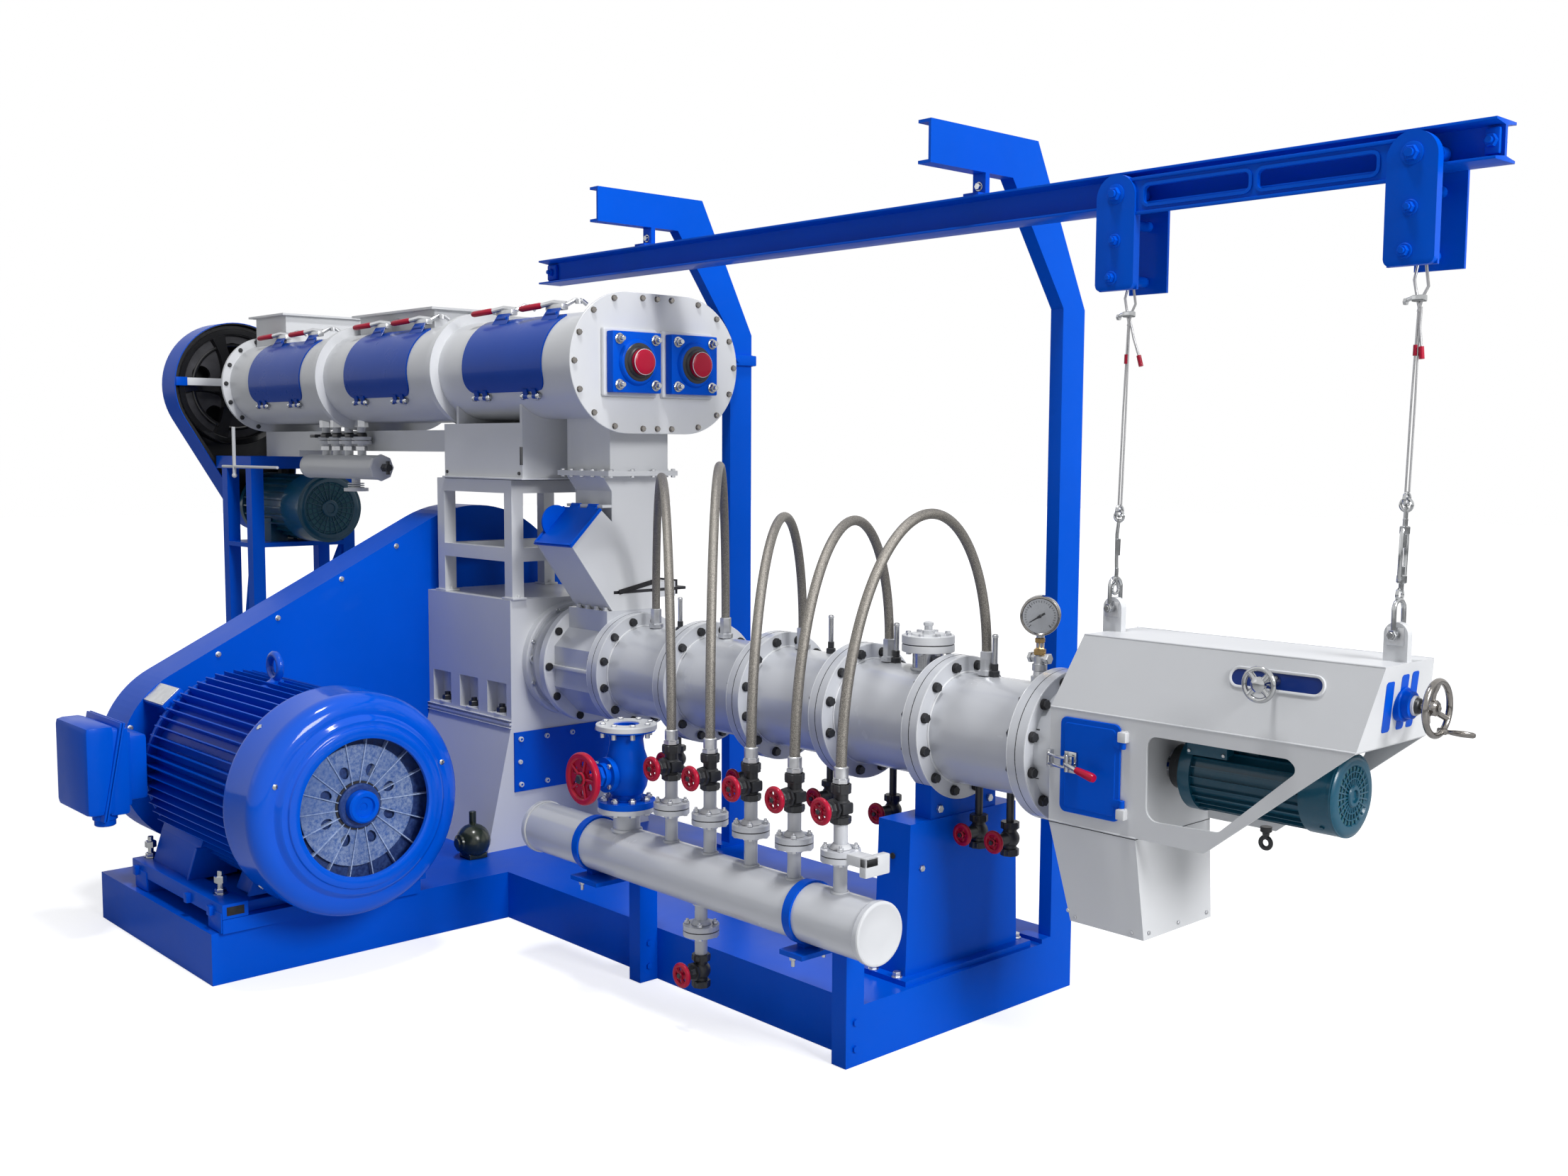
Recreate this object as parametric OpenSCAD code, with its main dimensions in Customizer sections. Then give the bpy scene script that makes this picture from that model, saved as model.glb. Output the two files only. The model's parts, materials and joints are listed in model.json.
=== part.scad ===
// Fish feed extruder: twin-screw barrel on an L-shaped base, belt drive, twin-shaft conditioner,
// steam header with hoses, and a face cutter hung on an overhead rail. Sizes in millimetres.
// X runs along the barrel towards the cutter, Y away from the steam header, Z up.
// The origin is on the floor below the barrel axis, at the inner corner of the base.

/* [Base] */
// Height of the base frame
base_h = 150; // [130:5:180]
// Half width of the long base under the barrel
base_half_w = 420; // [400:5:450]
// Length of the base in front of the origin
base_front = 1594; // [1585:1:1630]
// Length of the base behind the origin
base_rear = 885; // [870:5:920]
// Reach of the motor wing from the barrel axis
wing_reach = 1395; // [1380:5:1440]
// Width of the base beams
beam_w = 75; // [60:5:90]
// Thickness of the deck plate
deck_t = 12; // [8:1:16]

/* [Barrel] */
// Height of the barrel axis above the floor
axis_z = 788; // [780:1:800]
// Outer radius of a barrel section
barrel_r = 146; // [143:1:150]
// Radius of the barrel flanges
flange_r = 190; // [186:1:194]
// Thickness of one barrel flange
flange_t = 28; // [24:1:32]
// Length of one barrel section with its flanges
section_len = 348; // [344:1:350]
// Joint between the feed section and the first barrel section
feed_joint_x = 128; // [120:1:132]
// Radius of the circle of flange bolts
bolt_circle_r = 168; // [166:1:170]
// Radius of a flange bolt head
bolt_head_r = 12; // [10:0.5:13]
// Distance between the two screws
screw_gap = 118; // [116:1:120]
// Radius of a screw flight
screw_r = 57; // [54:1:57]
// Pitch of the screw flight
screw_pitch = 240; // [200:5:280]

/* [Gearbox] */
// Gearbox front face behind the origin
gear_front = 261; // [255:1:270]
// Length of the gearbox
gear_len = 544; // [536:1:550]
// Half width of the upper gearbox
gear_half_w = 244; // [236:1:250]
// Half width of the gearbox foot
gear_foot_w = 344; // [330:1:360]
// Height of the top of the gearbox
gear_top_z = 1003; // [998:1:1008]
// Height where the foot begins to spread
gear_knee_z = 575; // [565:1:590]

/* [Main drive] */
// Main motor axis from the barrel axis
motor_y = 1050; // [1040:1:1060]
// Height of the slide rails under the motor
rail_h = 40; // [35:1:45]
// Height of the motor shaft above its feet
motor_shaft_h = 315; // [312:1:318]
// Radius of the motor body under its fins
motor_r = 262; // [255:1:268]
// Height of a motor fin
fin_h = 36; // [30:1:40]
// Outer radius of the fan cover
fan_cover_r = 322; // [318:1:326]
// Length of the fan cover
fan_cover_len = 218; // [205:1:225]
// Front face of the fan cover
fan_front_x = 250; // [245:1:260]
// Length of the finned motor body
motor_len = 710; // [700:1:715]
// Radius of the motor shaft
motor_shaft_r = 45; // [40:1:50]
// Radius of the motor sheave
motor_sheave_r = 200; // [180:1:210]
// Radius of the gearbox sheave
gear_sheave_r = 330; // [310:1:340]
// Width of the belt sheaves
sheave_w = 130; // [110:1:140]
// Depth of the belt guard
guard_depth = 190; // [180:1:200]

/* [Conditioner] */
// Height of the conditioner shafts above the floor
cond_z = 1786; // [1780:1:1792]
// Half the distance between the two paddle shafts
cond_half = 116; // [112:1:120]
// Outer radius of the conditioner shell
shell_r = 172; // [168:1:176]
// Wall of the conditioner shell
shell_t = 6; // [5:1:8]
// Radius of the shell flanges
shell_flange_r = 205; // [200:1:208]
// Length of one shell section
shell_len = 875; // [865:1:880]
// Front face of the end plate
end_plate_x = 233; // [229:1:236]
// Radius of the paddle tips
paddle_r = 150; // [140:1:155]
// Radius of the big conditioner pulley
cond_pulley_r = 262; // [250:1:268]

/* [Cutter] */
// Die side of the cutter housing
cutter_x = 1946; // [1942:1:1950]
// Length of the cutter housing at the fold
cutter_len = 766; // [756:1:776]
// Half width of the cutter housing
cutter_half_w = 155; // [150:1:160]
// Half width of the top of the cutter housing
cutter_top_w = 107; // [100:1:112]
// Wall of the cutter housing
cutter_t = 6; // [4:0.5:8]
// Radius of the cutter motor
cutter_motor_r = 80; // [74:1:84]

/* [Overhead rail] */
// Height of the top of the overhead rail
rail_top_z = 2160; // [2150:1:2170]
// Height of the overhead rail section
rail_d = 80; // [76:1:84]
// Width of the overhead rail
rail_w = 90; // [84:1:94]
// Depth of the channel in columns and arms
channel_d = 95; // [90:1:100]
// Width of the channel in columns and arms
channel_w = 42; // [38:1:46]

/* [Steam] */
// Steam header from the barrel axis
header_y = 560; // [555:1:570]
// Height of the steam header axis
header_z = 402; // [396:1:408]
// Radius of the steam header pipe
header_r = 73; // [70:1:76]
// Place of the first steam branch
branch_x = 1008; // [1000:1:1016]
// Distance between two steam branches
branch_pitch = 160; // [156:1:162]
// Radius of a steam hose
hose_r = 13; // [11:0.5:14]

/* [Hidden] */
$fn = 48;

// Overrun of every cut past the face that it opens
cut = 2;
// Gap between pieces that move past each other, and radial fit of a shaft in its bearing
gap = 0.3;
fit = 0.05;

// A block between two opposite corners
module block(a, b) {
  translate([min(a.x, b.x), min(a.y, b.y), min(a.z, b.z)])
    cube([abs(b.x - a.x), abs(b.y - a.y), abs(b.z - a.z)]);
}
// Rods along the three axes
module rod_x(a, b, r, y, z) { translate([min(a, b), y, z]) rotate([0, 90, 0]) cylinder(h = abs(b - a),
  r = r); }
module rod_y(a, b, r, x, z) { translate([x, max(a, b), z]) rotate([90, 0, 0]) cylinder(h = abs(b - a),
  r = r); }
module rod_z(z0, z1, r, x, y) { translate([x, y, z0]) cylinder(h = z1 - z0, r = r); }
// A flat shape in Y and Z drawn out along X, and one in X and Z drawn out along Y
module along_x(x0, x1) { translate([x0, 0, 0]) rotate([90, 0, 90]) linear_extrude(x1 - x0) children(); }
module along_y(y0, y1) { translate([0, y1, 0]) rotate([90, 0, 0]) linear_extrude(y1 - y0) children(); }
// Copies turned about an axis parallel to X, Y or Z
module ring_x(n, y, z, start = 0) {
  for (i = [0:n - 1]) translate([0, y, z]) rotate([start + 360 * i / n, 0, 0]) children();
}
// A bar between two points
module bar(a, b, r) {
  d = b - a;
  translate(a) rotate([0, acos(d.z / norm(d)), atan2(d.y, d.x)]) cylinder(h = norm(d), r = r);
}
// A ring of round section about the local Z axis
module torus(r, rr) { rotate_extrude() translate([r, 0]) circle(r = rr, $fn = 16); }
module hex_head(r, h) { cylinder(h = h, r = r, $fn = 6); }

// Points along an arc, and a belt outline of two arcs and their tangents
arc_n = 40;
function arc(c, r, a0, a1) = [for (k = [0:arc_n]) let (a = a0 + (a1 - a0) * k / arc_n) c + r * [cos(a),
  sin(a)]];
module belt_shape(c0, r0, c1, r1) {
  t = atan2(c1.y - c0.y, c1.x - c0.x);
  s = 90 + asin((r1 - r0) / norm(c1 - c0));
  polygon(concat(arc(c1, r1, t + s, t - s), arc(c0, r0, t - s, t + s - 360)));
}

// A valve handwheel towards -Y, with its stem
module valve_wheel(x, z, y0, y1, r, rim_r, stem_r) {
  translate([x, y0 + rim_r, z]) rotate([90, 0, 0]) {
    torus(r - rim_r, rim_r);
    for (a = [0:72:288]) rotate([0, 90, a]) cylinder(h = r - rim_r, r = rim_r * 0.7, $fn = 16);
    translate([0, 0, -rim_r]) cylinder(h = rim_r * 2, r = rim_r * 2);
  }
  rod_y(y0 + rim_r, y1, stem_r, x, z);
}

// Base
module base_frame() color("royalblue") {
  under = base_h - deck_t;
  side_x = -wing_side;
  block([-base_rear, -base_half_w, under], [base_front, base_half_w, base_h]);
  block([-base_rear, -wing_reach, under], [side_x, -base_half_w, base_h]);
  block([side_x - beam_w, -base_half_w, 0], [base_front, -base_half_w + beam_w, base_h]);
  block([-base_rear, base_half_w - beam_w, 0], [base_front, base_half_w, base_h]);
  block([-base_rear, -wing_reach, 0], [-base_rear + beam_w, base_half_w, base_h]);
  block([side_x - beam_w, -wing_reach, 0], [side_x, -base_half_w, base_h]);
  block([-base_rear, -wing_reach, 0], [side_x, -wing_reach + beam_w, base_h]);
  block([base_front - beam_w, -base_half_w, 0], [base_front, base_half_w, base_h]);
  for (x = [-gear_front - beam_w, -beam_w / 2, base_front / 2])
    block([x, -base_half_w, 0], [x + beam_w, base_half_w, base_h]);
}
wing_side = 16;

// Gearbox and the motor end of the drive
gear_x0 = -gear_front - gear_len;
gear_x1 = -gear_front;
input_y = -40;
input_rise = 102;
input_z = axis_z + input_rise;
input_r = 45;
gear_wall = 28;
pocket_w = 122;
pocket_h = 112;
pocket_d = 42;
boss_t = 22;
boss_r = flange_r * 1.05;
screw_shank_r = 34;

module gearbox_housing() color("whitesmoke") {
  difference() {
    along_x(gear_x0, gear_x1) polygon([[-gear_foot_w, base_h], [gear_foot_w, base_h],
      [gear_half_w, gear_knee_z], [gear_half_w, gear_top_z],
      [-gear_half_w, gear_top_z], [-gear_half_w, gear_knee_z]]);
    block([gear_x0 + gear_wall, -gear_half_w + pocket_d + gear_wall, base_h + gear_wall],
      [gear_x1 - gear_wall, gear_half_w - pocket_d - gear_wall, gear_top_z - gear_wall]);
    // Bolt pockets above the seam on both sides
    for (s = [-1, 1], i = [0:2]) {
      px = gear_x0 + gear_len * (i + 0.5) / 3 - pocket_w / 2;
      block([px, s * (gear_half_w + cut), gear_knee_z + gear_wall],
        [px + pocket_w, s * (gear_half_w - pocket_d), gear_knee_z + gear_wall + pocket_h]);
    }
    // Input shaft bore and output bores
    rod_x(gear_x0 - cut, gear_x0 + gear_wall + cut, input_r + fit, input_y, input_z);
    for (s = [-1, 1]) rod_x(gear_x1 - gear_wall - cut, gear_x1 + boss_t + cut, screw_shank_r + fit,
      s * screw_gap / 2, axis_z);
  }
  // Front boss ring that carries the feed barrel
  difference() {
    rod_x(gear_x1, gear_x1 + boss_t, boss_r, 0, axis_z);
    for (s = [-1, 1]) rod_x(gear_x1 - cut, gear_x1 + boss_t + cut, screw_shank_r + fit,
      s * screw_gap / 2, axis_z);
  }
  for (s = [-1, 1], i = [0:2])
    translate([gear_x0 + gear_len * (i + 0.5) / 3, s * (gear_half_w - pocket_d / 2),
      gear_knee_z + gear_wall])
      hex_head(pocket_d * 0.4, pocket_d * 0.5);
  for (s = [-1, 1]) block([gear_x0, s * gear_half_w, gear_knee_z], [gear_x1, s * (gear_half_w + seam_t),
    gear_knee_z + seam_t]);
}
seam_t = 8;

plate_t = 6;
cover_h = 205;
cover_z = 344;
cover_bolt_r = 8;
module gearbox_cover_plate() color("royalblue") {
  w = gear_half_w - cover_bolt_r;
  block([gear_x1, -w, cover_z], [gear_x1 + plate_t, w, cover_z + cover_h]);
  for (i = [0:4], k = [0:1]) translate([gear_x1 + plate_t, -w + 3 * cover_bolt_r
    + i * (2 * w - 6 * cover_bolt_r) / 4, cover_z + 3 * cover_bolt_r + k * (cover_h - 6 * cover_bolt_r)])
    rotate([0, 90, 0]) hex_head(cover_bolt_r, plate_t);
}

sheave_x1 = gear_x0 - (guard_depth - sheave_w) / 2;
sheave_x0 = sheave_x1 - sheave_w;
motor_z = base_h + rail_h + motor_shaft_h;
body_x1 = fan_front_x - fan_cover_len;
body_x0 = body_x1 - motor_len;
belt_t = 14;
hub_r = 70;
guard_t = 4;
guard_r0 = 305;
guard_r1 = 415;
motor_c = [-motor_y, motor_z];
input_c = [input_y, input_z];

// A grooved sheave along X
module sheave(r, y, z, bore_r) {
  groove = sheave_w / 13;
  difference() {
    rod_x(sheave_x0, sheave_x1, r, y, z);
    for (i = [0:5]) translate([sheave_x0 + groove * (2 * i + 1), y, z]) rotate([0, 90, 0])
      difference() {
        cylinder(h = groove, r = r + cut);
        translate([0, 0, -cut]) cylinder(h = groove + 2 * cut, r = r - belt_t);
      }
    for (x = [sheave_x0 - cut, sheave_x1 - sheave_w * 0.35]) difference() {
      rod_x(x, x + sheave_w * 0.35 + cut, r - 2.5 * belt_t, y, z);
      rod_x(x - cut, x + sheave_w * 0.35 + 3 * cut, hub_r, y, z);
    }
    rod_x(sheave_x0 - cut, sheave_x1 + cut, bore_r, y, z);
  }
}

module gearbox_sheave() color("dimgray") {
  sheave(gear_sheave_r, input_y, input_z, input_r);
  rod_x(sheave_x0, gear_x0 + gear_len / 2, input_r, input_y, input_z);
  rod_x(gear_x0 + gear_wall + gap, gear_x0 + gear_len / 3, input_r * 1.7, input_y, input_z);
}

fan_r = fan_cover_r * 0.72;
grille_r = 196;
module motor_rotor() color("dimgray") {
  sheave(motor_sheave_r, -motor_y, motor_z, motor_shaft_r);
  rod_x(sheave_x0, body_x1 + fan_cover_len * 0.72, motor_shaft_r, -motor_y, motor_z);
  rod_x(body_x0 + end_t + gap * 3, body_x1 - end_t - gap * 3, motor_r * 0.6, -motor_y, motor_z);
  // Cooling fan behind the opening of the fan cover
  fx = body_x1 + fan_cover_len * 0.45;
  difference() {
    rod_x(fx, fx + plate_t, fan_r, -motor_y, motor_z);
    ring_x(8, -motor_y, motor_z, 11.25) rod_x(fx - cut, fx + plate_t + cut, fan_r * 0.07, fan_r * 0.55, 0);
  }
  rod_x(fx, body_x1 + fan_cover_len * 0.78, hub_r, -motor_y, motor_z);
  ring_x(16, -motor_y, motor_z) block([fx, fan_r * 0.4, -plate_t / 2],
    [fx + fan_cover_len * 0.25, fan_r, plate_t / 2]);
}

end_t = 26;
foot_w = 100;
foot_t = 32;
module motor_housing() color("royalblue") {
  difference() {
    union() {
      rod_x(body_x0 + end_t, body_x1, motor_r, -motor_y, motor_z);
      rod_x(body_x0, body_x0 + 2 * end_t, motor_r + fin_h * 0.8, -motor_y, motor_z);
      along_x(body_x0 + 2 * end_t, body_x1) translate([-motor_y, motor_z]) for (i = [0:39])
        rotate(9 * i) translate([motor_r - fin_h, -fin_h / 10]) square([2 * fin_h, fin_h / 5]);
      // Foot bars along both sides and the webs that carry the body
      for (s = [-1, 1]) {
        foot_y = -motor_y + s * motor_r * 0.78;
        block([body_x0 + end_t, foot_y - foot_w / 2, base_h + rail_h],
          [body_x1 - end_t, foot_y + foot_w / 2, base_h + rail_h + foot_t]);
        for (x = [body_x0 + end_t, body_x1 - end_t - foot_w * 1.6])
          block([x, foot_y - foot_t, base_h + rail_h], [x + foot_w * 1.6, foot_y + foot_t,
            motor_z - motor_r * 0.4]);
      }
    }
    // Stator bore and the two shaft bores
    rod_x(body_x0 + end_t, body_x1 - end_t, motor_r * 0.62, -motor_y, motor_z);
    rod_x(body_x0 - cut, body_x1 + cut, motor_shaft_r + fit, -motor_y, motor_z);
  }
  ex = (body_x0 + body_x1) / 2;
  rod_z(motor_z + motor_r - cut, motor_z + motor_r + fin_h * 1.3, fin_h * 0.5, ex, -motor_y);
  translate([ex, -motor_y, motor_z + motor_r + fin_h * 2.2]) rotate([90, 0, 0]) torus(fin_h, fin_h * 0.3);
}

cover_t = 6;
module motor_fan_cover() color("royalblue") {
  difference() {
    union() {
      rod_x(body_x1 + gap, fan_front_x - fan_cover_len * 0.35, fan_cover_r, -motor_y, motor_z);
      translate([fan_front_x - fan_cover_len * 0.35, -motor_y, motor_z]) rotate([0, 90, 0])
        rotate_extrude($fn = 96) fan_nose(0);
    }
    rod_x(body_x1, fan_front_x - fan_cover_len * 0.35, fan_cover_r - cover_t, -motor_y, motor_z);
    translate([fan_front_x - fan_cover_len * 0.35 - gap, -motor_y, motor_z]) rotate([0, 90, 0])
      rotate_extrude($fn = 96) fan_nose(cover_t);
    rod_x(fan_front_x - fan_cover_len, fan_front_x + cut, grille_r, -motor_y, motor_z);
  }
  // Seat of the cover on the end shield
  difference() {
    rod_x(body_x1 + gap, body_x1 + fan_cover_len * 0.12, fan_cover_r - cover_t / 2, -motor_y, motor_z);
    rod_x(body_x1, body_x1 + fan_cover_len * 0.12 + cut, motor_r, -motor_y, motor_z);
  }
}
// Half profile of the nose, radius first, drawn in by a wall
module fan_nose(wall) {
  h = fan_cover_len * 0.35;
  difference() {
    union() {
      square([fan_cover_r - h, h - wall]);
      translate([fan_cover_r - h, 0]) circle(r = h - wall, $fn = 48);
    }
    translate([-fan_cover_r, -2 * h]) square([3 * fan_cover_r, 2 * h]);
  }
}

box_len = 280;
box_w = 130;
box_h = 285;
neck_len = 66;
box_x0 = gear_x0 - box_h * 0.05;
module motor_terminal_box() color("royalblue") {
  y1 = -motor_y - motor_r - fin_h - neck_len;
  z0 = motor_z - box_h * 0.38;
  block([box_x0, y1 - box_w, z0], [box_x0 + box_len, y1, z0 + box_h]);
  block([box_x0 + box_len * 0.14, y1, z0 + box_h * 0.14], [box_x0 + box_len * 0.86, y1 + neck_len - gap,
    z0 + box_h * 0.86]);
}

module motor_rails() color("royalblue") {
  for (x = [body_x0 + end_t, body_x1 - end_t - foot_w]) {
    block([x, -wing_reach + beam_w / 3, base_h], [x + foot_w, -motor_y + motor_r * 1.15, base_h + rail_h]);
    for (y = [-wing_reach + beam_w / 2, -motor_y + motor_r * 1.15 - foot_w / 3])
      translate([x + foot_w / 2, y, base_h + rail_h]) hex_head(foot_w * 0.14, foot_w * 0.2);
  }
}

module belt_guard() color("royalblue") {
  x0 = gear_x0 - guard_depth;
  difference() {
    along_x(x0, gear_x0) belt_shape(motor_c, guard_r0, input_c, guard_r1);
    along_x(x0 + guard_t, gear_x0 - guard_t)
      belt_shape(motor_c, guard_r0 - guard_t, input_c, guard_r1 - guard_t);
    rod_x(gear_x0 - cut - guard_t, gear_x0 + cut, motor_shaft_r + belt_t, -motor_y, motor_z);
    rod_x(gear_x0 - cut - guard_t, gear_x0 + cut, input_r + belt_t, input_y, input_z);
  }
}

module drive_belts() color("black") {
  groove = sheave_w / 13;
  difference() {
    along_x(sheave_x0 + groove, sheave_x1 - groove)
      belt_shape(motor_c, motor_sheave_r + belt_t, input_c, gear_sheave_r + belt_t);
    along_x(sheave_x0 - cut, sheave_x1 + cut)
      belt_shape(motor_c, motor_sheave_r + gap, input_c, gear_sheave_r + gap);
  }
}

// Barrel
feed_x0 = -145;
section_n = 5;
barrel_end = feed_joint_x + section_n * section_len;
bore_r = screw_r * 1.06;
bolt_n = 12;
pad_w = 105;
throat_w = 74;
chute_z = axis_z + flange_r * 1.037;

module twin_bore(x0, x1) {
  for (s = [-1, 1]) rod_x(x0 - cut, x1 + cut, bore_r, s * screw_gap / 2, axis_z);
}
module feed_barrel() color("lightgray") {
  neck_x0 = gear_x1 + boss_t;
  difference() {
    union() {
      rod_x(neck_x0, neck_x0 + flange_t * 0.7, flange_r - bolt_head_r, 0, axis_z);
      rod_x(neck_x0, feed_x0, barrel_r, 0, axis_z);
      rod_x(feed_x0, feed_x0 + flange_t, flange_r, 0, axis_z);
      // Faceted casting with the seat of the chute on top
      along_x(feed_x0 + flange_t, feed_joint_x - flange_t) translate([0, axis_z]) rotate(22.5)
        circle(r = flange_r - bolt_head_r, $fn = 8);
      block([feed_x0 + flange_t, -pad_w, axis_z], [feed_joint_x - flange_t, pad_w, chute_z]);
      rod_x(feed_joint_x - flange_t, feed_joint_x, flange_r, 0, axis_z);
    }
    twin_bore(neck_x0, feed_joint_x);
    block([-throat_w, -throat_w, axis_z], [throat_w, throat_w, chute_z + cut]);
  }
}

module barrel_sections() color("lightgray") {
  for (i = [0:section_n - 1]) {
    x0 = feed_joint_x + i * section_len;
    x1 = x0 + section_len;
    difference() {
      union() {
        rod_x(x0, x0 + flange_t, flange_r, 0, axis_z);
        rod_x(x0, x1, barrel_r, 0, axis_z);
        rod_x(x1 - flange_t, x1, flange_r, 0, axis_z);
      }
      twin_bore(x0, x1);
      rod_z(axis_z + barrel_r * 0.6, axis_z + barrel_r + cut, hose_r * 0.7, hose_end_x(i), 0);
    }
  }
}

// Bolt heads on both sides of every flange pair
module barrel_bolts() color("black") {
  for (i = [0:section_n], s = i == 0 ? [1] : [-1, 1])
    ring_x(bolt_n, 0, axis_z, 15) {
      x = feed_joint_x + i * section_len + s * flange_t;
      translate([x, 0, bolt_circle_r]) rotate([0, 90 * s, 0]) hex_head(bolt_head_r, bolt_head_r * 1.1);
    }
  ring_x(8, 0, axis_z, 22.5) translate([feed_x0, 0, bolt_circle_r])
    rotate([0, -90, 0]) hex_head(bolt_head_r, bolt_head_r);
}

die_ring_r = flange_r * 0.82;
die_hole_r = 5;
die_n = 16;
die_pitch_r = 72;
module die_plate() color("silver") {
  difference() {
    union() {
      rod_x(barrel_end, barrel_end + flange_t, flange_r, 0, axis_z);
      rod_x(barrel_end, cutter_x - gap, die_ring_r, 0, axis_z);
      rod_x(barrel_end, die_face, die_inner_r, 0, axis_z);
    }
    ring_x(die_n, 0, axis_z) rod_x(barrel_end - cut, die_face + cut, die_hole_r, 0, die_pitch_r);
    rod_x(barrel_end - cut, barrel_end + flange_t, die_pitch_r + die_hole_r * 2, 0, axis_z);
  }
}

ped_len = 112;
ped_x0 = feed_joint_x + 4 * section_len - ped_len * 0.714;
ped_top = 560;
ped_half = 212;
ped_foot_t = 14;
saddle_w = 130;
module pedestal() color("royalblue") {
  x1 = ped_x0 + ped_len;
  sx = feed_joint_x + 4 * section_len;
  difference() {
    union() {
      along_x(ped_x0, x1) polygon([[-ped_half - ped_foot_t, base_h], [ped_half + ped_foot_t, base_h],
        [ped_half, ped_top], [-ped_half, ped_top]]);
      block([ped_x0 - ped_foot_t, -ped_half - 3 * ped_foot_t, base_h],
        [x1 + ped_foot_t * 2, ped_half + 3 * ped_foot_t, base_h + ped_foot_t]);
      block([sx - flange_t, -saddle_w, ped_top], [sx + flange_t, saddle_w, axis_z - flange_r * 0.55]);
    }
    rod_x(sx - 2 * flange_t, sx + 2 * flange_t, flange_r + gap, 0, axis_z);
  }
  for (y = [-ped_half * 1.14, ped_half * 1.14], x = [ped_x0 + ped_foot_t, x1 - ped_foot_t])
    translate([x, y, base_h + ped_foot_t]) hex_head(ped_foot_t * 0.7, ped_foot_t);
}

// Vent port, probes and pressure gauge on top of the barrel
vent_x = feed_joint_x + section_len * 3.695;
vent_r = 42;
vent_flange_r = 68;
vent_z = axis_z + barrel_r * 1.59;
probe_r = 7;
probe_len = 110;
gauge_r = 50;
gauge_x = feed_joint_x + section_len * 4.776;
gauge_z = 1106;
gauge_turn = 35;
probe_shares = [0.64, 2.62, 3.36, 4.36];
module barrel_fittings() color("silver") {
  seat = axis_z + barrel_r;
  difference() {
    union() {
      rod_z(seat - barrel_r * 0.3, vent_z, vent_r, vent_x, 0);
      rod_z(vent_z - flange_t * 1.5, vent_z, vent_flange_r, vent_x, 0);
    }
    rod_x(feed_joint_x, barrel_end, barrel_r + gap, 0, axis_z);
  }
  for (k = probe_shares) rod_z(seat + gap, seat + probe_len, probe_r, feed_joint_x + k * section_len, 0);
  // Gauge with its stem and siphon
  rod_z(seat + gap, gauge_z - gauge_r * 0.9, probe_r * 1.4, gauge_x, 0);
  rod_z(seat + gap, seat + gauge_r, probe_r * 2, gauge_x, 0);
  translate([gauge_x, 0, gauge_z]) rotate([90, 0, gauge_turn]) {
    cylinder(h = gauge_r * 0.7, r = gauge_r, center = true);
    translate([0, 0, gauge_r * 0.35]) difference() {
      cylinder(h = gauge_r * 0.1, r = gauge_r);
      translate([0, 0, -cut]) cylinder(h = gauge_r * 0.1 + 2 * cut, r = gauge_r * 0.88);
    }
  }
}

// Screws: shank in the gearbox, core and one flight in the barrel
screw_core = screw_r * 0.62;
screw_x0 = gear_x1 - gear_wall * 4;
screw_x1 = barrel_end - screw_r * 0.2;
module screw(s) {
  y = s * screw_gap / 2;
  rod_x(screw_x0, gear_x1 + boss_t + section_len * 0.2, screw_shank_r, y, axis_z);
  rod_x(gear_x1 + boss_t + gap, screw_x1, screw_core, y, axis_z);
  flight_x0 = feed_x0;
  n = screw_pitch / 8;
  translate([flight_x0, y, axis_z]) rotate([90, 0, 90])
    linear_extrude(screw_x1 - flight_x0 - screw_core, twist = -360 * (screw_x1 - flight_x0 - screw_core)
      / screw_pitch,
      slices = round((screw_x1 - flight_x0) / n), convexity = 4) polygon([[0, -screw_core * 0.5],
      [screw_r * 0.96, -screw_r * 0.2], [screw_r, 0], [screw_r * 0.96, screw_r * 0.2], [0,
        screw_core * 0.5]]);
}
module screw_left() color("silver") screw(-1);
module screw_right() color("silver") screw(1);

// Steam header with its branches
branch_n = 5;
header_x0 = 412;
header_x1 = 1764;
branch_z = 565;
branch_r = 48;
branch_t = 13;
pipe_r = 17;
valve_z0 = 640;
valve_z = 678;
valve_z1 = 735;
hose_z0 = 762;
valve_r = 22;
inlet_x = 810;
inlet_z0 = 536;
inlet_z1 = 762;
inlet_zc = inlet_z0 + (inlet_z1 - inlet_z0) * 0.42;
inlet_r = 80;
drain_x = 1132;
drain_z = 262;
drain_valve_z = 152;
reach = 48;
wheel_y = -header_y - reach * 1.5;
wheel_r = 31;
rim_r = 5;
stem_r = 5;
cap_t = 12;
function branch_at(i) = branch_x + i * branch_pitch;

module flange_pair(x, y, z, r, t) {
  rod_z(z - t - gap * 5, z - gap * 5, r, x, y);
  rod_z(z + gap * 5, z + t + gap * 5, r, x, y);
  rod_z(z - gap * 6, z + gap * 6, r * 0.7, x, y);
}
module steam_header() color("lightgray") {
  y = -header_y;
  difference() {
    union() {
      rod_x(header_x0, header_x1, header_r, y, header_z);
      for (x = [header_x0 - cap_t, header_x1]) rod_x(x, x + cap_t, header_r + cap_t / 3, y, header_z);
      for (i = [0:branch_n - 1]) {
        rod_z(header_z, valve_z0 - gap, pipe_r, branch_at(i), y);
        flange_pair(branch_at(i), y, branch_z, branch_r, branch_t);
      }
      rod_z(header_z, inlet_z0 - gap, pipe_r * 2.2, inlet_x, y);
      rod_z(inlet_z0 - branch_t - gap, inlet_z0 - gap, inlet_r, inlet_x, y);
      rod_z(drain_valve_z + valve_r * 2 + gap, header_z, pipe_r, drain_x, y);
      flange_pair(drain_x, y, drain_z, branch_r, branch_t);
    }
    rod_x(header_x0 + cap_t, header_x1 - cap_t, header_r - cap_t / 2, y, header_z);
  }
}

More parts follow.
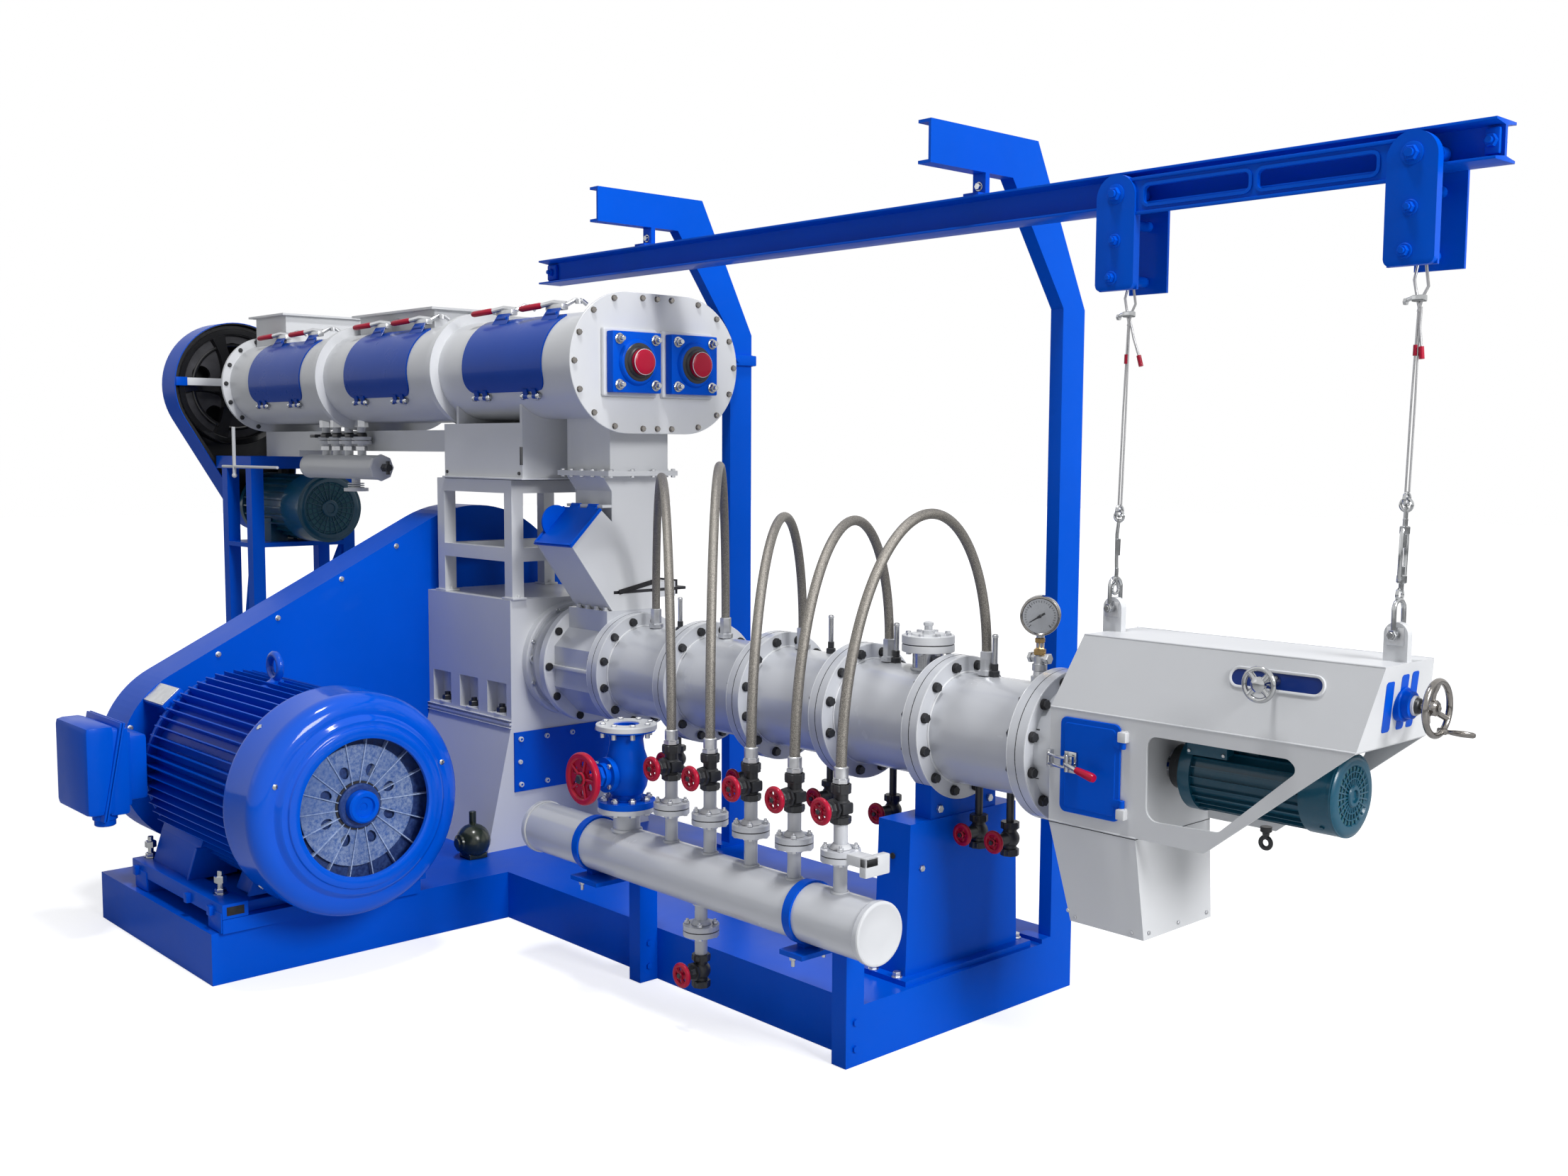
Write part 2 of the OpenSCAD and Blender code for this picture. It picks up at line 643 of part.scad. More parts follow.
post_w = 50;
post_d = 62;
post_x = [716, base_front - post_w];
strap_x = [669, 1541];
strap_w = 26;
module header_supports() color("royalblue") {
  back = -base_half_w;
  under = header_z - header_r - strap_w * 0.4;
  for (i = [0, 1]) {
    difference() {
      block([post_x[i], back - post_d, 0], [post_x[i] + post_w, back, under]);
      block([post_x[i] + plate_t, back - post_d + plate_t, -cut], [post_x[i] + post_w - plate_t,
        back - plate_t, under - plate_t]);
    }
    // Bracket plate from the post to below the pipe, and the strap round the pipe
    block([min(post_x[i], strap_x[i] - strap_w), -header_y - header_r, under - plate_t * 2],
      [post_x[i] + post_w, back - post_d / 2, under]);
    difference() {
      rod_x(strap_x[i] - strap_w / 2, strap_x[i] + strap_w / 2, header_r + plate_t, -header_y, header_z);
      rod_x(strap_x[i] - strap_w, strap_x[i] + strap_w, header_r + gap, -header_y, header_z);
    }
    block([strap_x[i] - strap_w / 2, -header_y - strap_w, under], [strap_x[i] + strap_w / 2,
      -header_y + strap_w, header_z - header_r - gap * 2]);
    for (z = [base_h * 0.3, base_h * 0.75]) translate([post_x[i] + post_w, back - post_d / 2, z])
      rotate([0, 90, 0]) hex_head(plate_t * 1.5, plate_t);
  }
}

// A small globe valve with its bonnet towards -Y
module globe_valve(x, y, z0, zc, z1, reach) {
  difference() {
    union() {
      rod_z(z0, z1, valve_r * 0.8, x, y);
      translate([x, y, z0]) cylinder(h = (zc - z0) * 0.4, r = valve_r * 1.1, $fn = 8);
      translate([x, y, z1 - (z1 - zc) * 0.4]) cylinder(h = (z1 - zc) * 0.4, r = valve_r * 1.1, $fn = 8);
      translate([x, y, zc]) sphere(r = valve_r * 1.15);
      rod_y(y - reach, y, valve_r * 0.75, x, zc);
    }
    rod_y(y - reach - cut, y - valve_r * 0.6, stem_r + fit, x, zc);
  }
}
drain_xs = [340, 685, 1040, 1290, 1600, 1705];
drain_row_z = 520;
module valve_bodies() color("black") {
  for (i = [0:branch_n - 1]) globe_valve(branch_at(i), -header_y, valve_z0, valve_z, valve_z1, reach);
  globe_valve(drain_x, -header_y, drain_valve_z - valve_r * 2, drain_valve_z,
    drain_valve_z + valve_r * 2, reach);
  // Condensate drains below the barrel, with fixed wheels
  for (x = drain_xs) {
    globe_valve(x, 0, drain_row_z - valve_r * 2, drain_row_z, drain_row_z + valve_r * 2, reach);
    rod_z(drain_row_z + valve_r, axis_z - barrel_r - gap, pipe_r * 0.6, x, 0);
    valve_wheel(x, drain_row_z, -reach - valve_r, -valve_r * 0.6, wheel_r * 0.9, rim_r, stem_r + fit);
  }
}

module angle_valve() color("royalblue") {
  difference() {
    union() {
      rod_z(inlet_z0, inlet_z0 + cap_t * 1.4, inlet_r, inlet_x, -header_y);
      rod_z(inlet_z0, inlet_z1, inlet_r * 0.5, inlet_x, -header_y);
      translate([inlet_x, -header_y, inlet_zc]) sphere(r = inlet_r * 0.66);
      rod_z(inlet_z1 - cap_t * 1.4, inlet_z1, inlet_r, inlet_x, -header_y);
      rod_y(-header_y - inlet_r * 1.15, -header_y, inlet_r * 0.42, inlet_x, inlet_zc);
      rod_y(-header_y - inlet_r * 0.95, -header_y - inlet_r * 0.75, inlet_r * 0.6, inlet_x, inlet_zc);
    }
    rod_z(inlet_zc, inlet_z1 + cut, inlet_r * 0.32, inlet_x, -header_y);
    rod_z(inlet_z0 - cut, inlet_zc - inlet_r * 0.4, inlet_r * 0.32, inlet_x, -header_y);
    rod_y(-header_y - inlet_r * 1.15 - cut, -header_y - inlet_r * 0.4, stem_r * 2 + fit, inlet_x,
      inlet_zc);
    for (a = [0:7]) rotate_about(inlet_x, -header_y, 45 * a + 22.5) rod_z(inlet_z1 - cap_t * 2,
      inlet_z1 + cut, inlet_bolt_r,
      inlet_r * 0.78, 0);
  }
}
inlet_bolt_r = 7;
module rotate_about(x, y, a) { translate([x, y, 0]) rotate([0, 0, a]) children(); }

// One hose: rings along a half ellipse from its branch to its port
hose_rings = 16;
hose_sides = 8;
hose_rise = [555, 591, 455, 455, 482];
function hose_end_x(i) = feed_joint_x + (i + 0.28) * section_len;
port_z = axis_z + barrel_r;
hose_z1 = port_z + 4 * hose_r;
function hose_at(i, s) = let (u = (1 - cos(180 * s)) / 2) [branch_at(i) + (hose_end_x(i) - branch_at(i))
  * u,
  -header_y * (1 - u), hose_z0 + (hose_z1 - hose_z0) * s + hose_rise[i] * sin(180 * s)];
function unit(v) = v / norm(v);
function hose_dir(i, s) = s <= 0 ? [0, 0, 1] : s >= 1 ? [0, 0, -1]
  : unit(hose_at(i, s + 0.01) - hose_at(i, s - 0.01));
module hose_tube(i) {
  side = unit([header_y, branch_at(i) - hose_end_x(i), 0]);
  pts = [for (k = [0:hose_rings - 1]) let (s = k / (hose_rings - 1), p = hose_at(i, s), d = hose_dir(i, s),
    n = unit(cross(d, side))) for (j = [0:hose_sides - 1]) let (a = 360 * j / hose_sides)
    p + hose_r * (cos(a) * side + sin(a) * n)];
  walls = [for (k = [0:hose_rings - 2], j = [0:hose_sides - 1]) let (m = (j + 1) % hose_sides,
    q = k * hose_sides) each [[q + j, q + hose_sides + j, q + m], [q + m, q + hose_sides + j,
      q + hose_sides + m]]];
  last = (hose_rings - 1) * hose_sides;
  polyhedron(pts, concat(walls, [[for (j = [0:hose_sides - 1]) j],
    [for (j = [hose_sides - 1:-1:0]) last + j]]));
}
module steam_hoses() color("gray") {
  for (i = [0:branch_n - 1]) {
    hose_tube(i);
    rod_z(valve_z1, hose_z0, hose_r * 1.25, branch_at(i), -header_y);
    rod_z(port_z + gap, hose_z1, hose_r * 1.25, hose_end_x(i), 0);
  }
}

// Stand below the feeding end of the conditioner
stand_w = 55;
stand_y = [-227, 200];
stand_top = 1474;
deck_z = 1075;
module rear_stand() color("royalblue") {
  x0 = stand_x[0];
  x1 = stand_x[1] + stand_w;
  y0 = stand_y[0];
  y1 = stand_y[1] + stand_w;
  for (x = stand_x, y = stand_y) {
    block([x, y, 0], [x + stand_w, y + stand_w, stand_top]);
    block([x - stand_w / 2, y - stand_w / 2, 0], [x + stand_w * 1.5, y + stand_w * 1.5, deck_t]);
  }
  // Top frame, motor shelf and low ties
  for (y = stand_y) {
    block([guard_x1 + gap, y, stand_top - stand_w], [x1, y + stand_w, stand_top]);
    block([x0, y, base_h], [x1, y + stand_w, base_h + stand_w]);
  }
  for (x = stand_x) block([x, y0, stand_top - stand_w], [x + stand_w, y1, stand_top]);
  block([x0, y0, deck_z], [x1, y1, deck_z + stand_w * 0.36]);
  // Diagonal braces between the front columns and behind the left ones
  bar([x1 - stand_w / 2, y0 + stand_w * 0.9, base_h + stand_w], [x1 - stand_w / 2, y1 - stand_w * 0.9,
    deck_z], stand_w * 0.28);
  bar([x0 + stand_w * 0.9, y0 + stand_w / 2, base_h + stand_w], [x1 - stand_w * 0.9, y0 + stand_w / 2,
    deck_z], stand_w * 0.28);
}

// Conditioner
end_t2 = 8;
shell_n = 3;
shell_x1 = end_plate_x - end_t2;
shell_x0 = shell_x1 - shell_n * shell_len;
stand_off = [-240, 11];
stand_x = [for (d = stand_off) shell_x0 + d];
rim_t = 14;
shaft_r = 30;
outlet_x0 = -100;
outlet_x1 = 138;
outlet_w = 118;
outlet_z = 1436;
door_len = 480;
door_off = [206, 190, 176];
door_a0 = -30;
door_a1 = 69;
door_t = 4;
hinge_r = 7;
hinge_pin_r = 4;
hopper_x0 = shell_x0 + shaft_r;
hopper_len = 290;
hopper_w = 170;
hopper_top = 2075;
hole_r = 6;
riser_x0 = shell_x0 + shell_len * 1.05;
riser_len = 570;
riser_w = 140;
riser_top = 2030;
channel_h = 80;
foot_x = [shell_x0 - channel_h / 2, shell_x0 + channel_h * 3.55];

// The figure-eight outline of the conditioner, grown by a radius
module twin_shape(r) {
  for (s = [-1, 1]) translate([s * cond_half, cond_z]) circle(r = r, $fn = 96);
  translate([-cond_half, cond_z - r]) square([2 * cond_half, 2 * r]);
}
// A sector of the left lobe between two angles above the horizontal, out to a radius
module door_sector(r, a0, a1) {
  n = 4;
  translate([-cond_half, cond_z]) polygon(concat([[0, 0]],
    [for (k = [0:n]) let (a = a0 + (a1 - a0) * k / n) [-r * cos(a), r * sin(a)]]));
}
function door_x0(i) = shell_x0 + i * shell_len + door_off[i];
function lug_x0(i, k) = door_x0(i) + door_len * lug_at[k];
hinge_out = shell_r + hinge_r + door_t;
hinge_y = -cond_half - hinge_out * cos(door_a0 - 4);
hinge_z = cond_z + hinge_out * sin(door_a0 - 4);
lug_w = 24;
lug_at = [0.16, 0.78];

module conditioner_shell() color("whitesmoke") {
  difference() {
    union() {
      along_x(shell_x0, shell_x1) twin_shape(shell_r);
      for (i = [0:shell_n]) {
        x = shell_x0 + i * shell_len - (i == 0 ? 0 : rim_t);
        along_x(x, x + rim_t * (i == 0 || i == shell_n ? 1 : 2)) twin_shape(shell_flange_r);
      }
      // Outlet down to the chute with its flange
      block([outlet_x0, -outlet_w, outlet_z], [outlet_x1, outlet_w, cond_z]);
      block([outlet_x0 - outlet_w * 0.2, -outlet_w * 1.2, outlet_z], [outlet_x1 + outlet_w * 0.2,
        outlet_w * 1.2, outlet_z + end_t2]);
      // Hinge lugs of the doors
      for (i = [0:2], k = [0, 1]) {
        x = lug_x0(i, k);
        along_x(x, x + lug_w) hull() {
          translate([hinge_y, hinge_z]) circle(r = hinge_r);
          translate([hinge_y + hinge_r * 3, hinge_z - hinge_r]) circle(r = hinge_r);
        }
      }
    }
    along_x(shell_x0 + shell_t, shell_x1 + cut) twin_shape(shell_r - shell_t);
    block([outlet_x0 + shell_t, -outlet_w + shell_t, outlet_z - cut], [outlet_x1 - shell_t,
      outlet_w - shell_t, cond_z]);
    for (i = [0:2]) along_x(door_x0(i) + lug_w, door_x0(i) + door_len - lug_w)
      door_sector(shell_flange_r, door_a0 + 4, door_a1 - 4);
    for (i = [0:2], k = [0, 1])
      rod_x(lug_x0(i, k) - cut, lug_x0(i, k) + lug_w + cut, hinge_pin_r + fit, hinge_y, hinge_z);
    for (s = [-1, 1]) rod_x(shell_x0 - cut, shell_x0 + shell_t + cut, shaft_r + fit, s * cond_half,
      cond_z);
    // Joints between the three sections
    for (k = [1:shell_n - 1]) along_x(shell_x0 + k * shell_len - gap / 2, shell_x0 + k * shell_len + gap / 2)
      twin_shape(shell_flange_r + cut);
    // Mouths below the inlet hopper and the riser
    block([hopper_x0 + shell_t, -hopper_w * 0.8, cond_z], [hopper_x0 + hopper_len - shell_t,
      hopper_w * 0.8, cond_z + shell_flange_r]);
    block([riser_x0 + shell_t, -riser_w * 0.8, cond_z], [riser_x0 + riser_len - shell_t, riser_w * 0.8,
      cond_z + shell_flange_r]);
  }
}

// A curved door with its hinge knuckles, pin and toggle latches
module access_door(i) {
  x0 = door_x0(i);
  along_x(x0, x0 + door_len) intersection() {
    door_sector(shell_flange_r, door_a0, door_a1);
    difference() {
      translate([-cond_half, cond_z]) circle(r = shell_r + gap + door_t, $fn = 96);
      translate([-cond_half, cond_z]) circle(r = shell_r + gap, $fn = 96);
    }
  }
  for (k = [0, 1]) {
    x = lug_x0(i, k);
    rod_x(x - lug_w - gap, x + 2 * lug_w + gap, hinge_pin_r, hinge_y, hinge_z);
    for (w = [x - lug_w - gap, x + lug_w + gap]) along_x(w, w + lug_w) hull() {
      translate([hinge_y, hinge_z]) circle(r = hinge_r, $fn = 32);
      translate([-cond_half - (shell_r + door_t) * cos(door_a0 + 3), cond_z + (shell_r + door_t)
        * sin(door_a0 + 3)])
        circle(r = door_t / 2, $fn = 32);
    }
  }
  // Toggle latches near the upper edge
  for (k = [0.2, 0.8]) translate([x0 + door_len * k, -cond_half, cond_z]) rotate([90 - door_a1 + 16, 0, 0])
    block([-lug_w / 2, -hinge_r * 4, shell_r + door_t - cut / 4], [lug_w / 2, hinge_r * 2,
      shell_r + door_t + hinge_r * 2]);
}
module access_door_1() color("royalblue") access_door(0);
module access_door_2() color("royalblue") access_door(1);
module access_door_3() color("royalblue") access_door(2);

end_plate_r = shell_flange_r * 1.083;
bearing_w = 100;
bearing_t = 34;
frame_t = 16;
module conditioner_end_plate() color("whitesmoke") {
  difference() {
    union() {
      along_x(shell_x1, end_plate_x) twin_shape(end_plate_r);
      for (s = [-1, 1]) block([end_plate_x, s * cond_half - bearing_w * 1.08, cond_z - bearing_w * 1.08],
        [end_plate_x + frame_t, s * cond_half + bearing_w * 1.08, cond_z + bearing_w * 1.08]);
      // Bolt heads round the plate
      for (s = [-1, 1], a = [-75:25:75]) translate([end_plate_x, s * cond_half, cond_z]) rotate([s * a,
        0, 0])
        translate([0, s * (end_plate_r - end_t2 * 2), 0]) rotate([0, 90, 0]) hex_head(end_t2, end_t2);
      for (y = [-cond_half / 2, cond_half / 2], s = [-1, 1]) translate([end_plate_x, y,
        cond_z + s * (end_plate_r - end_t2 * 2)])
        rotate([0, 90, 0]) hex_head(end_t2, end_t2);
    }
    for (s = [-1, 1]) rod_x(shell_x1 - cut, end_plate_x + frame_t + cut, shaft_r + fit, s * cond_half,
      cond_z);
  }
}

module bearing(x0, dir, y) {
  x1 = x0 + dir * bearing_t;
  difference() {
    union() {
      block([x0, y - bearing_w, cond_z - bearing_w], [x1, y + bearing_w, cond_z + bearing_w]);
      rod_x(x1, x1 + dir * bearing_t * 0.4, bearing_w * 0.72, y, cond_z);
    }
    rod_x(x0 - dir * bearing_t, x1 + dir * bearing_t, shaft_r + fit, y, cond_z);
  }
}
module conditioner_bearings() color("royalblue") {
  for (s = [-1, 1]) {
    bearing(end_plate_x + frame_t, 1, s * cond_half);
    bearing(shell_x0, -1, s * cond_half);
  }
}

shaft_x1 = end_plate_x + frame_t + bearing_t * 1.8;
paddle_pitch = 90;
paddle_w = 28;
paddle_n = floor(shell_n * shell_len / paddle_pitch) - 2;
module paddle_shaft(s, x0) {
  rod_x(x0, shaft_x1, shaft_r, s * cond_half, cond_z);
  for (k = [0:paddle_n - 1]) translate([shell_x0 + paddle_pitch * (k + (s < 0 ? 0.75 : 1.25)),
    s * cond_half, cond_z])
    rotate([90 * k + 45, 0, 0]) block([-paddle_w / 2, -paddle_w / 6, -paddle_r], [paddle_w / 2,
      paddle_w / 6, paddle_r]);
}
pulley_off = 390;
pulley_x0 = shell_x0 - pulley_off;
pulley_w = 66;
motor2_y = 20;
motor2_z = 1250;
pulley2_r = 88;
guard_x1 = pulley_x0 + pulley_w + belt_t * 1.7;
guard_x0 = guard_x1 - pulley_w * 2.27;
module paddle_shaft_left() color("dimgray") {
  paddle_shaft(-1, pulley_x0);
  // Spoked belt pulley
  difference() {
    rod_x(pulley_x0, pulley_x0 + pulley_w, cond_pulley_r, -cond_half, cond_z);
    for (x = [pulley_x0 - cut, pulley_x0 + pulley_w * 0.65]) difference() {
      rod_x(x, x + pulley_w * 0.35 + cut, cond_pulley_r - 2 * belt_t, -cond_half, cond_z);
      rod_x(x - cut, x + pulley_w * 0.35 + 3 * cut, hub_r, -cond_half, cond_z);
    }
    ring_x(5, -cond_half, cond_z) rod_x(pulley_x0 - cut, pulley_x0 + pulley_w + cut,
      cond_pulley_r * 0.16, 0, cond_pulley_r * 0.6);
  }
}
module paddle_shaft_right() color("dimgray") paddle_shaft(1, shell_x0 - bearing_t);

rotor2_r = 24;
module conditioner_rotor() color("dimgray") {
  rod_x(pulley_x0, motor2_x0 + motor2_len * 0.4, rotor2_r, motor2_y, motor2_z);
  rod_x(pulley_x0, pulley_x0 + pulley_w, pulley2_r, motor2_y, motor2_z);
}
// Outline of the conditioner belts, grown by two radii
module belt2_shape(g0, g1) { belt_shape([motor2_y, motor2_z], pulley2_r + g0, [-cond_half, cond_z],
  cond_pulley_r + g1); }
module conditioner_belts() color("black") difference() {
  along_x(pulley_x0 + pulley_w * 0.1, pulley_x0 + pulley_w * 0.9) belt2_shape(belt_t, belt_t);
  along_x(pulley_x0 - cut, pulley_x0 + pulley_w + cut) belt2_shape(gap, gap);
}
module conditioner_guard() color("royalblue") {
  g0 = 2 * (belt_t + guard_t);
  g1 = belt_t + 3 * guard_t;
  difference() {
    along_x(guard_x0, guard_x1) belt2_shape(g0, g1);
    along_x(guard_x0 + guard_t, guard_x1 - guard_t) belt2_shape(g0 - guard_t, g1 - guard_t);
    // The open side keeps an inward rim
    along_x(guard_x1 - 2 * guard_t, guard_x1 + cut) belt2_shape(g0 - 2 * belt_t, g1 - belt_t * 3);
  }
}

motor2_r = 130;
motor2_x0 = pulley_x0 + pulley_w + bearing_t;
motor2_len = 590;
module conditioner_motor() color("teal") {
  difference() {
    union() {
      rod_x(motor2_x0, motor2_x0 + motor2_len, motor2_r, motor2_y, motor2_z);
      rod_x(motor2_x0, motor2_x0 + motor2_len * 0.05, motor2_r + fin_h / 2, motor2_y, motor2_z);
      rod_x(motor2_x0 + motor2_len * 0.72, motor2_x0 + motor2_len, motor2_r + fin_h / 2, motor2_y,
        motor2_z);
      along_x(motor2_x0, motor2_x0 + motor2_len * 0.72) translate([motor2_y, motor2_z]) for (i = [0:23])
        rotate(15 * i) translate([motor2_r - fin_h, -fin_h / 10]) square([fin_h * 1.4, fin_h / 5]);
      for (s = [-1, 1], x = [motor2_x0 + foot_t, motor2_x0 + foot_w * 1.7]) block([x,
        motor2_y + s * motor2_r * 0.35, deck_z + stand_w * 0.36],
        [x + foot_w, motor2_y + s * motor2_r * 0.95, motor2_z - motor2_r * 0.4]);
    }
    rod_x(motor2_x0 - cut, motor2_x0 + motor2_len * 0.4, rotor2_r + fit, motor2_y, motor2_z);
  }
}

// The hopper is open at the top and the riser has a lid
module inlet_hopper() color("whitesmoke") {
  for (b = [[hopper_x0, hopper_len, hopper_w, hopper_top, 0], [riser_x0, riser_len, riser_w, riser_top,
    end_t2]])
    difference() {
      union() {
        block([b[0], -b[2], cond_z + shell_r * 0.5], [b[0] + b[1], b[2], b[3]]);
        block([b[0] - end_t2 * 3, -b[2] - end_t2 * 3, b[3] - end_t2], [b[0] + b[1] + end_t2 * 3,
          b[2] + end_t2 * 3, b[3]]);
      }
      block([b[0] + shell_t, -b[2] + shell_t, cond_z], [b[0] + b[1] - shell_t, b[2] - shell_t,
        b[3] + cut - 2 * b[4]]);
      along_x(shell_x0, shell_x1) twin_shape(shell_r + gap);
      for (x = [b[0] - end_t2 * 1.5, b[0] + b[1] + end_t2 * 1.5], y = [-b[2] - end_t2 * 1.5,
        b[2] + end_t2 * 1.5])
        rod_z(b[3] - end_t2 - cut, b[3] + cut, hole_r, x, y);
    }
}

mani_x0 = shell_x0 + shell_len * 0.553;
mani_len = shell_len * 0.68;
mani_y = -150;
mani_z = 1437;
mani_r = 48;
mani_off = [0.24, 0.4, 0.57, 0.75];
module conditioner_manifold() color("lightgray") {
  difference() {
    union() {
      rod_x(mani_x0, mani_x0 + mani_len, mani_r, mani_y, mani_z);
      for (k = mani_off) {
        rod_z(mani_z, cond_z - shell_r * 0.8, pipe_r, mani_x0 + mani_len * k, mani_y);
        flange_pair(mani_x0 + mani_len * k, mani_y, mani_z + mani_r * 2.2, branch_r * 0.8, branch_t);
      }
      rod_z(mani_z - mani_r * 2, mani_z, pipe_r, mani_x0 + mani_len * 0.66, mani_y);
      rod_z(mani_z - mani_r * 2, mani_z - mani_r * 2 + branch_t, branch_r, mani_x0 + mani_len * 0.66,
        mani_y);
    }
    along_x(shell_x0, shell_x1) twin_shape(shell_r + gap);
    rod_x(mani_x0 + cap_t, mani_x0 + mani_len - cap_t, mani_r - cap_t / 2, mani_y, mani_z);
  }
}

tower_post = 46;
tower_half = 235;
tower_x0 = gear_x0 + 60;
tower_top = 1410;
box_top = 1600;
channel_y0 = 46;
channel_y1 = 106;
module conditioner_supports() color("whitesmoke") {
  // Frame on the gearbox
  for (x = [tower_x0, gear_x1 - tower_post], y = [-tower_half, tower_half - tower_post])
    block([x, y, gear_top_z], [x + tower_post, y + tower_post, tower_top]);
  for (z = [gear_top_z + tower_post * 2.8, tower_top - tower_post]) {
    for (y = [-tower_half, tower_half - tower_post]) block([tower_x0, y, z], [gear_x1, y + tower_post,
      z + tower_post]);
    for (x = [tower_x0, gear_x1 - tower_post]) block([x, -tower_half, z], [x + tower_post, tower_half,
      z + tower_post]);
  }
  // Box under the shell, with cradles
  bx0 = tower_x0 + 55;
  bx1 = gear_x1 + 70;
  difference() {
    union() {
      block([bx0, -tower_half, tower_top], [bx1, tower_half, box_top]);
      for (x = [bx0 + rim_t * 6, bx1 - rim_t]) block([x, -tower_half, box_top],
        [x + rim_t, tower_half, cond_z - shell_r * 0.5]);
    }
    block([bx0 + end_t2, -tower_half + end_t2, tower_top - cut], [bx1 - end_t2, tower_half - end_t2,
      box_top - end_t2]);
    along_x(bx0 - cut, bx1 + cut) twin_shape(shell_r + gap);
    fx = shell_x1 - shell_len;
    along_x(fx - rim_t - gap, fx + rim_t + gap) twin_shape(shell_flange_r + gap);
  }
  // Long channels under the shell flanges, back to the rear foot
  for (s = [-1, 1]) difference() {
    block([foot_x[0], s * channel_y0, cond_z - shell_flange_r - channel_h],
      [bx0, s * channel_y1, cond_z - shell_flange_r]);
    block([foot_x[0] - cut, s * (channel_y0 - cut), cond_z - shell_flange_r - channel_h + end_t2],
      [bx0 - end_t2, s * (channel_y1 - end_t2), cond_z - shell_flange_r - end_t2]);
  }
  block([foot_x[0], -channel_y1, stand_top], [foot_x[1], channel_y1, cond_z - shell_flange_r - channel_h]);
}

// Chute to the feed throat, with its bypass lid and slide gate
chute_half = 100;
chute_t = 5;
throat_out = 84;
lid_low = [-242, 1204];
lid_high = [-127, 1318];
chute_neck = [-83, 1278];
chute_wide = 99;
chute_bend = 1378;
gate_z = 1040;
gate_t = 10;
gate_y0 = -78;
gate_y1 = 200;
lid_t = 6;
lid_along = unit(lid_high - lid_low);
lid_out = [-lid_along.y, lid_along.x];
lid_hinge = lid_high + lid_along * lid_t * 2.4 + lid_out * (gap + lid_t / 2);
lid_tube = chute_half * 0.72;
module chute_side(t) {
  polygon([[-throat_out + t, chute_z - (t > 0 ? cut : 0)], [lid_low.x + t * 1.4, lid_low.y],
    [lid_high.x, lid_high.y + (t > 0 ? cut : 0)], [chute_neck.x + t, chute_neck.y], [chute_neck.x + t,
      chute_bend],
    [-outlet_w + t, outlet_z - end_t2 + (t > 0 ? cut : 0)], [outlet_w - t,
      outlet_z - end_t2 + (t > 0 ? cut : 0)],
    [chute_wide - t, chute_bend], [throat_out - t, chute_z - (t > 0 ? cut : 0)]]);
}
module feed_chute() color("whitesmoke") {
  difference() {
    union() {
      along_x(-chute_half, chute_half) chute_side(0);
      block([outlet_x0 - outlet_w * 0.2, -outlet_w * 1.2, outlet_z - end_t2],
        [outlet_x1 + outlet_w * 0.2, outlet_w * 1.2, outlet_z - gap / 2]);
      // Hinge rod of the lid and its three lugs
      rod_x(-chute_half, chute_half, lid_t / 2, lid_hinge.x, lid_hinge.y);
      for (x = [-chute_half, -lid_tube / 3 + gap, lid_tube + gap]) block([x, lid_hinge.x - lid_t / 2,
        lid_hinge.y - lid_t],
        [x == -lid_tube / 3 + gap ? -x : x + chute_half - lid_tube - gap, chute_neck.x + chute_t / 2,
          lid_hinge.y + lid_t / 2]);
      // Housing of the slide gate behind the chute
      block([-chute_half, 0, gate_z - gate_t * 2], [chute_half, gate_y1 - gate_t * 2,
        gate_z + gate_t * 3]);
    }
    along_x(-chute_half + chute_t, chute_half - chute_t) chute_side(chute_t);
    // Mouth of the bypass under its lid
    along_x(-chute_half + chute_t, chute_half - chute_t) polygon([lid_low + [chute_t * 2, 0],
      lid_high + [0, -chute_t * 2],
      lid_high + [-chute_t * 6, chute_t * 2], lid_low + [-chute_t * 2, chute_t * 6]]);
    block([-chute_half + chute_t, gate_y0 + gap, gate_z - gap], [chute_half + cut, gate_y1,
      gate_z + gate_t + gap]);
  }
}
module bypass_lid() color("royalblue") {
  difference() {
    union() {
      along_x(-chute_half - lid_t, chute_half + lid_t)
        polygon([lid_low + lid_out * gap - lid_along * lid_t,
        lid_high + lid_out * gap, lid_high + lid_out * (gap + lid_t), lid_low + lid_out * (gap + lid_t)
          - lid_along * lid_t]);
      // Two tubes on the hinge rod of the chute
      for (x = [-lid_tube, lid_tube / 3]) {
        along_x(x, x + lid_tube * 2 / 3) polygon([lid_high + lid_out * gap,
          lid_hinge - lid_out * lid_t / 2,
          lid_hinge + lid_out * lid_t / 2, lid_high + lid_out * (gap + lid_t)]);
        rod_x(x, x + lid_tube * 2 / 3, lid_t, lid_hinge.x, lid_hinge.y);
      }
    }
    rod_x(-chute_half, chute_half, lid_t / 2 + fit, lid_hinge.x, lid_hinge.y);
  }
  // Grip plate on the lid
  grip = lid_low + (lid_high - lid_low) * 0.6 + lid_out * (gap + lid_t / 2);
  face = atan2(lid_along.y, lid_along.x);
  along_x(-chute_half * 0.9, -chute_half * 0.9 + lid_t) polygon(arc(grip, chute_half * 0.55, face,
    face + 180));
}
module slide_gate() color("dimgray") {
  block([-chute_half + chute_t + gap, gate_y0 + 2 * gap, gate_z], [chute_half - chute_t - gap,
    gate_y1 + gate_t * 3, gate_z + gate_t]);
  block([-chute_half * 0.5, gate_y1 + gate_t * 2, gate_z - gate_t * 2], [chute_half * 0.5,
    gate_y1 + gate_t * 3, gate_z + gate_t * 3]);
}

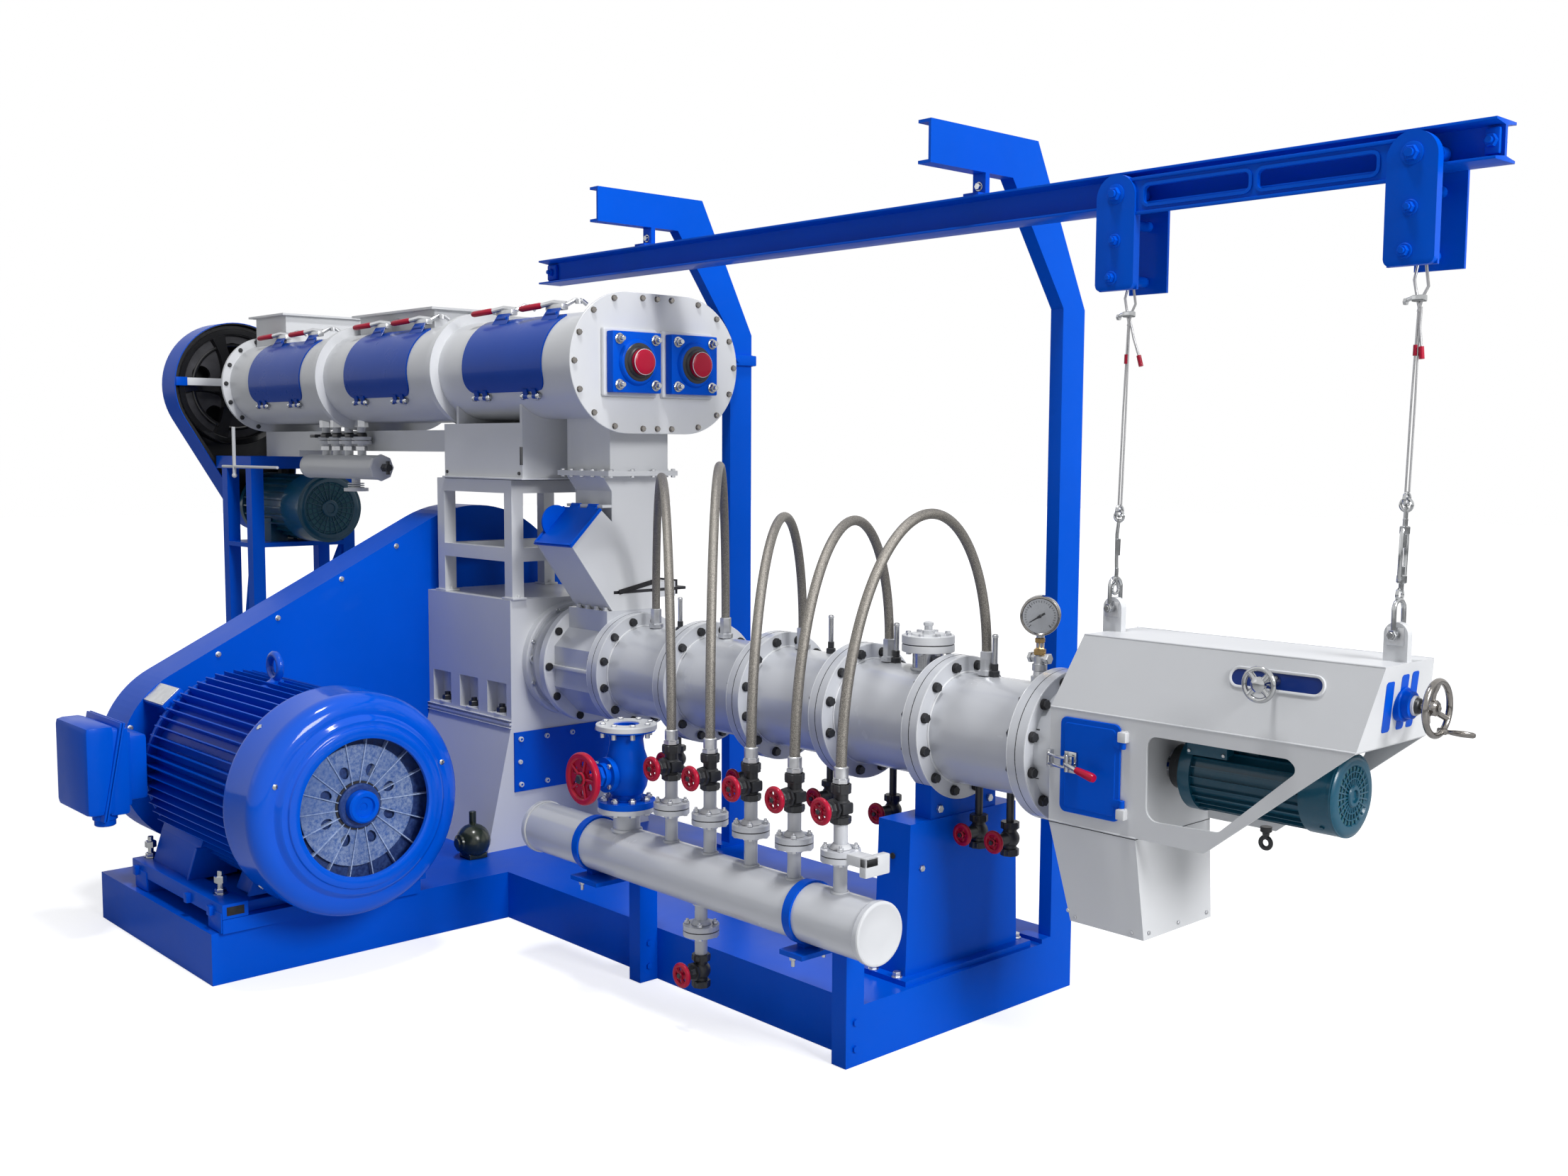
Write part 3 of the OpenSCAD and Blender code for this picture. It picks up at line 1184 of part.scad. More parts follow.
// Columns and arms that carry the overhead rail
column_front = 215;
column_x = [column_front - channel_w, base_front - channel_w];
column_y1 = base_half_w;
bend_z = 1900;
arm_z0 = 2219;
arm_z1 = arm_z0 + channel_d * 1.12;
arm_tip = -216;
bend_y = [101, 203];
web_t = 8;
clamp_t = 3;
module column_shape(t) {
  polygon([[column_y1 - channel_d + t, base_h + deck_t], [column_y1 - t, base_h + deck_t],
    [column_y1 - t, bend_z],
    [bend_y[1] - t, arm_z1 - t], [arm_tip, arm_z1 - t], [arm_tip, arm_z0 + t], [bend_y[0] + t / 2,
      arm_z0 + t],
    [column_y1 - channel_d + t, bend_z - t / 2]]);
}
module rail_columns() color("royalblue") {
  for (x = column_x) {
    difference() {
      along_x(x, x + channel_w) column_shape(0);
      along_x(x - cut, x + channel_w - web_t) column_shape(web_t);
    }
    block([x - channel_w, column_y1 - channel_d * 1.4, base_h], [x + channel_w, column_y1,
      base_h + deck_t]);
    // Hanger of the rail below the arm
    block([x - web_t, -rail_w * 0.4, rail_top_z], [x + channel_w, rail_w * 0.4, rail_top_z + web_t]);
    block([x, -web_t, rail_top_z], [x + channel_w, web_t, arm_z0 + web_t]);
  }
  // Clamp band on the first column
  difference() {
    block([column_x[0] - clamp_t, column_y1 - channel_d, bend_z - channel_d * 1.1],
      [column_x[0] + channel_w + clamp_t, column_y1 + clamp_t, bend_z - channel_d * 0.7]);
    block([column_x[0], column_y1 - channel_d - cut, bend_z - channel_d * 1.2],
      [column_x[0] + channel_w - clamp_t, column_y1 - clamp_t, bend_z - channel_d * 0.6]);
  }
}

rail_x0 = -370;
rail_x1 = 2890;
stop_x1 = 2866;
module overhead_rail() color("royalblue") {
  z0 = rail_top_z - rail_d;
  difference() {
    block([rail_x0, -rail_w / 2, z0], [rail_x1, rail_w / 2, rail_top_z]);
    for (s = [-1, 1]) block([rail_x0 - cut, s * web_t / 2, z0 + web_t], [rail_x1 + cut,
      s * (rail_w / 2 + cut), rail_top_z - web_t]);
  }
  for (x = [rail_x0 + web_t * 3, stop_x1]) for (s = [-1, 1])
    block([x - web_t * 2, s * web_t / 2, z0 - web_t], [x, s * (rail_w / 2 + web_t * 2),
      rail_top_z + web_t]);
}

// Trolley: two pairs of plates, wheels, cross pins and the slotted bar between them
plate_w = 104;
plate_y = 56;
trolley_z0 = 1888;
cross_z = 1916;
cross_r = 12;
wheel2_r = 17;
module trolley() color("royalblue") {
  seat_z = rail_top_z - rail_d + web_t;
  for (x = trolley_x) {
    for (s = [-1, 1]) {
      block([x - plate_w / 2, s * plate_y, trolley_z0], [x + plate_w / 2, s * (plate_y + web_t),
        rail_top_z - plate_w * 0.6]);
      rod_y(s * plate_y, s * (plate_y + web_t), plate_w / 2, x, rail_top_z - plate_w * 0.6);
      for (w = [-0.27, 0.27]) {
        rod_y(s * web_t, s * plate_y, wheel2_r * 0.4, x + plate_w * w, seat_z + wheel2_r + gap);
        rod_y(s * web_t * 1.2, s * rail_w * 0.42, wheel2_r, x + plate_w * w, seat_z + wheel2_r + gap);
      }
    }
    rod_y(-plate_y, plate_y, cross_r, x - web_t, cross_z);
    rod_y(-plate_y, plate_y, cross_r, x, rail_top_z - rail_d - cross_r * 3);
  }
  bar_z = rail_top_z - rail_d * 0.3;
  difference() {
    block([trolley_x[0], -plate_y - 2 * web_t, bar_z - rail_d], [trolley_x[1], -plate_y - web_t, bar_z]);
    for (i = [0, 1]) block([trolley_x[0] + plate_w * (0.7 + i * 2.75), -plate_y, bar_z - rail_d * 0.75],
      [trolley_x[0] + plate_w * (3.25 + i * 2.75), -plate_y - 3 * web_t, bar_z - rail_d * 0.25]);
  }
}

// Cutter housing
cutter_z0 = 638;
fold_z = 912;
cutter_top = 1087;
front_lean = 58;
rear_lean = 33;
bulkhead_x = cutter_x + cutter_len * 0.321;
slant_x = cutter_x + cutter_len * 0.5535;
cutter_x1 = cutter_x + cutter_len;
lug_z = 1143;
lug_r = 26;
lug_t = 10;
shackle_r = 7;
mouth_z = 400;
slide_rod_r = 12;
slide_rod_y = 60;
slide_rod_z = 1000;
adjust_z = 999;
lead_r = 8;
pin_r = 3;
lug_x = [cutter_x + front_lean + lead_r, cutter_x1 + pin_r];
trolley_x = [lug_x[0] + lug_r * 1.19, lug_x[1] + lug_r * 1.04];
die_face = cutter_x + 2 * cutter_t;
die_inner_r = 108;
door_z0 = 667;
door_z1 = 894;
door_end = 206;
door_x1 = cutter_x + door_end;
door_w = 172;
pin_out = 7;
door_pin_x = door_x1 + 2 * pin_r;
door_pin_y = -cutter_half_w - pin_out;
slot_x = [cutter_x + cutter_len * 0.598, cutter_x + cutter_len * 0.877];
slot_z = 1033;
lock_x = cutter_x + cutter_len * 0.7363;
window_share = [[0.352, 0.88], [0.806, 0.876], [0.839, 0.8], [0.597, 0.193], [0.355, 0.168]];
module cutter_form(t) {
  e = t > 0 ? cut : 0;
  intersection() {
    along_y(-cutter_half_w, cutter_half_w) polygon([[cutter_x + t, cutter_z0 - e], [cutter_x + t, fold_z],
      [cutter_x + front_lean + t, cutter_top - t], [cutter_x1 + rear_lean - t, cutter_top - t],
      [cutter_x1 - t, fold_z + t], [cutter_x1 - t, fold_z - 3 * t], [slant_x + 3 * t, cutter_z0 - e]]);
    along_x(cutter_x, cutter_x1 + rear_lean) polygon([[-cutter_half_w + t, cutter_z0 - e],
      [cutter_half_w - t, cutter_z0 - e],
      [cutter_half_w - t, fold_z], [cutter_top_w - t, cutter_top - t], [-cutter_top_w + t, cutter_top - t],
      [-cutter_half_w + t, fold_z]]);
  }
}
// The discharge spout below the cutting chamber
spout_lean = 60;
spout_w = 140;
module spout_form(t) {
  e = t > 0 ? cut : 0;
  intersection() {
    along_y(-cutter_half_w, cutter_half_w) polygon([[cutter_x + t, cutter_z0 + e], [bulkhead_x - t,
      cutter_z0 + e],
      [bulkhead_x + spout_lean / 3 - t, mouth_z - e], [cutter_x + spout_lean + t, mouth_z - e]]);
    along_x(cutter_x, bulkhead_x + spout_lean) polygon([[-cutter_half_w + t, cutter_z0 + e],
      [cutter_half_w - t, cutter_z0 + e],
      [spout_w - t, mouth_z - e], [-spout_w + t, mouth_z - e]]);
  }
}
module cutter_housing() color("whitesmoke") {
  difference() {
    union() {
      difference() {
        cutter_form(0);
        cutter_form(cutter_t);
      }
      difference() {
        spout_form(0);
        spout_form(cutter_t);
      }
      // Bulkhead behind the cutting chamber
      intersection() {
        cutter_form(0);
        block([bulkhead_x - cutter_t, -cutter_half_w, cutter_z0], [bulkhead_x, cutter_half_w, cutter_top]);
      }
      // Boss of the adjusting screw, guide rods and lifting lugs
      rod_x(cutter_x1, cutter_x1 + rear_lean * 1.5, lead_r * 2.6, 0, adjust_z);
      for (s = [-1, 1]) rod_x(bulkhead_x - cutter_t, cutter_x1 + rear_lean / 3, slide_rod_r,
        s * slide_rod_y, slide_rod_z);
      for (x = lug_x) {
        rod_y(-lug_t, lug_t, lug_r, x, lug_z);
        block([x - lug_r, -lug_t, cutter_top - cutter_t / 2], [x + lug_r, lug_t, lug_z]);
      }
      // Hinge knuckles of the side door
      for (z = [door_z0 + pin_r * 4, door_z1 - pin_r * 12]) {
        rod_z(z, z + pin_r * 8, pin_r * 2, door_pin_x, door_pin_y);
        block([door_pin_x, door_pin_y, z], [door_pin_x + pin_r * 3, -cutter_half_w, z + pin_r * 8]);
      }
    }
    // Hole for the die, shaft hole, screw bore, pin bores and lug holes
    rod_x(cutter_x - cut, cutter_x + cutter_t + cut, die_inner_r + gap, 0, axis_z);
    rod_x(bulkhead_x - cutter_t - cut, bulkhead_x + cut, knife_rod_r * 2, 0, axis_z);
    rod_x(cutter_x1 - cutter_t - cut, cutter_x1 + rear_lean * 2, lead_r + fit, 0, adjust_z);
    for (x = lug_x) rod_y(-lug_t - cut, lug_t + cut, shackle_r + gap, x, lug_z);
    rod_z(door_z0, door_z1, pin_r + fit, door_pin_x, door_pin_y);
    // Door opening, windows on both sides and the slot of the clamp screw
    block([door_x1 - door_w + cutter_t * 2, -cutter_half_w - cut, door_z0 + cutter_t * 2],
      [door_x1 - cutter_t * 2, -cutter_half_w + cutter_t + cut, door_z1 - cutter_t * 2]);
    along_y(-cutter_half_w - cut, cutter_half_w + cut) polygon([for (p = window_share)
      [cutter_x + cutter_len * p.x, cutter_z0 + (fold_z - cutter_z0) * p.y]]);
    block([slot_x[0], -cutter_half_w, slot_z - lead_r], [slot_x[1], -cutter_top_w * 0.75,
      slot_z + lead_r]);
  }
}
module cutter_door() color("royalblue") {
  y0 = -cutter_half_w - gap;
  block([door_x1 - door_w, y0 - cutter_t * 0.7, door_z0], [door_x1 - pin_r, y0, door_z1]);
  block([door_x1 - door_w + cutter_t * 2, y0 - cutter_t, door_z0 + cutter_t * 3],
    [door_x1 - cutter_t * 2, y0, door_z1 - cutter_t * 3]);
  rod_z(door_z0 + pin_r * 12 + gap, door_z1 - pin_r * 12 - gap, pin_r * 2, door_pin_x, door_pin_y);
  block([door_x1 - pin_r * 2, y0 - cutter_t * 0.7, door_z0 + pin_r * 12 + gap], [door_pin_x,
    y0 - cutter_t * 0.3,
    door_z1 - pin_r * 12 - gap]);
  // Toggle latch with its handle
  block([door_x1 - door_w * 0.74, y0 - cutter_t * 3, (door_z0 + door_z1) / 2 - lug_r / 2],
    [door_x1 - door_w * 0.55, y0, (door_z0 + door_z1) / 2 + lug_r / 2]);
  rod_z(door_z0 + pin_r * 2, door_z1 - pin_r * 2, pin_r, door_pin_x, door_pin_y);
}

// Sliding motor of the knives
knife_rod_r = 18;
cm_x0 = cutter_x + cutter_len * 0.4047;
cm_len = 371;
slide_z = 950;
slide_t = 12;
slide_x0 = cm_x0 + slide_t * 2;
slide_len = 260;
bearing_len = 60;
module cutter_motor() color("teal") {
  difference() {
    union() {
      rod_x(cm_x0, cm_x0 + cm_len, cutter_motor_r, 0, axis_z);
      rod_x(cm_x0, cm_x0 + cm_len * 0.08, cutter_motor_r * 1.14, 0, axis_z);
      rod_x(cm_x0 + cm_len * 0.8, cm_x0 + cm_len, cutter_motor_r * 1.14, 0, axis_z);
      along_x(cm_x0, cm_x0 + cm_len * 0.8) translate([0, axis_z]) for (i = [0:23])
        rotate(15 * i) translate([cutter_motor_r * 0.8, -slide_t / 12]) square([cutter_motor_r * 0.3,
          slide_t / 6]);
      // Feet, slide plate and bearing blocks
      for (s = [-1, 1]) block([slide_x0, s * cutter_motor_r * 0.4, axis_z + cutter_motor_r * 0.6],
        [slide_x0 + slide_len * 0.6, s * cutter_motor_r * 0.65, slide_z]);
      block([slide_x0, -cutter_motor_r * 1.2, slide_z], [slide_x0 + slide_len, cutter_motor_r * 1.2,
        slide_z + slide_t]);
      for (s = [-1, 1], x = [slide_x0, slide_x0 + slide_len - bearing_len])
        block([x, s * (slide_rod_y - slide_rod_r * 2), slide_z], [x + bearing_len,
          s * (slide_rod_y + slide_rod_r * 2), slot_z + slide_t]);
      block([slide_x0 + slide_len - bearing_len, -lead_r * 2, slide_z], [slide_x0 + slide_len,
        lead_r * 2, adjust_z + lead_r * 2]);
    }
    for (s = [-1, 1]) rod_x(slide_x0 - cut, slide_x0 + slide_len + cut, slide_rod_r + fit,
      s * slide_rod_y, slide_rod_z);
    rod_x(slide_x0 - cut, slide_x0 + slide_len + cut, lead_r + fit, 0, adjust_z);
    rod_x(cm_x0 - cut, cm_x0 + cm_len * 0.3, knife_rod_r + fit, 0, axis_z);
    rod_y(-slide_rod_y - slide_rod_r * 2 - cut, -slide_rod_y, stem_r + fit, lock_x, slot_z);
  }
}
knife_n = 6;
knife_r = 100;
knife_t = 4;
module knife_head() color("silver") {
  x0 = die_face + gap * 2;
  rod_x(x0, x0 + knife_rod_r * 2, knife_rod_r * 1.8, 0, axis_z);
  ring_x(knife_n, 0, axis_z) block([x0, -knife_rod_r * 0.8, 0], [x0 + knife_t, knife_rod_r * 0.2,
    knife_r]);
  rod_x(x0, cm_x0 + cm_len * 0.28, knife_rod_r, 0, axis_z);
  rod_x(bulkhead_x + cutter_t, cm_x0 - cutter_t, knife_rod_r * 2, 0, axis_z);
}

wheel3_r = 62;
wheel3_x = cutter_x1 + wheel3_r * 1.484;
module handwheel(r, rr, hub, depth) {
  torus(r, rr);
  for (a = [30, 150, 270]) rotate([0, 90, a]) cylinder(h = r, r = rr * 0.8, $fn = 16);
  translate([0, 0, -depth / 2]) cylinder(h = depth, r = hub);
}
module adjust_handwheel() color("silver") {
  translate([wheel3_x, 0, adjust_z]) rotate([0, 90, 0]) handwheel(wheel3_r, lead_r * 0.75, lead_r * 2,
    lead_r * 3);
  rod_x(slide_x0 + slide_len - bearing_len * 1.4, wheel3_x, lead_r, 0, adjust_z);
  rod_x(wheel3_x, wheel3_x + wheel3_r, lead_r * 0.9, -wheel3_r * 0.8, adjust_z + wheel3_r * 0.6);
}
module lock_handwheel() color("silver") {
  y = -cutter_half_w - lug_r - lead_r;
  translate([lock_x, y, slot_z]) rotate([90, 0, 0]) handwheel(wheel3_r * 0.6, lead_r * 0.6, lead_r * 1.4,
    lead_r * 3);
  rod_y(y, -slide_rod_y - slide_rod_r, stem_r, lock_x, slot_z);
}

// Slings with their shackles and turnbuckles
sling_r = 6;
module cutter_slings() color("dimgray") {
  for (i = [0, 1]) {
    top = [trolley_x[i] - web_t, 0, cross_z];
    low = [lug_x[i], 0, lug_z];
    d = unit(low - top);
    a = top + d * (cross_r + sling_r + gap);
    b = low - d * (lug_r + 10 * sling_r);
    translate(top) rotate([90, 0, 0]) torus(cross_r + sling_r + gap, sling_r);
    bar(a, b, sling_r);
    translate(b) sphere(r = sling_r * 1.5);
    bar(b - d * 20 * sling_r, b - d * 2 * sling_r, sling_r * 2);
    // Shackle round the lug
    rod_y(-lug_t - 4 * sling_r, lug_t + 4 * sling_r, shackle_r, low.x, low.z);
    for (s = [-1, 1]) bar(low + [0, s * (lug_t + sling_r * 3), 0], b, sling_r);
  }
}

module angle_valve_wheel() color("red") {
  valve_wheel(inlet_x, inlet_zc, -header_y - inlet_r * 1.94, -header_y - inlet_r * 0.5, inlet_r * 0.9,
    rim_r * 1.2,
    stem_r * 2);
}
module branch_wheel(i) { valve_wheel(branch_at(i), valve_z, wheel_y, -header_y - valve_r * 0.7, wheel_r,
  rim_r, stem_r); }
module valve_wheel_1() color("red") branch_wheel(0);
module valve_wheel_2() color("red") branch_wheel(1);
module valve_wheel_3() color("red") branch_wheel(2);
module valve_wheel_4() color("red") branch_wheel(3);
module valve_wheel_5() color("red") branch_wheel(4);
module drain_wheel() color("red") valve_wheel(drain_x, drain_valve_z, wheel_y, -header_y - valve_r * 0.7,
  wheel_r, rim_r, stem_r);

base_frame();
motor_rails();
motor_housing();
motor_fan_cover();
motor_terminal_box();
belt_guard();
drive_belts();
gearbox_housing();
gearbox_cover_plate();
conditioner_supports();
feed_barrel();
barrel_sections();
barrel_bolts();
die_plate();
pedestal();
barrel_fittings();
steam_header();
header_supports();
valve_bodies();
angle_valve();
steam_hoses();
rear_stand();
conditioner_shell();
conditioner_end_plate();
conditioner_bearings();
inlet_hopper();
conditioner_guard();
conditioner_motor();
conditioner_manifold();
feed_chute();
rail_columns();
overhead_rail();
motor_rotor();
gearbox_sheave();
screw_left();
screw_right();
paddle_shaft_left();
paddle_shaft_right();
conditioner_rotor();
conditioner_belts();
access_door_1();
access_door_2();
access_door_3();
bypass_lid();
slide_gate();
trolley();
cutter_slings();
cutter_housing();
cutter_door();
cutter_motor();
knife_head();
adjust_handwheel();
lock_handwheel();
angle_valve_wheel();
valve_wheel_1();
valve_wheel_2();
valve_wheel_3();
valve_wheel_4();
valve_wheel_5();
drain_wheel();
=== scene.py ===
"""Looks of the fish feed extruder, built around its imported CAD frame. Lengths are in metres."""

import json
from math import acos, atan2, cos, degrees, hypot, pi, radians, sin, sqrt, tan

import bmesh
import bpy
from mathutils import Matrix, Vector


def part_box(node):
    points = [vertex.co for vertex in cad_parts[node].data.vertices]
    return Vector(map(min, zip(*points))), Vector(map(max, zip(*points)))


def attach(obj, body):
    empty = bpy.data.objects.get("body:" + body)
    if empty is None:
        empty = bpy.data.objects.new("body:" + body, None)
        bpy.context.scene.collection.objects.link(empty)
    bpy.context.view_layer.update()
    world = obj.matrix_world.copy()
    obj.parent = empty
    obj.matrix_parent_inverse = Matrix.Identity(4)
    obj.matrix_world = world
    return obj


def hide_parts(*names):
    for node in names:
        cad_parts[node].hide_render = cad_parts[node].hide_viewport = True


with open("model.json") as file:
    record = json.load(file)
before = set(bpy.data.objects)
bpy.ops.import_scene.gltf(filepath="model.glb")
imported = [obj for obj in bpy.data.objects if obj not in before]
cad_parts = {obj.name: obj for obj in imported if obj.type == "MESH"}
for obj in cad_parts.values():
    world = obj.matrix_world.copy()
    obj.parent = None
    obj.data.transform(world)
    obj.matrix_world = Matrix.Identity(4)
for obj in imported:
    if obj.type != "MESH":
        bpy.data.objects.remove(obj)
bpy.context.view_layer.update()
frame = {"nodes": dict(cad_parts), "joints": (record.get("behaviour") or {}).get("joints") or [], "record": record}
nodes = frame["nodes"]
bpy.context.scene.view_settings.view_transform = "Standard"

X, Y, Z = Vector((1, 0, 0)), Vector((0, 1, 0)), Vector((0, 0, 1))
MM = 0.001

# Camera of the photograph, whose frame is 2212 by 1659 pixels
image_w = 2212
focal_px = 2182.96
camera_at = Vector((4.1922, -3.0932, 1.520))
camera_azimuth = radians(47.308)
camera_pitch = radians(5.157)
camera_roll = radians(0.295)
sensor_w = 36.0


def make_camera():
    back = Vector((
        sin(camera_azimuth) * cos(camera_pitch),
        -cos(camera_azimuth) * cos(camera_pitch),
        sin(camera_pitch),
    ))
    level = Vector((cos(camera_azimuth), sin(camera_azimuth), 0))
    above = back.cross(level)
    right = cos(camera_roll) * level + sin(camera_roll) * above
    up = cos(camera_roll) * above - sin(camera_roll) * level
    data = bpy.data.cameras.new("camera")
    data.sensor_width = sensor_w
    data.lens = focal_px / image_w * sensor_w
    data.clip_end = 60
    camera = bpy.data.objects.new("camera", data)
    turn = Matrix((right, up, back)).transposed().to_4x4()
    camera.matrix_world = Matrix.Translation(camera_at) @ turn
    bpy.context.scene.collection.objects.link(camera)
    bpy.context.scene.camera = camera


make_camera()


# Materials


class Shader:
    """A node material with a Principled shader and short calls for the nodes used here."""

    def __init__(self, name):
        self.mat = bpy.data.materials.new(name)
        self.mat.use_nodes = True
        self.tree = self.mat.node_tree
        self.bsdf = self.tree.nodes["Principled BSDF"]
        self.coords = self.tree.nodes.new("ShaderNodeTexCoord").outputs["Object"]

    def new(self, kind, **values):
        node = self.tree.nodes.new(kind)
        for key, value in values.items():
            setattr(node, key, value)
        return node

    def link(self, a, b):
        self.tree.links.new(a, b)

    def noise(self, scale, detail=3.0, rough=0.55, stretch=None):
        node = self.new("ShaderNodeTexNoise")
        node.inputs["Scale"].default_value = scale
        node.inputs["Detail"].default_value = detail
        node.inputs["Roughness"].default_value = rough
        self.link(self.stretched(stretch), node.inputs["Vector"])
        return node.outputs["Fac"]

    def stretched(self, stretch):
        if stretch is None:
            return self.coords
        node = self.new("ShaderNodeMapping")
        node.inputs["Scale"].default_value = stretch
        self.link(self.coords, node.inputs["Vector"])
        return node.outputs["Vector"]

    def ramp(self, fac, stops):
        node = self.new("ShaderNodeValToRGB")
        elements = node.color_ramp.elements
        while len(elements) < len(stops):
            elements.new(0.5)
        for element, (place, colour) in zip(elements, stops):
            element.position = place
            element.color = (*colour, 1)
        self.link(fac, node.inputs["Fac"])
        return node.outputs["Color"]

    def span(self, fac, lo, hi, start=0.0, stop=1.0):
        node = self.new("ShaderNodeMapRange")
        for key, value in (("From Min", start), ("From Max", stop), ("To Min", lo), ("To Max", hi)):
            node.inputs[key].default_value = value
        self.link(fac, node.inputs["Value"])
        return node.outputs["Result"]

    def mixed(self, fac, a, b):
        node = self.new("ShaderNodeMix", data_type="RGBA")
        self.link(fac, node.inputs[0])
        for socket, value in ((node.inputs[6], a), (node.inputs[7], b)):
            if isinstance(value, tuple):
                socket.default_value = (*value, 1)
            else:
                self.link(value, socket)
        return node.outputs[2]

    def bump(self, height, strength, distance):
        node = self.new("ShaderNodeBump")
        node.inputs["Strength"].default_value = strength
        node.inputs["Distance"].default_value = distance
        self.link(height, node.inputs["Height"])
        self.link(node.outputs["Normal"], self.bsdf.inputs["Normal"])

    def put(self, **values):
        for key, value in values.items():
            self.bsdf.inputs[key.replace("_", " ")].default_value = value


def shade(colour, share):
    return tuple(min(1, c * share) for c in colour)


def paint(name, colour, rough=0.3, coat=0.15, vary=0.06, peel=0.12, dust=0.03, gloss=0.3):
    """Sprayed paint: slow drifts of tone, faint dust, orange peel and a clear gloss."""
    s = Shader(name)
    drift = s.noise(2.2, 4)
    tone = s.ramp(drift, [(0.3, shade(colour, 1 - vary)), (0.7, shade(colour, 1 + vary))])
    specks = s.span(s.noise(34, 6, 0.7), 0, dust, 0.5, 0.8)
    s.link(s.mixed(specks, tone, (0.55, 0.53, 0.5)), s.bsdf.inputs["Base Color"])
    s.link(s.span(s.noise(9, 3), rough * 0.8, rough * 1.3), s.bsdf.inputs["Roughness"])
    s.bump(s.noise(420, 2), peel, 0.4 * MM)
    s.put(Coat_Weight=coat, Coat_Roughness=0.08, Specular_IOR_Level=gloss)
    return s.mat


def metal(name, colour, rough, scratch, vary=0.12):
    """Machined or polished steel with fine marks, along one direction where scratch is a tuple."""
    s = Shader(name)
    marks = s.noise(1.0, 4, 0.6, scratch if isinstance(scratch, tuple) else (scratch,) * 3)
    s.link(s.ramp(marks, [(0.25, shade(colour, 1 - vary)), (0.75, shade(colour, 1 + vary))]),
        s.bsdf.inputs["Base Color"])
    s.link(s.span(marks, rough * 0.6, rough * 1.5), s.bsdf.inputs["Roughness"])
    s.bump(marks, 0.05, 0.2 * MM)
    s.put(Metallic=1.0)
    return s.mat


def cast(name, colour, rough=0.6, grain=0.5, metallic=0.0):
    """Rough cast or moulded surface."""
    s = Shader(name)
    s.link(s.ramp(s.noise(14, 5), [(0.3, shade(colour, 0.75)), (0.7, shade(colour, 1.3))]),
        s.bsdf.inputs["Base Color"])
    s.link(s.span(s.noise(60, 3), rough * 0.8, min(1, rough * 1.2)), s.bsdf.inputs["Roughness"])
    s.bump(s.noise(260, 4, 0.7), grain, 0.6 * MM)
    s.put(Metallic=metallic)
    return s.mat


def woven(name, colour):
    """Fine steel wires woven round a hose, seen as small cells whose edges are darkened as painted shade between
    the wires.
    """
    s = Shader(name)
    weave = s.new("ShaderNodeTexVoronoi", feature="DISTANCE_TO_EDGE")
    weave.inputs["Scale"].default_value = 420
    s.link(s.coords, weave.inputs["Vector"])
    fac = weave.outputs["Distance"]
    # Cell edges darken to 0.35 of the wire colour: painted shade in the crevices between the wires
    s.link(s.ramp(fac, [(0.0, shade(colour, 0.35)), (0.35, shade(colour, 1.15))]),
        s.bsdf.inputs["Base Color"])
    s.link(s.span(fac, 0.55, 0.3), s.bsdf.inputs["Roughness"])
    s.bump(fac, 0.8, 0.8 * MM)
    s.put(Metallic=0.9)
    return s.mat


def dusty(name, under, over, level=0.55):
    """Blue metal under speckled pale dust."""
    s = Shader(name)
    layer = s.span(s.noise(95, 8, 0.8), 0, 1, level - 0.1, level + 0.08)
    drift = s.span(s.noise(7, 3), 0.5, 1.0, 0.35, 0.65)
    amount = s.new("ShaderNodeMath", operation="MULTIPLY")
    s.link(layer, amount.inputs[0])
    s.link(drift, amount.inputs[1])
    s.link(s.mixed(amount.outputs[0], under, over), s.bsdf.inputs["Base Color"])
    s.link(s.span(layer, 0.45, 0.95), s.bsdf.inputs["Roughness"])
    s.bump(s.noise(300, 5, 0.7), 0.4, 0.5 * MM)
    return s.mat


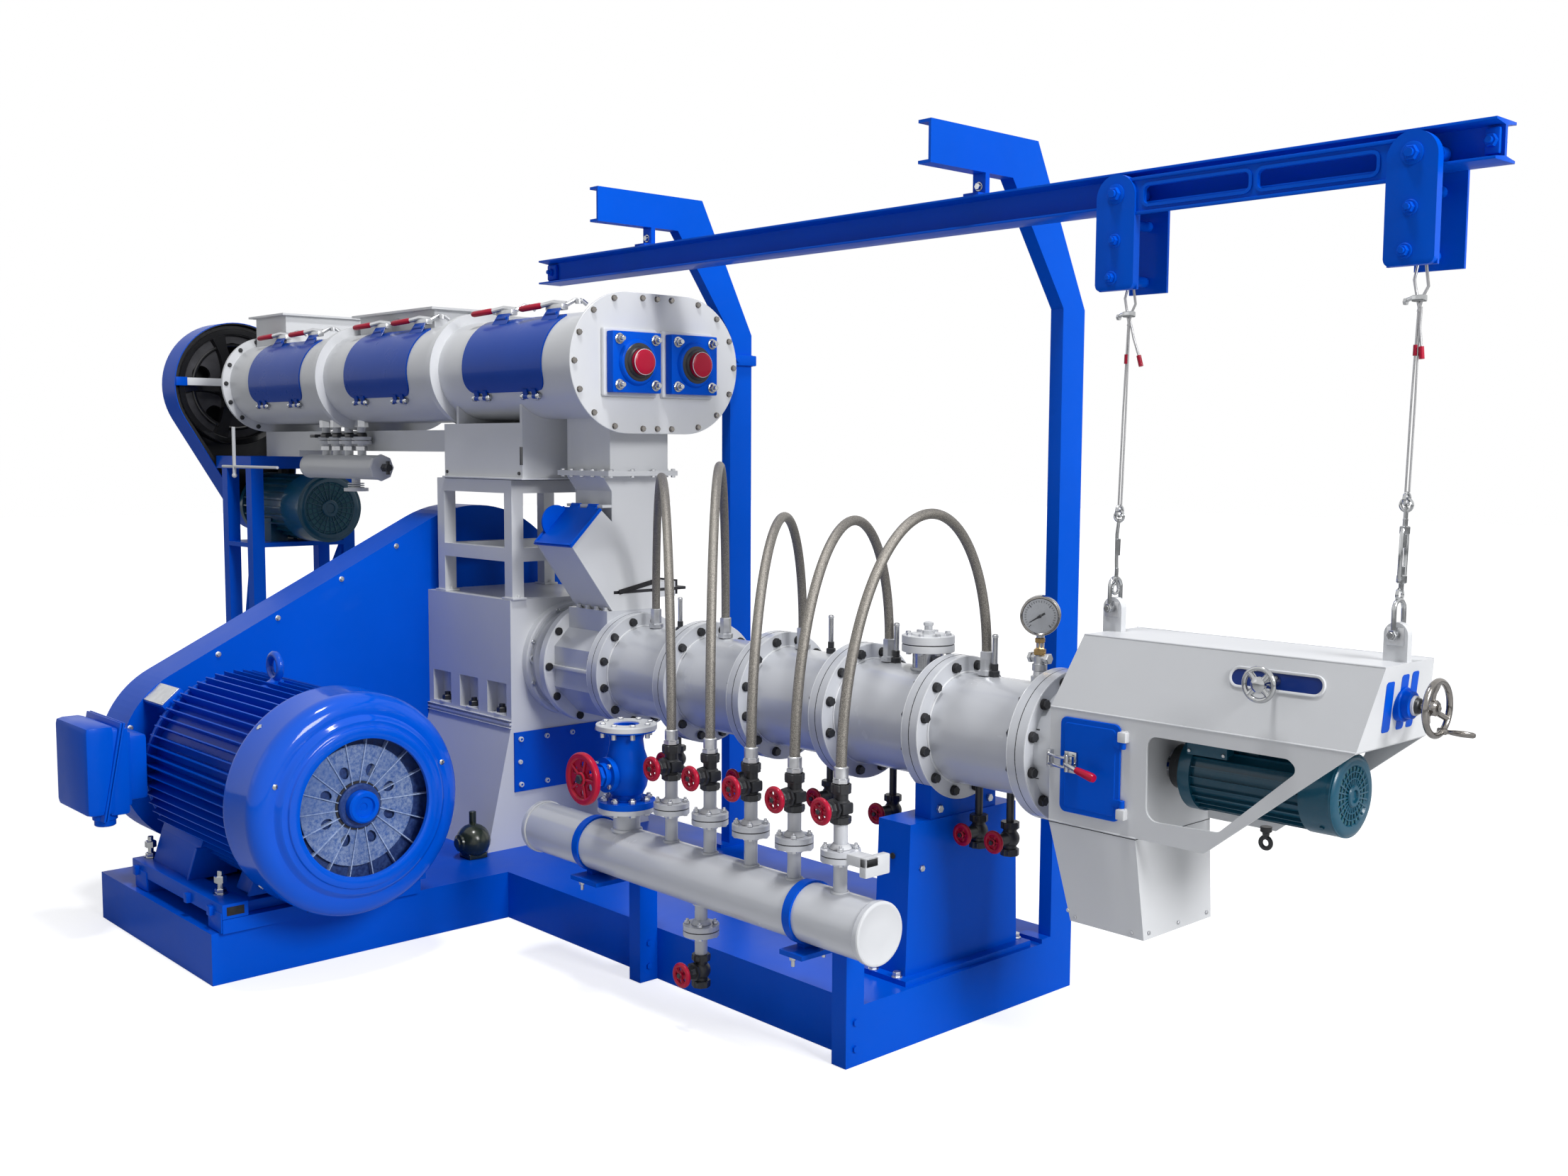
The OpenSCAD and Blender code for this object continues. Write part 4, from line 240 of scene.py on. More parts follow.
blue = (0.0, 0.084, 0.6)
white = (0.645, 0.656, 0.676)
looks = {
    "blue_paint": paint("blue_paint", blue, 0.3, 0.03, dust=0.004, gloss=0.05),
    "white_paint": paint("white_paint", white, 0.36, 0.1, 0.025),
    "black_parts": cast("black_parts", (0.016, 0.017, 0.02), 0.4, 0.12),
    "dark_steel": cast("dark_steel", (0.04, 0.04, 0.045), 0.5, 0.3, 0.6),
    "polished_steel": metal("polished_steel", (0.5, 0.51, 0.53), 0.2, 60, 0.1),
    "red_paint": paint("red_paint", (0.42, 0.002, 0.03), 0.3, 0.15, dust=0.005, gloss=0.2),
    "teal_paint": paint("teal_paint", (0.002, 0.066, 0.115), 0.34, 0.25, 0.12),
    "belt_rubber": cast("belt_rubber", (0.012, 0.012, 0.013), 0.75, 0.3),
    "hose_braid": woven("hose_braid", (0.34, 0.32, 0.29)),
    "wire_rope": metal("wire_rope", (0.42, 0.42, 0.43), 0.35, (300, 300, 12)),
    # Looks within a slot
    "chrome": metal("chrome", (0.46, 0.47, 0.48), 0.13, 60, 0.12),
    "dark_chrome": metal("dark_chrome", (0.27, 0.255, 0.24), 0.14, 60, 0.2),
    "galvanised": metal("galvanised", (0.55, 0.56, 0.58), 0.34, 40, 0.15),
    "brass": metal("brass", (0.45, 0.30, 0.13), 0.3, 40),
    "gloss_blue": paint("gloss_blue", blue, 0.22, 0.5, peel=0.02, dust=0.0, gloss=0.04),
    # Blue paint darkened to 0.62 as painted shade on the curved door sheets
    "door_blue_painted_shade": paint("door_blue_painted_shade", shade(blue, 0.62), 0.28, 0.12, dust=0.003, gloss=0.1),
    # Dark blue as painted shade inside the clamp slot
    "slot_painted_shade_blue": paint("slot_painted_shade_blue", (0.0, 0.02, 0.16), 0.4, 0.1, dust=0.0, gloss=0.2),
    "gloss_white": paint("gloss_white", (0.56, 0.575, 0.61), 0.24, 0.35, 0.025, gloss=0.5),
    # Grey dial face: painted shade on the dial
    "dial_painted_shade_grey": paint("dial_painted_shade_grey", (0.30, 0.31, 0.33), 0.3, 0.4),
    "gloss_black": paint("gloss_black", (0.006, 0.006, 0.007), 0.16, 0.5, dust=0.0, gloss=0.5),
    # Near black for black bolt heads and dark joint lines, and also painted shade on plates standing in for
    # openings, slots, a slit and a hole
    "hollow": cast("hollow", (0.006, 0.006, 0.008), 0.8, 0.2),
    "olive": cast("olive", (0.018, 0.026, 0.016), 0.22, 0.08),
    "teal_dust": cast("teal_dust", (0.035, 0.12, 0.14), 0.8, 0.4),
    "fan_dust": dusty("fan_dust", (0.03, 0.09, 0.3), (0.24, 0.31, 0.47), 0.5),
    # Dark blue under pale dust: the dust is real, the dark blue is painted shade inside the fan cover
    "fan_dust_painted_shade": dusty("fan_dust_painted_shade", (0.004, 0.022, 0.12), (0.03, 0.08, 0.26), 0.55),
    "blade_dust": dusty("blade_dust", (0.05, 0.12, 0.34), (0.42, 0.52, 0.72), 0.44),
    "boss_dust": dusty("boss_dust", (0.004, 0.03, 0.16), (0.05, 0.12, 0.36), 0.6),
}
slot_of = {p["node"]: p["material_slot"] for p in frame["record"]["subparts"]}
for node_name, obj in nodes.items():
    obj.data.materials.clear()
    glossy = node_name in ("die_plate", "barrel_sections", "feed_barrel", "steam_header")
    obj.data.materials.append(looks["gloss_white" if glossy else slot_of[node_name]])


# Mesh code


class Piece:
    """One piece of the scene, made of closed parts that share a look and ride on a body."""

    def __init__(self, name, look, body="root"):
        self.name, self.look, self.body = name, look, body
        self.bm = bmesh.new()

    def add(self, verts, faces, at=None):
        new = [self.bm.verts.new(at @ Vector(v) if at else v) for v in verts]
        for face in faces:
            self.bm.faces.new([new[i] for i in face])
        return self

    def lathe(self, start, axis, profile, sides=32, hollow=False):
        """Turns pairs of a distance along the axis and a radius round the axis: numbers in metres,
        or a text in millimetres. The ends are closed, or the last pair joins the first if hollow."""
        if isinstance(profile, str):
            profile = [[float(v) * MM for v in pair.split()] for pair in profile.split(",")]
        at = Matrix.Translation(start) @ Vector(axis).to_track_quat("Z", "Y").to_matrix().to_4x4()
        verts, rings = [], []
        for along, radius in profile:
            if radius <= 0:
                rings.append([len(verts)])
                verts.append((0, 0, along))
                continue
            rings.append(list(range(len(verts), len(verts) + sides)))
            for k in range(sides):
                turn = 2 * pi * k / sides
                verts.append((radius * cos(turn), radius * sin(turn), along))
        faces = []
        for low, high in zip(rings, rings[1:] + rings[:1] * hollow):
            for k in range(sides):
                m = (k + 1) % sides
                quad = [low[k % len(low)], low[m % len(low)], high[m % len(high)], high[k % len(high)]]
                face = list(dict.fromkeys(quad))
                if len(face) > 2:
                    faces.append(face)
        if not hollow:
            faces += [ring for ring in (rings[0][::-1], rings[-1]) if len(ring) > 1]
        return self.add(verts, faces, at)

    def disc(self, at, axis, radius, thick, sides):
        return self.lathe(at, axis, [(0, radius), (thick, radius)], sides)

    def rod(self, a, b, radius, chamfer=None, sides=32, end=None):
        a, b = Vector(a), Vector(b)
        length = (b - a).length
        end = radius if end is None else end
        c = min(radius, end, length / 2) * 0.12 if chamfer is None else chamfer
        profile = [(0, radius - c), (c, radius), (length - c, end), (length, end - c)]
        return self.lathe(a, b - a, profile, sides)

    def hexa(self, at, axis, radius, height):
        """A hexagon bolt head with a chamfered crown."""
        c = radius * 0.14
        axis = Vector(axis).normalized()
        return self.lathe(at, axis, [(0, radius), (height - c, radius), (height, radius - c)], 6)

    def ball(self, at, radius, axis=Z, flat=1.0):
        n = 12
        turns = [pi * (k / n - 0.5) for k in range(n + 1)]
        profile = [(radius * flat * sin(t), max(0, radius * cos(t)) if 0 < k < n else 0)
            for k, t in enumerate(turns)]
        return self.lathe(at, axis, profile, 24)

    def ring(self, at, axis, radius, tube, sides=48, tube_sides=12):
        turn = Vector(axis).to_track_quat("Z", "Y").to_matrix().to_4x4()
        verts, faces = [], []
        for k in range(sides):
            a = 2 * pi * k / sides
            for j in range(tube_sides):
                b = 2 * pi * j / tube_sides
                away = radius + tube * cos(b)
                verts.append((away * cos(a), away * sin(a), tube * sin(b)))
        for k in range(sides):
            for j in range(tube_sides):
                n, m = (k + 1) % sides, (j + 1) % tube_sides
                faces.append([k * tube_sides + j, n * tube_sides + j, n * tube_sides + m,
                    k * tube_sides + m])
        return self.add(verts, faces, Matrix.Translation(at) @ turn)

    def box(self, a, b, bevel=0.002, turn=None):
        """A block between two corners with rounded edges, turned about its centre if asked."""
        a, b = Vector(a), Vector(b)
        made = bmesh.ops.create_cube(self.bm, size=1)["verts"]
        size = Matrix.Diagonal([abs(b[i] - a[i]) for i in range(3)] + [1])
        at = Matrix.Translation((a + b) / 2) @ (turn.to_4x4() if turn else Matrix.Identity(4))
        bmesh.ops.transform(self.bm, matrix=at @ size, verts=made)
        return self.soften(made, bevel)

    def soften(self, verts, bevel):
        if bevel:
            edges = list(dict.fromkeys(e for v in verts for e in v.link_edges))
            bmesh.ops.bevel(self.bm, geom=edges, offset=bevel, segments=2, profile=0.6, affect="EDGES",
                clamp_overlap=True)
        return self

    def prism(self, outline, along, bevel=0.001):
        """Draws a flat outline of 3-D points out along a vector."""
        outline = [Vector(p) for p in outline]
        low = [self.bm.verts.new(p) for p in outline]
        high = [self.bm.verts.new(p + Vector(along)) for p in outline]
        n = len(outline)
        self.bm.faces.new(low[::-1])
        self.bm.faces.new(high)
        for k in range(n):
            self.bm.faces.new([low[k], low[(k + 1) % n], high[(k + 1) % n], high[k]])
        return self.soften(low + high, bevel)

    def plate(self, loops, along):
        """A flat plate inside the first loop, with the other loops as holes in it."""
        edges = []
        for loop in loops:
            ring = [self.bm.verts.new(p) for p in loop]
            edges += [self.bm.edges.new((ring[k - 1], ring[k])) for k in range(len(ring))]
        filled = bmesh.ops.triangle_fill(self.bm, use_beauty=True, use_dissolve=True, edges=edges)["geom"]
        faces = [g for g in filled if isinstance(g, bmesh.types.BMFace)]
        drawn = bmesh.ops.extrude_face_region(self.bm, geom=faces)["geom"]
        bmesh.ops.translate(self.bm, verts=[g for g in drawn if isinstance(g, bmesh.types.BMVert)],
            vec=along)
        return self

    def tube(self, points, radius, sides=12, closed=False):
        points = [Vector(p) for p in points]
        n = len(points)
        rings = []
        side = None
        for k, p in enumerate(points):
            ahead = points[(k + 1) % n] if closed or k < n - 1 else p
            behind = points[k - 1] if closed or k else p
            d = (ahead - behind).normalized()
            side = d.orthogonal() if side is None else side - d * side.dot(d)
            side.normalize()
            other = d.cross(side)
            r = radius(k / (n - 1)) if callable(radius) else radius
            rings.append([self.bm.verts.new(p + r * (cos(a) * side + sin(a) * other))
                for a in (2 * pi * j / sides for j in range(sides))])
        pairs = list(zip(rings, rings[1:])) + ([(rings[-1], rings[0])] if closed else [])
        for low, high in pairs:
            for j in range(sides):
                m = (j + 1) % sides
                self.bm.faces.new([low[j], low[m], high[m], high[j]])
        if not closed:
            self.bm.faces.new(rings[0][::-1])
            self.bm.faces.new(rings[-1])
        return self

    def loft(self, loops, closed=False):
        """Joins loops of equal length; the ends are closed, or the last loop joins the first."""
        rings = [[self.bm.verts.new(p) for p in loop] for loop in loops]
        n = len(rings[0])
        for low, high in zip(rings, rings[1:] + rings[:1] * closed):
            for k in range(n):
                m = (k + 1) % n
                self.bm.faces.new([low[k], low[m], high[m], high[k]])
        if not closed:
            self.bm.faces.new(rings[0][::-1])
            self.bm.faces.new(rings[-1])
        return self

    def done(self, angle=35, replaces=()):
        bmesh.ops.recalc_face_normals(self.bm, faces=self.bm.faces)
        mesh = bpy.data.meshes.new(self.name)
        self.bm.to_mesh(mesh)
        self.bm.free()
        mesh.shade_smooth()
        mesh.set_sharp_from_angle(angle=radians(angle))
        mesh.materials.append(looks[self.look])
        obj = bpy.data.objects.new(self.name, mesh)
        bpy.context.scene.collection.objects.link(obj)
        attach(obj, self.body)
        if replaces:
            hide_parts(*replaces)
        return obj


def spoke(turn, across="x"):
    """Unit vector across an axis, at an angle in degrees."""
    c, s = cos(radians(turn)), sin(radians(turn))
    return Vector({"x": (0, c, s), "y": (c, 0, s), "z": (c, s, 0)}[across])


def spokes(count, start=0.0, across="x"):
    """Unit vectors spread evenly round an axis."""
    return [spoke(start + 360 * k / count, across) for k in range(count)]


def hull_of(a, ra, b, rb, x, steps=40):
    """Outline round two circles in a plane across X; a and b are (y, z)."""
    (ay, az), (by, bz) = a, b
    away = hypot(by - ay, bz - az)
    ahead = atan2(bz - az, by - ay)
    open_by = acos((ra - rb) / away)
    points = []
    for (cy, cz), r, start, stop in ((a, ra, ahead + open_by, ahead + 2 * pi - open_by),
        (b, rb, ahead - open_by, ahead + open_by)):
        for k in range(steps + 1):
            t = start + (stop - start) * k / steps
            points.append(Vector((x, cy + r * cos(t), cz + r * sin(t))))
    return points


# Main motor

motor_y, motor_z = next(j["pos_m"] for j in frame["joints"] if j["name"] == "motor_spin")[1:]
cover_lo, cover_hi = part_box("motor_fan_cover")
box_lo, box_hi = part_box("motor_terminal_box")
house_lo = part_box("motor_housing")[0]
cover_r = 0.322
frame_r = 0.262
motor_front = 0.032
deck_top = 0.150
foot_top = deck_top + 0.084
foot_y = 0.2825


def on_motor(x, turn, radius):
    """A point round the motor axis; turn is in degrees from +Y towards +Z."""
    return Vector((x, motor_y, motor_z)) + spoke(turn) * radius


def fan_cover():
    """Spun sheet cover with two rolled steps in its nose and an open mouth."""
    x0, x1 = cover_lo.x, cover_hi.x
    wall = 0.005
    outer = [(0, cover_r - wall), (0, cover_r), (0.006, cover_r + 0.0015), (0.012, cover_r)]
    shoulder = x1 - x0 - 0.078
    for k in range(11):
        a = radians(9 * k)
        outer.append((shoulder + 0.052 * sin(a), cover_r - 0.052 + 0.052 * cos(a)))
    flat = shoulder + 0.052
    outer += [(flat, 0.262), (flat + 0.004, 0.256), (flat + 0.012, 0.252), (flat + 0.016, 0.246),
        (flat + 0.016, 0.236), (flat + 0.018, 0.231), (flat + 0.024, 0.228), (flat + 0.026, 0.222),
        (flat + 0.026, 0.205), (flat + 0.024, 0.198), (flat + 0.018, 0.196)]
    inner = [(flat + 0.012, 0.197), (flat + 0.012, 0.222), (flat - 0.006, 0.25), (shoulder, cover_r - 0.02),
        (0.02, cover_r - wall)]
    cover = Piece("fan_cover", "gloss_blue")
    cover.lathe((x0, motor_y, motor_z), X, outer + inner, 96, hollow=True)
    cover.done(30, replaces=["motor_fan_cover"])
    screws = Piece("fan_cover_screws", "chrome")
    for turn in (44, 134, 224, 314):
        at = on_motor(x0 + 0.03, turn, cover_r - 0.001)
        out = at - Vector((at.x, motor_y, motor_z))
        screws.lathe(at, out, "0 9, 3 9, 5 6, 5.5 3", 20)
    for turn in (20, 160):
        screws.lathe(on_motor(x0 + flat - 0.002, turn, 0.272), X, "0 8, 3 8, 5 4", 16)
    screws.done()


def fan():
    """Fan disc with eight oval holes, thin radial blades and a stepped boss, all on the rotor."""
    face = 0.198
    start = (face, motor_y, motor_z)
    disc = Piece("fan_disc", "fan_dust", "motor_rotor")
    loops = [[on_motor(face, 5 * k, 0.174) for k in range(72)], [on_motor(face, 9 * k, 0.05)
        for k in range(40)]]
    for k in range(8):
        centre = 22.5 + 45 * k
        loops.append([on_motor(face, centre + 7.8 * cos(t), 0.104 + 0.018 * sin(t))
            for t in (2 * pi * j / 20 for j in range(20))])
    disc.plate(loops, X * -0.004)
    disc.done()
    # A dark disc behind the fan: painted shade seen through the oval holes and round the disc
    back = Piece("fan_painted_shade_disc", "fan_dust_painted_shade", "motor_rotor")
    back.disc((face - 0.014, motor_y, motor_z), X, 0.228, 0.002, 72)
    back.done()
    blades = Piece("fan_blades", "blade_dust", "motor_rotor")
    for k in range(18):
        low, high = on_motor(0, 20 * k + 6, 0.064), on_motor(0, 20 * k + 1, 0.224)
        side = (high - low).cross(X).normalized() * 0.0014
        blades.prism([low - side + X * 0.150, high - side + X * 0.150, high + side + X * 0.150,
            low + side + X * 0.150], X * 0.053, 0)
    blades.done()
    hub = Piece("fan_boss", "boss_dust", "motor_rotor")
    hub.lathe(start, X, "-20 64, 12 64, 16 60, 16 47, 10 44", 48)
    hub.done()
    boss = Piece("fan_nut", "blue_paint", "motor_rotor")
    boss.lathe(start, X, "0 46, 38 46, 43 41, 43 31, 34 28, 34 12, 31 10", 48)
    boss.done()


def terminal_box():
    """Cast box: neck with a flange, body, slanted parting flange, lid and cable gland."""
    x0, x1 = box_lo.x, box_hi.x
    neck_y = box_hi.y - 0.066
    cast_box = Piece("terminal_box", "blue_paint")
    mid = neck_y - 0.05
    cast_box.box((x0 + 0.012, mid - 0.012, box_lo.z + 0.006), (x1 - 0.006, neck_y, box_hi.z - 0.012), 0.014)
    cast_box.box((x0, box_lo.y, box_lo.z + 0.012), (x1, mid + 0.006, box_hi.z), 0.02)
    slant = radians(11)
    turn = Matrix.Rotation(-slant, 3, "X")
    centre_z = (box_lo.z + box_hi.z) / 2
    half = (box_hi.z - box_lo.z) / 2 / cos(slant) + 0.006
    for shift in (-0.0045, 0.0045):
        cast_box.box((x0 - 0.006, mid + shift - 0.0035, centre_z - half),
            (x1 + 0.006, mid + shift + 0.0035, centre_z + half), 0.003, turn)
    cast_box.box((x0 + 0.042, neck_y - 0.004, box_lo.z + 0.04), (x1 - 0.042, box_hi.y, box_hi.z - 0.045),
        0.012)
    cast_box.box((x0 + 0.03, neck_y - 0.002, box_lo.z + 0.028), (x1 - 0.03, neck_y + 0.012,
        box_hi.z - 0.03), 0.005)
    gland = Vector((x1 - 0.055, mid - 0.012, box_lo.z + 0.014))
    cast_box.lathe(gland, -Z, "0 36, 20 36, 24 31, 38 31, 41 27, 41 16, 34 15", 24)
    cast_box.done(40, replaces=["motor_terminal_box"])


def motor_trim():
    """Nameplate without lettering, and the lifting eye on its pad."""
    plate = Piece("motor_nameplate", "galvanised")
    at = on_motor(-0.735, 130.8, 0.3)
    out = (at - Vector((at.x, motor_y, motor_z))).normalized()
    turn = Matrix((X, out.cross(X).normalized(), out)).transposed()
    half = Vector((0.085, 0.036, 0.0015))
    plate.box(at - half, at + half, 0.001, turn)
    for sx in (-1, 1):
        for sy in (-1, 1):
            spot = at + turn @ Vector((sx * 0.077, sy * 0.029, 0.0014))
            plate.lathe(spot, out, "0 3.5, 1.2 3.2, 1.8 1.5", 12)
    plate.done()
    pad = Piece("nameplate_pad", "blue_paint")
    centre = at - out * 0.01
    half = Vector((0.09, 0.04, 0.0085))
    pad.box(centre - half, centre + half, 0.003, turn)
    eye = Piece("motor_eye", "gloss_blue")
    top = motor_z + frame_r + 0.0792
    eye_x = (-0.678 + motor_front) / 2
    eye.ring((eye_x, motor_y, top), Y, 0.036, 0.0118, 40, 14)
    eye.lathe((eye_x, motor_y, top - 0.056), Z, "0 24, 4 26, 10 26, 16 16, 22 13", 28)
    eye.done()
    pad.lathe((eye_x, motor_y, motor_z + frame_r), Z, "0 55, 18 50, 24 34, 26.5 30", 32)
    pad.done()


def motor_housing():
    """Frame with sixty fins, end shields, solid foot bars and sloped cheeks above them."""
    x0, x1 = house_lo.x, motor_front
    length = x1 - x0
    bore = 0.047
    body = Piece("motor_frame", "blue_paint")
    outer = [(0, 0.20), (0.004, 0.268), (0.010, 0.276), (0.020, 0.281), (0.046, 0.285), (0.052, 0.281),
        (0.053, frame_r), (length - 0.03, frame_r), (length - 0.029, 0.272), (length, 0.272)]
    inner = [(length, bore), (length - 0.026, bore), (length - 0.026, 0.163), (0.026, 0.163), (0.026, bore),
        (0, bore)]
    body.lathe((x0, motor_y, motor_z), X, outer + inner, 120, hollow=True)
    for k in range(60):
        turn = 6 * k
        root, tip = on_motor(0, turn, frame_r - 0.004), on_motor(0, turn, 0.2975)
        side = (tip - root).cross(X).normalized()
        body.prism([root - side * 0.0036 + X * (x0 + 0.052), tip - side * 0.002 + X * (x0 + 0.052),
            tip + side * 0.002 + X * (x0 + 0.052), root + side * 0.0036 + X * (x0 + 0.052)],
            X * (length - 0.084), 0)
    top = foot_top
    for side in (-1, 1):
        y = motor_y + side * foot_y
        body.box((x0, y - 0.0385, deck_top + 0.0402), (0.006, y + 0.0385, top), 0.004)
        for lo_x, hi_x, out, rise in ((-0.611, -0.308, 0.281, 0.325), (-0.150, -0.034, 0.215, 0.30)):
            body.prism([(lo_x, motor_y + side * out, top - 0.002),
                (lo_x, motor_y + side * (out - 0.03), rise), (lo_x, motor_y + side * (out - 0.06),
                rise + 0.08), (lo_x, motor_y + side * 0.14, rise + 0.08),
                (lo_x, motor_y + side * 0.14, top - 0.002)], X * (hi_x - lo_x), 0.004)
            body.prism([(hi_x - 0.012, motor_y + side * (out + 0.012), top - 0.002),
                (hi_x - 0.012, motor_y + side * (out - 0.018), rise),
                (hi_x - 0.012, motor_y + side * 0.16, rise), (hi_x - 0.012, motor_y + side * 0.16,
                top - 0.002)], X * 0.014, 0.002)
        body.box((x0 + 0.03, motor_y + side * 0.10, deck_top + 0.0402),
            (x1 - 0.06, motor_y + side * 0.27, top - 0.012), 0.004)
        for x in (-0.640, -0.240, -0.075):
            body.box((x, y + side * 0.034, deck_top + 0.042), (x + 0.024, y + side * 0.052, top - 0.014),
                0.003)
    body.done(30, replaces=["motor_housing"])


def motor_feet():
    """Studs with nuts on the feet, dark plates of painted shade on the foot bars' ends, the rails' end stops and
    dark plates of painted shade for their slots.
    """
    studs = Piece("motor_foot_bolts", "chrome")
    # Thin dark plates on both ends of each foot bar: painted shade standing in for the bars' open ends
    opening_shade = Piece("foot_bar_opening_shade", "hollow")
    for side in (-1, 1):
        y = motor_y + side * foot_y
        opening_shade.box((0.0058, y - 0.0255, foot_top - 0.034), (0.0068, y + 0.0255, foot_top - 0.009),
            0.0004)
        opening_shade.box((house_lo.x - 0.0008, y - 0.0255, foot_top - 0.034),
            (house_lo.x + 0.0002, y + 0.0255, foot_top - 0.009), 0.0004)
        for x, away, foot in ((-0.11, 0.276, foot_top), (-0.162, 0.129, foot_top - 0.012),
            (-0.64, 0.276, foot_top)):
            at = Vector((x, motor_y + side * away, foot))
            studs.lathe(at, Z, "0 21, 3 21, 4 18", 28)
            studs.rod(at, at + Z * 0.068, 0.0085, sides=20)
            studs.hexa(at + Z * 0.004, Z, 0.0165, 0.013)
            studs.hexa(at + Z * 0.034, Z, 0.0175, 0.02)
    studs.done()
    opening_shade.done()
    ends = Piece("rail_ends", "blue_paint")
    # Thin dark plates on the rail ends: painted shade standing in for the slots
    slots = Piece("rail_slot_shade", "hollow")
    lo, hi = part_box("motor_rails")
    for x in (-0.652, -0.094):
        ends.box((x + 0.004, lo.y - 0.004, deck_top + 0.001), (x + 0.096, lo.y + 0.016, deck_top + 0.06),
            0.004)
        ends.box((x + 0.02, hi.y - 0.016, deck_top + 0.038), (x + 0.08, hi.y, deck_top + 0.075), 0.004)
        for away in (0.25, 0.45):
            for at in (x + 0.0998, x - 0.0008):
                slots.box((at, lo.y + away, deck_top + 0.013), (at + 0.001, lo.y + away + 0.085,
                    deck_top + 0.03), 0.0004)
    ends.done()
    slots.done()


def guard_bolts():
    bolts = Piece("guard_bolts", "galvanised")
    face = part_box("belt_guard")[1].x
    for y, z in ((-1.026, 0.832), (-0.817, 0.938), (-0.582, 1.058), (-0.369, 1.165), (-0.145, 1.268),
        (0.115, 1.24), (0.275, 1.1), (-1.318, 0.62), (-1.33, 0.42), (-0.62, 0.36)):
        bolts.lathe((face, y, z), X, "0 9.5, 1.2 9.5, 1.6 8", 24)
        bolts.hexa((face + 0.0012, y, z), X, 0.0068, 0.006)
    bolts.done()


fan_cover()
fan()
motor_housing()
terminal_box()
motor_trim()
motor_feet()
guard_bolts()


# Gearbox, tower, feed section and chute

axis_z = 0.788
face_x = -0.261


def around(x, turn, radius, z=axis_z):
    """A point round the barrel axis; turn is in degrees from +Y towards +Z."""
    return Vector((x, 0, z)) + spoke(turn) * radius


def bolt(piece, at, axis, radius, height, washer=1.25):
    """Hexagon head on a washer, with its shank's end showing."""
    at, axis = Vector(at), Vector(axis).normalized()
    piece.lathe(at, axis, [(0, radius * washer), (height * 0.15, radius * washer),
        (height * 0.2, radius * (washer - 0.06))], 24)
    piece.hexa(at + axis * height * 0.2, axis, radius, height * 0.8)
    return piece


def cap_screw(piece, at, axis, radius, height, sides=20):
    at, axis = Vector(at), Vector(axis).normalized()
    return piece.lathe(at, axis, [(0, radius), (height * 0.72, radius), (height * 0.93, radius * 0.88),
        (height, radius * 0.7), (height, radius * 0.5), (height * 0.55, radius * 0.46)], sides)


def gearbox_trim():
    black = Piece("gearbox_pocket_bolts", "black_parts")
    white_bits = Piece("gearbox_castings", "white_paint")
    for side in (-1, 1):
        for i in range(3):
            x = -0.805 + 0.544 * (i + 0.5) / 3
            at = Vector((x, side * 0.223, 0.603))
            white_bits.lathe(at, Z, "0 28, 4 28, 5 26", 28)
            black.hexa(at + Z * 0.004, Z, 0.0188, 0.019)
            black.rod(at + Z * 0.02, at + Z * 0.034, 0.0105, sides=16)
        for z in (0.566, 0.5905):
            white_bits.box((-0.806, side * 0.2435, z - 0.0012), (-0.26, side * 0.2535, z + 0.0012), 0.0006)
    # Bearing flange with its rolled rim, neck ring and cap screws
    centre = (face_x + 0.0216, 0, axis_z)
    white_bits.lathe(centre, X, "0 199, 4 199, 7.5 195, 7.5 186, 4 182, 4 170, 0.5 166", 96)
    white_bits.lathe((-0.2194, 0, axis_z), X, "0 178, 4 176, 12 163, 30 158, 52 163, 66 172, 74 176", 96)
    grey = Piece("gearbox_flange_screws", "galvanised")
    for k in range(8):
        cap_screw(grey, around(-0.2385, 22.5 + 45 * k, 0.1865), X, 0.0085, 0.01)
    for turn in (150, 205, 335, 30):
        grey.hexa(around(-0.19, turn, 0.156), around(0, turn, 1, 0), 0.012, 0.01)
    grey.done()
    # Black screws of the feed flange on round pads
    white_bits.lathe((-0.150, 0, axis_z), X, "0 200, 3 206, 30 206, 33.5 202, 33.5 150", 96)
    heads = Piece("feed_flange_heads", "hollow")
    for turn in (38, 68, 112, 142, 180, 213, 250, 290, 327, 0):
        at = around(-0.1165, turn, 0.189)
        heads.rod(at, at + X * 0.009, 0.0135, 0.002, 24)
    heads.done()
    hook = [around(-0.231, 176, 0.172) + spoke(60 + 24 * k) * 0.013 for k in range(11)]
    white_bits.tube(hook, 0.0035, 10)
    for k in range(12):
        if k not in (2, 3):
            black.hexa(around(0.1, 15 + 30 * k, 0.171), -X, 0.012, 0.014)
    black.done()
    # Ribs along the faceted casting
    for turn in (180, 0):
        at = around(-0.117, turn, 0.166)
        white_bits.box(at - Vector((0, 0.01, 0.006)), at + Vector((0.216, 0.01, 0.006)), 0.003)
    for x in (-0.07, -0.02, 0.03, 0.08):
        for side in (-1, 1):
            bolt(white_bits, (x, side * 0.0955, 0.985), Z, 0.0085, 0.012)
    white_bits.done()


def cover_plate_trim():
    """Bolts round the blue cover plate."""
    bolts = Piece("cover_plate_bolts", "white_paint")
    for i in range(5):
        y = -0.212 + 0.106 * i
        for z in (0.368, 0.525):
            cap_screw(bolts, (-0.2552, y, z), X, 0.0092, 0.0085)
    for side in (-1, 1):
        cap_screw(bolts, (-0.2552, side * 0.215, 0.4465), X, 0.0082, 0.0075)
    bolts.done()


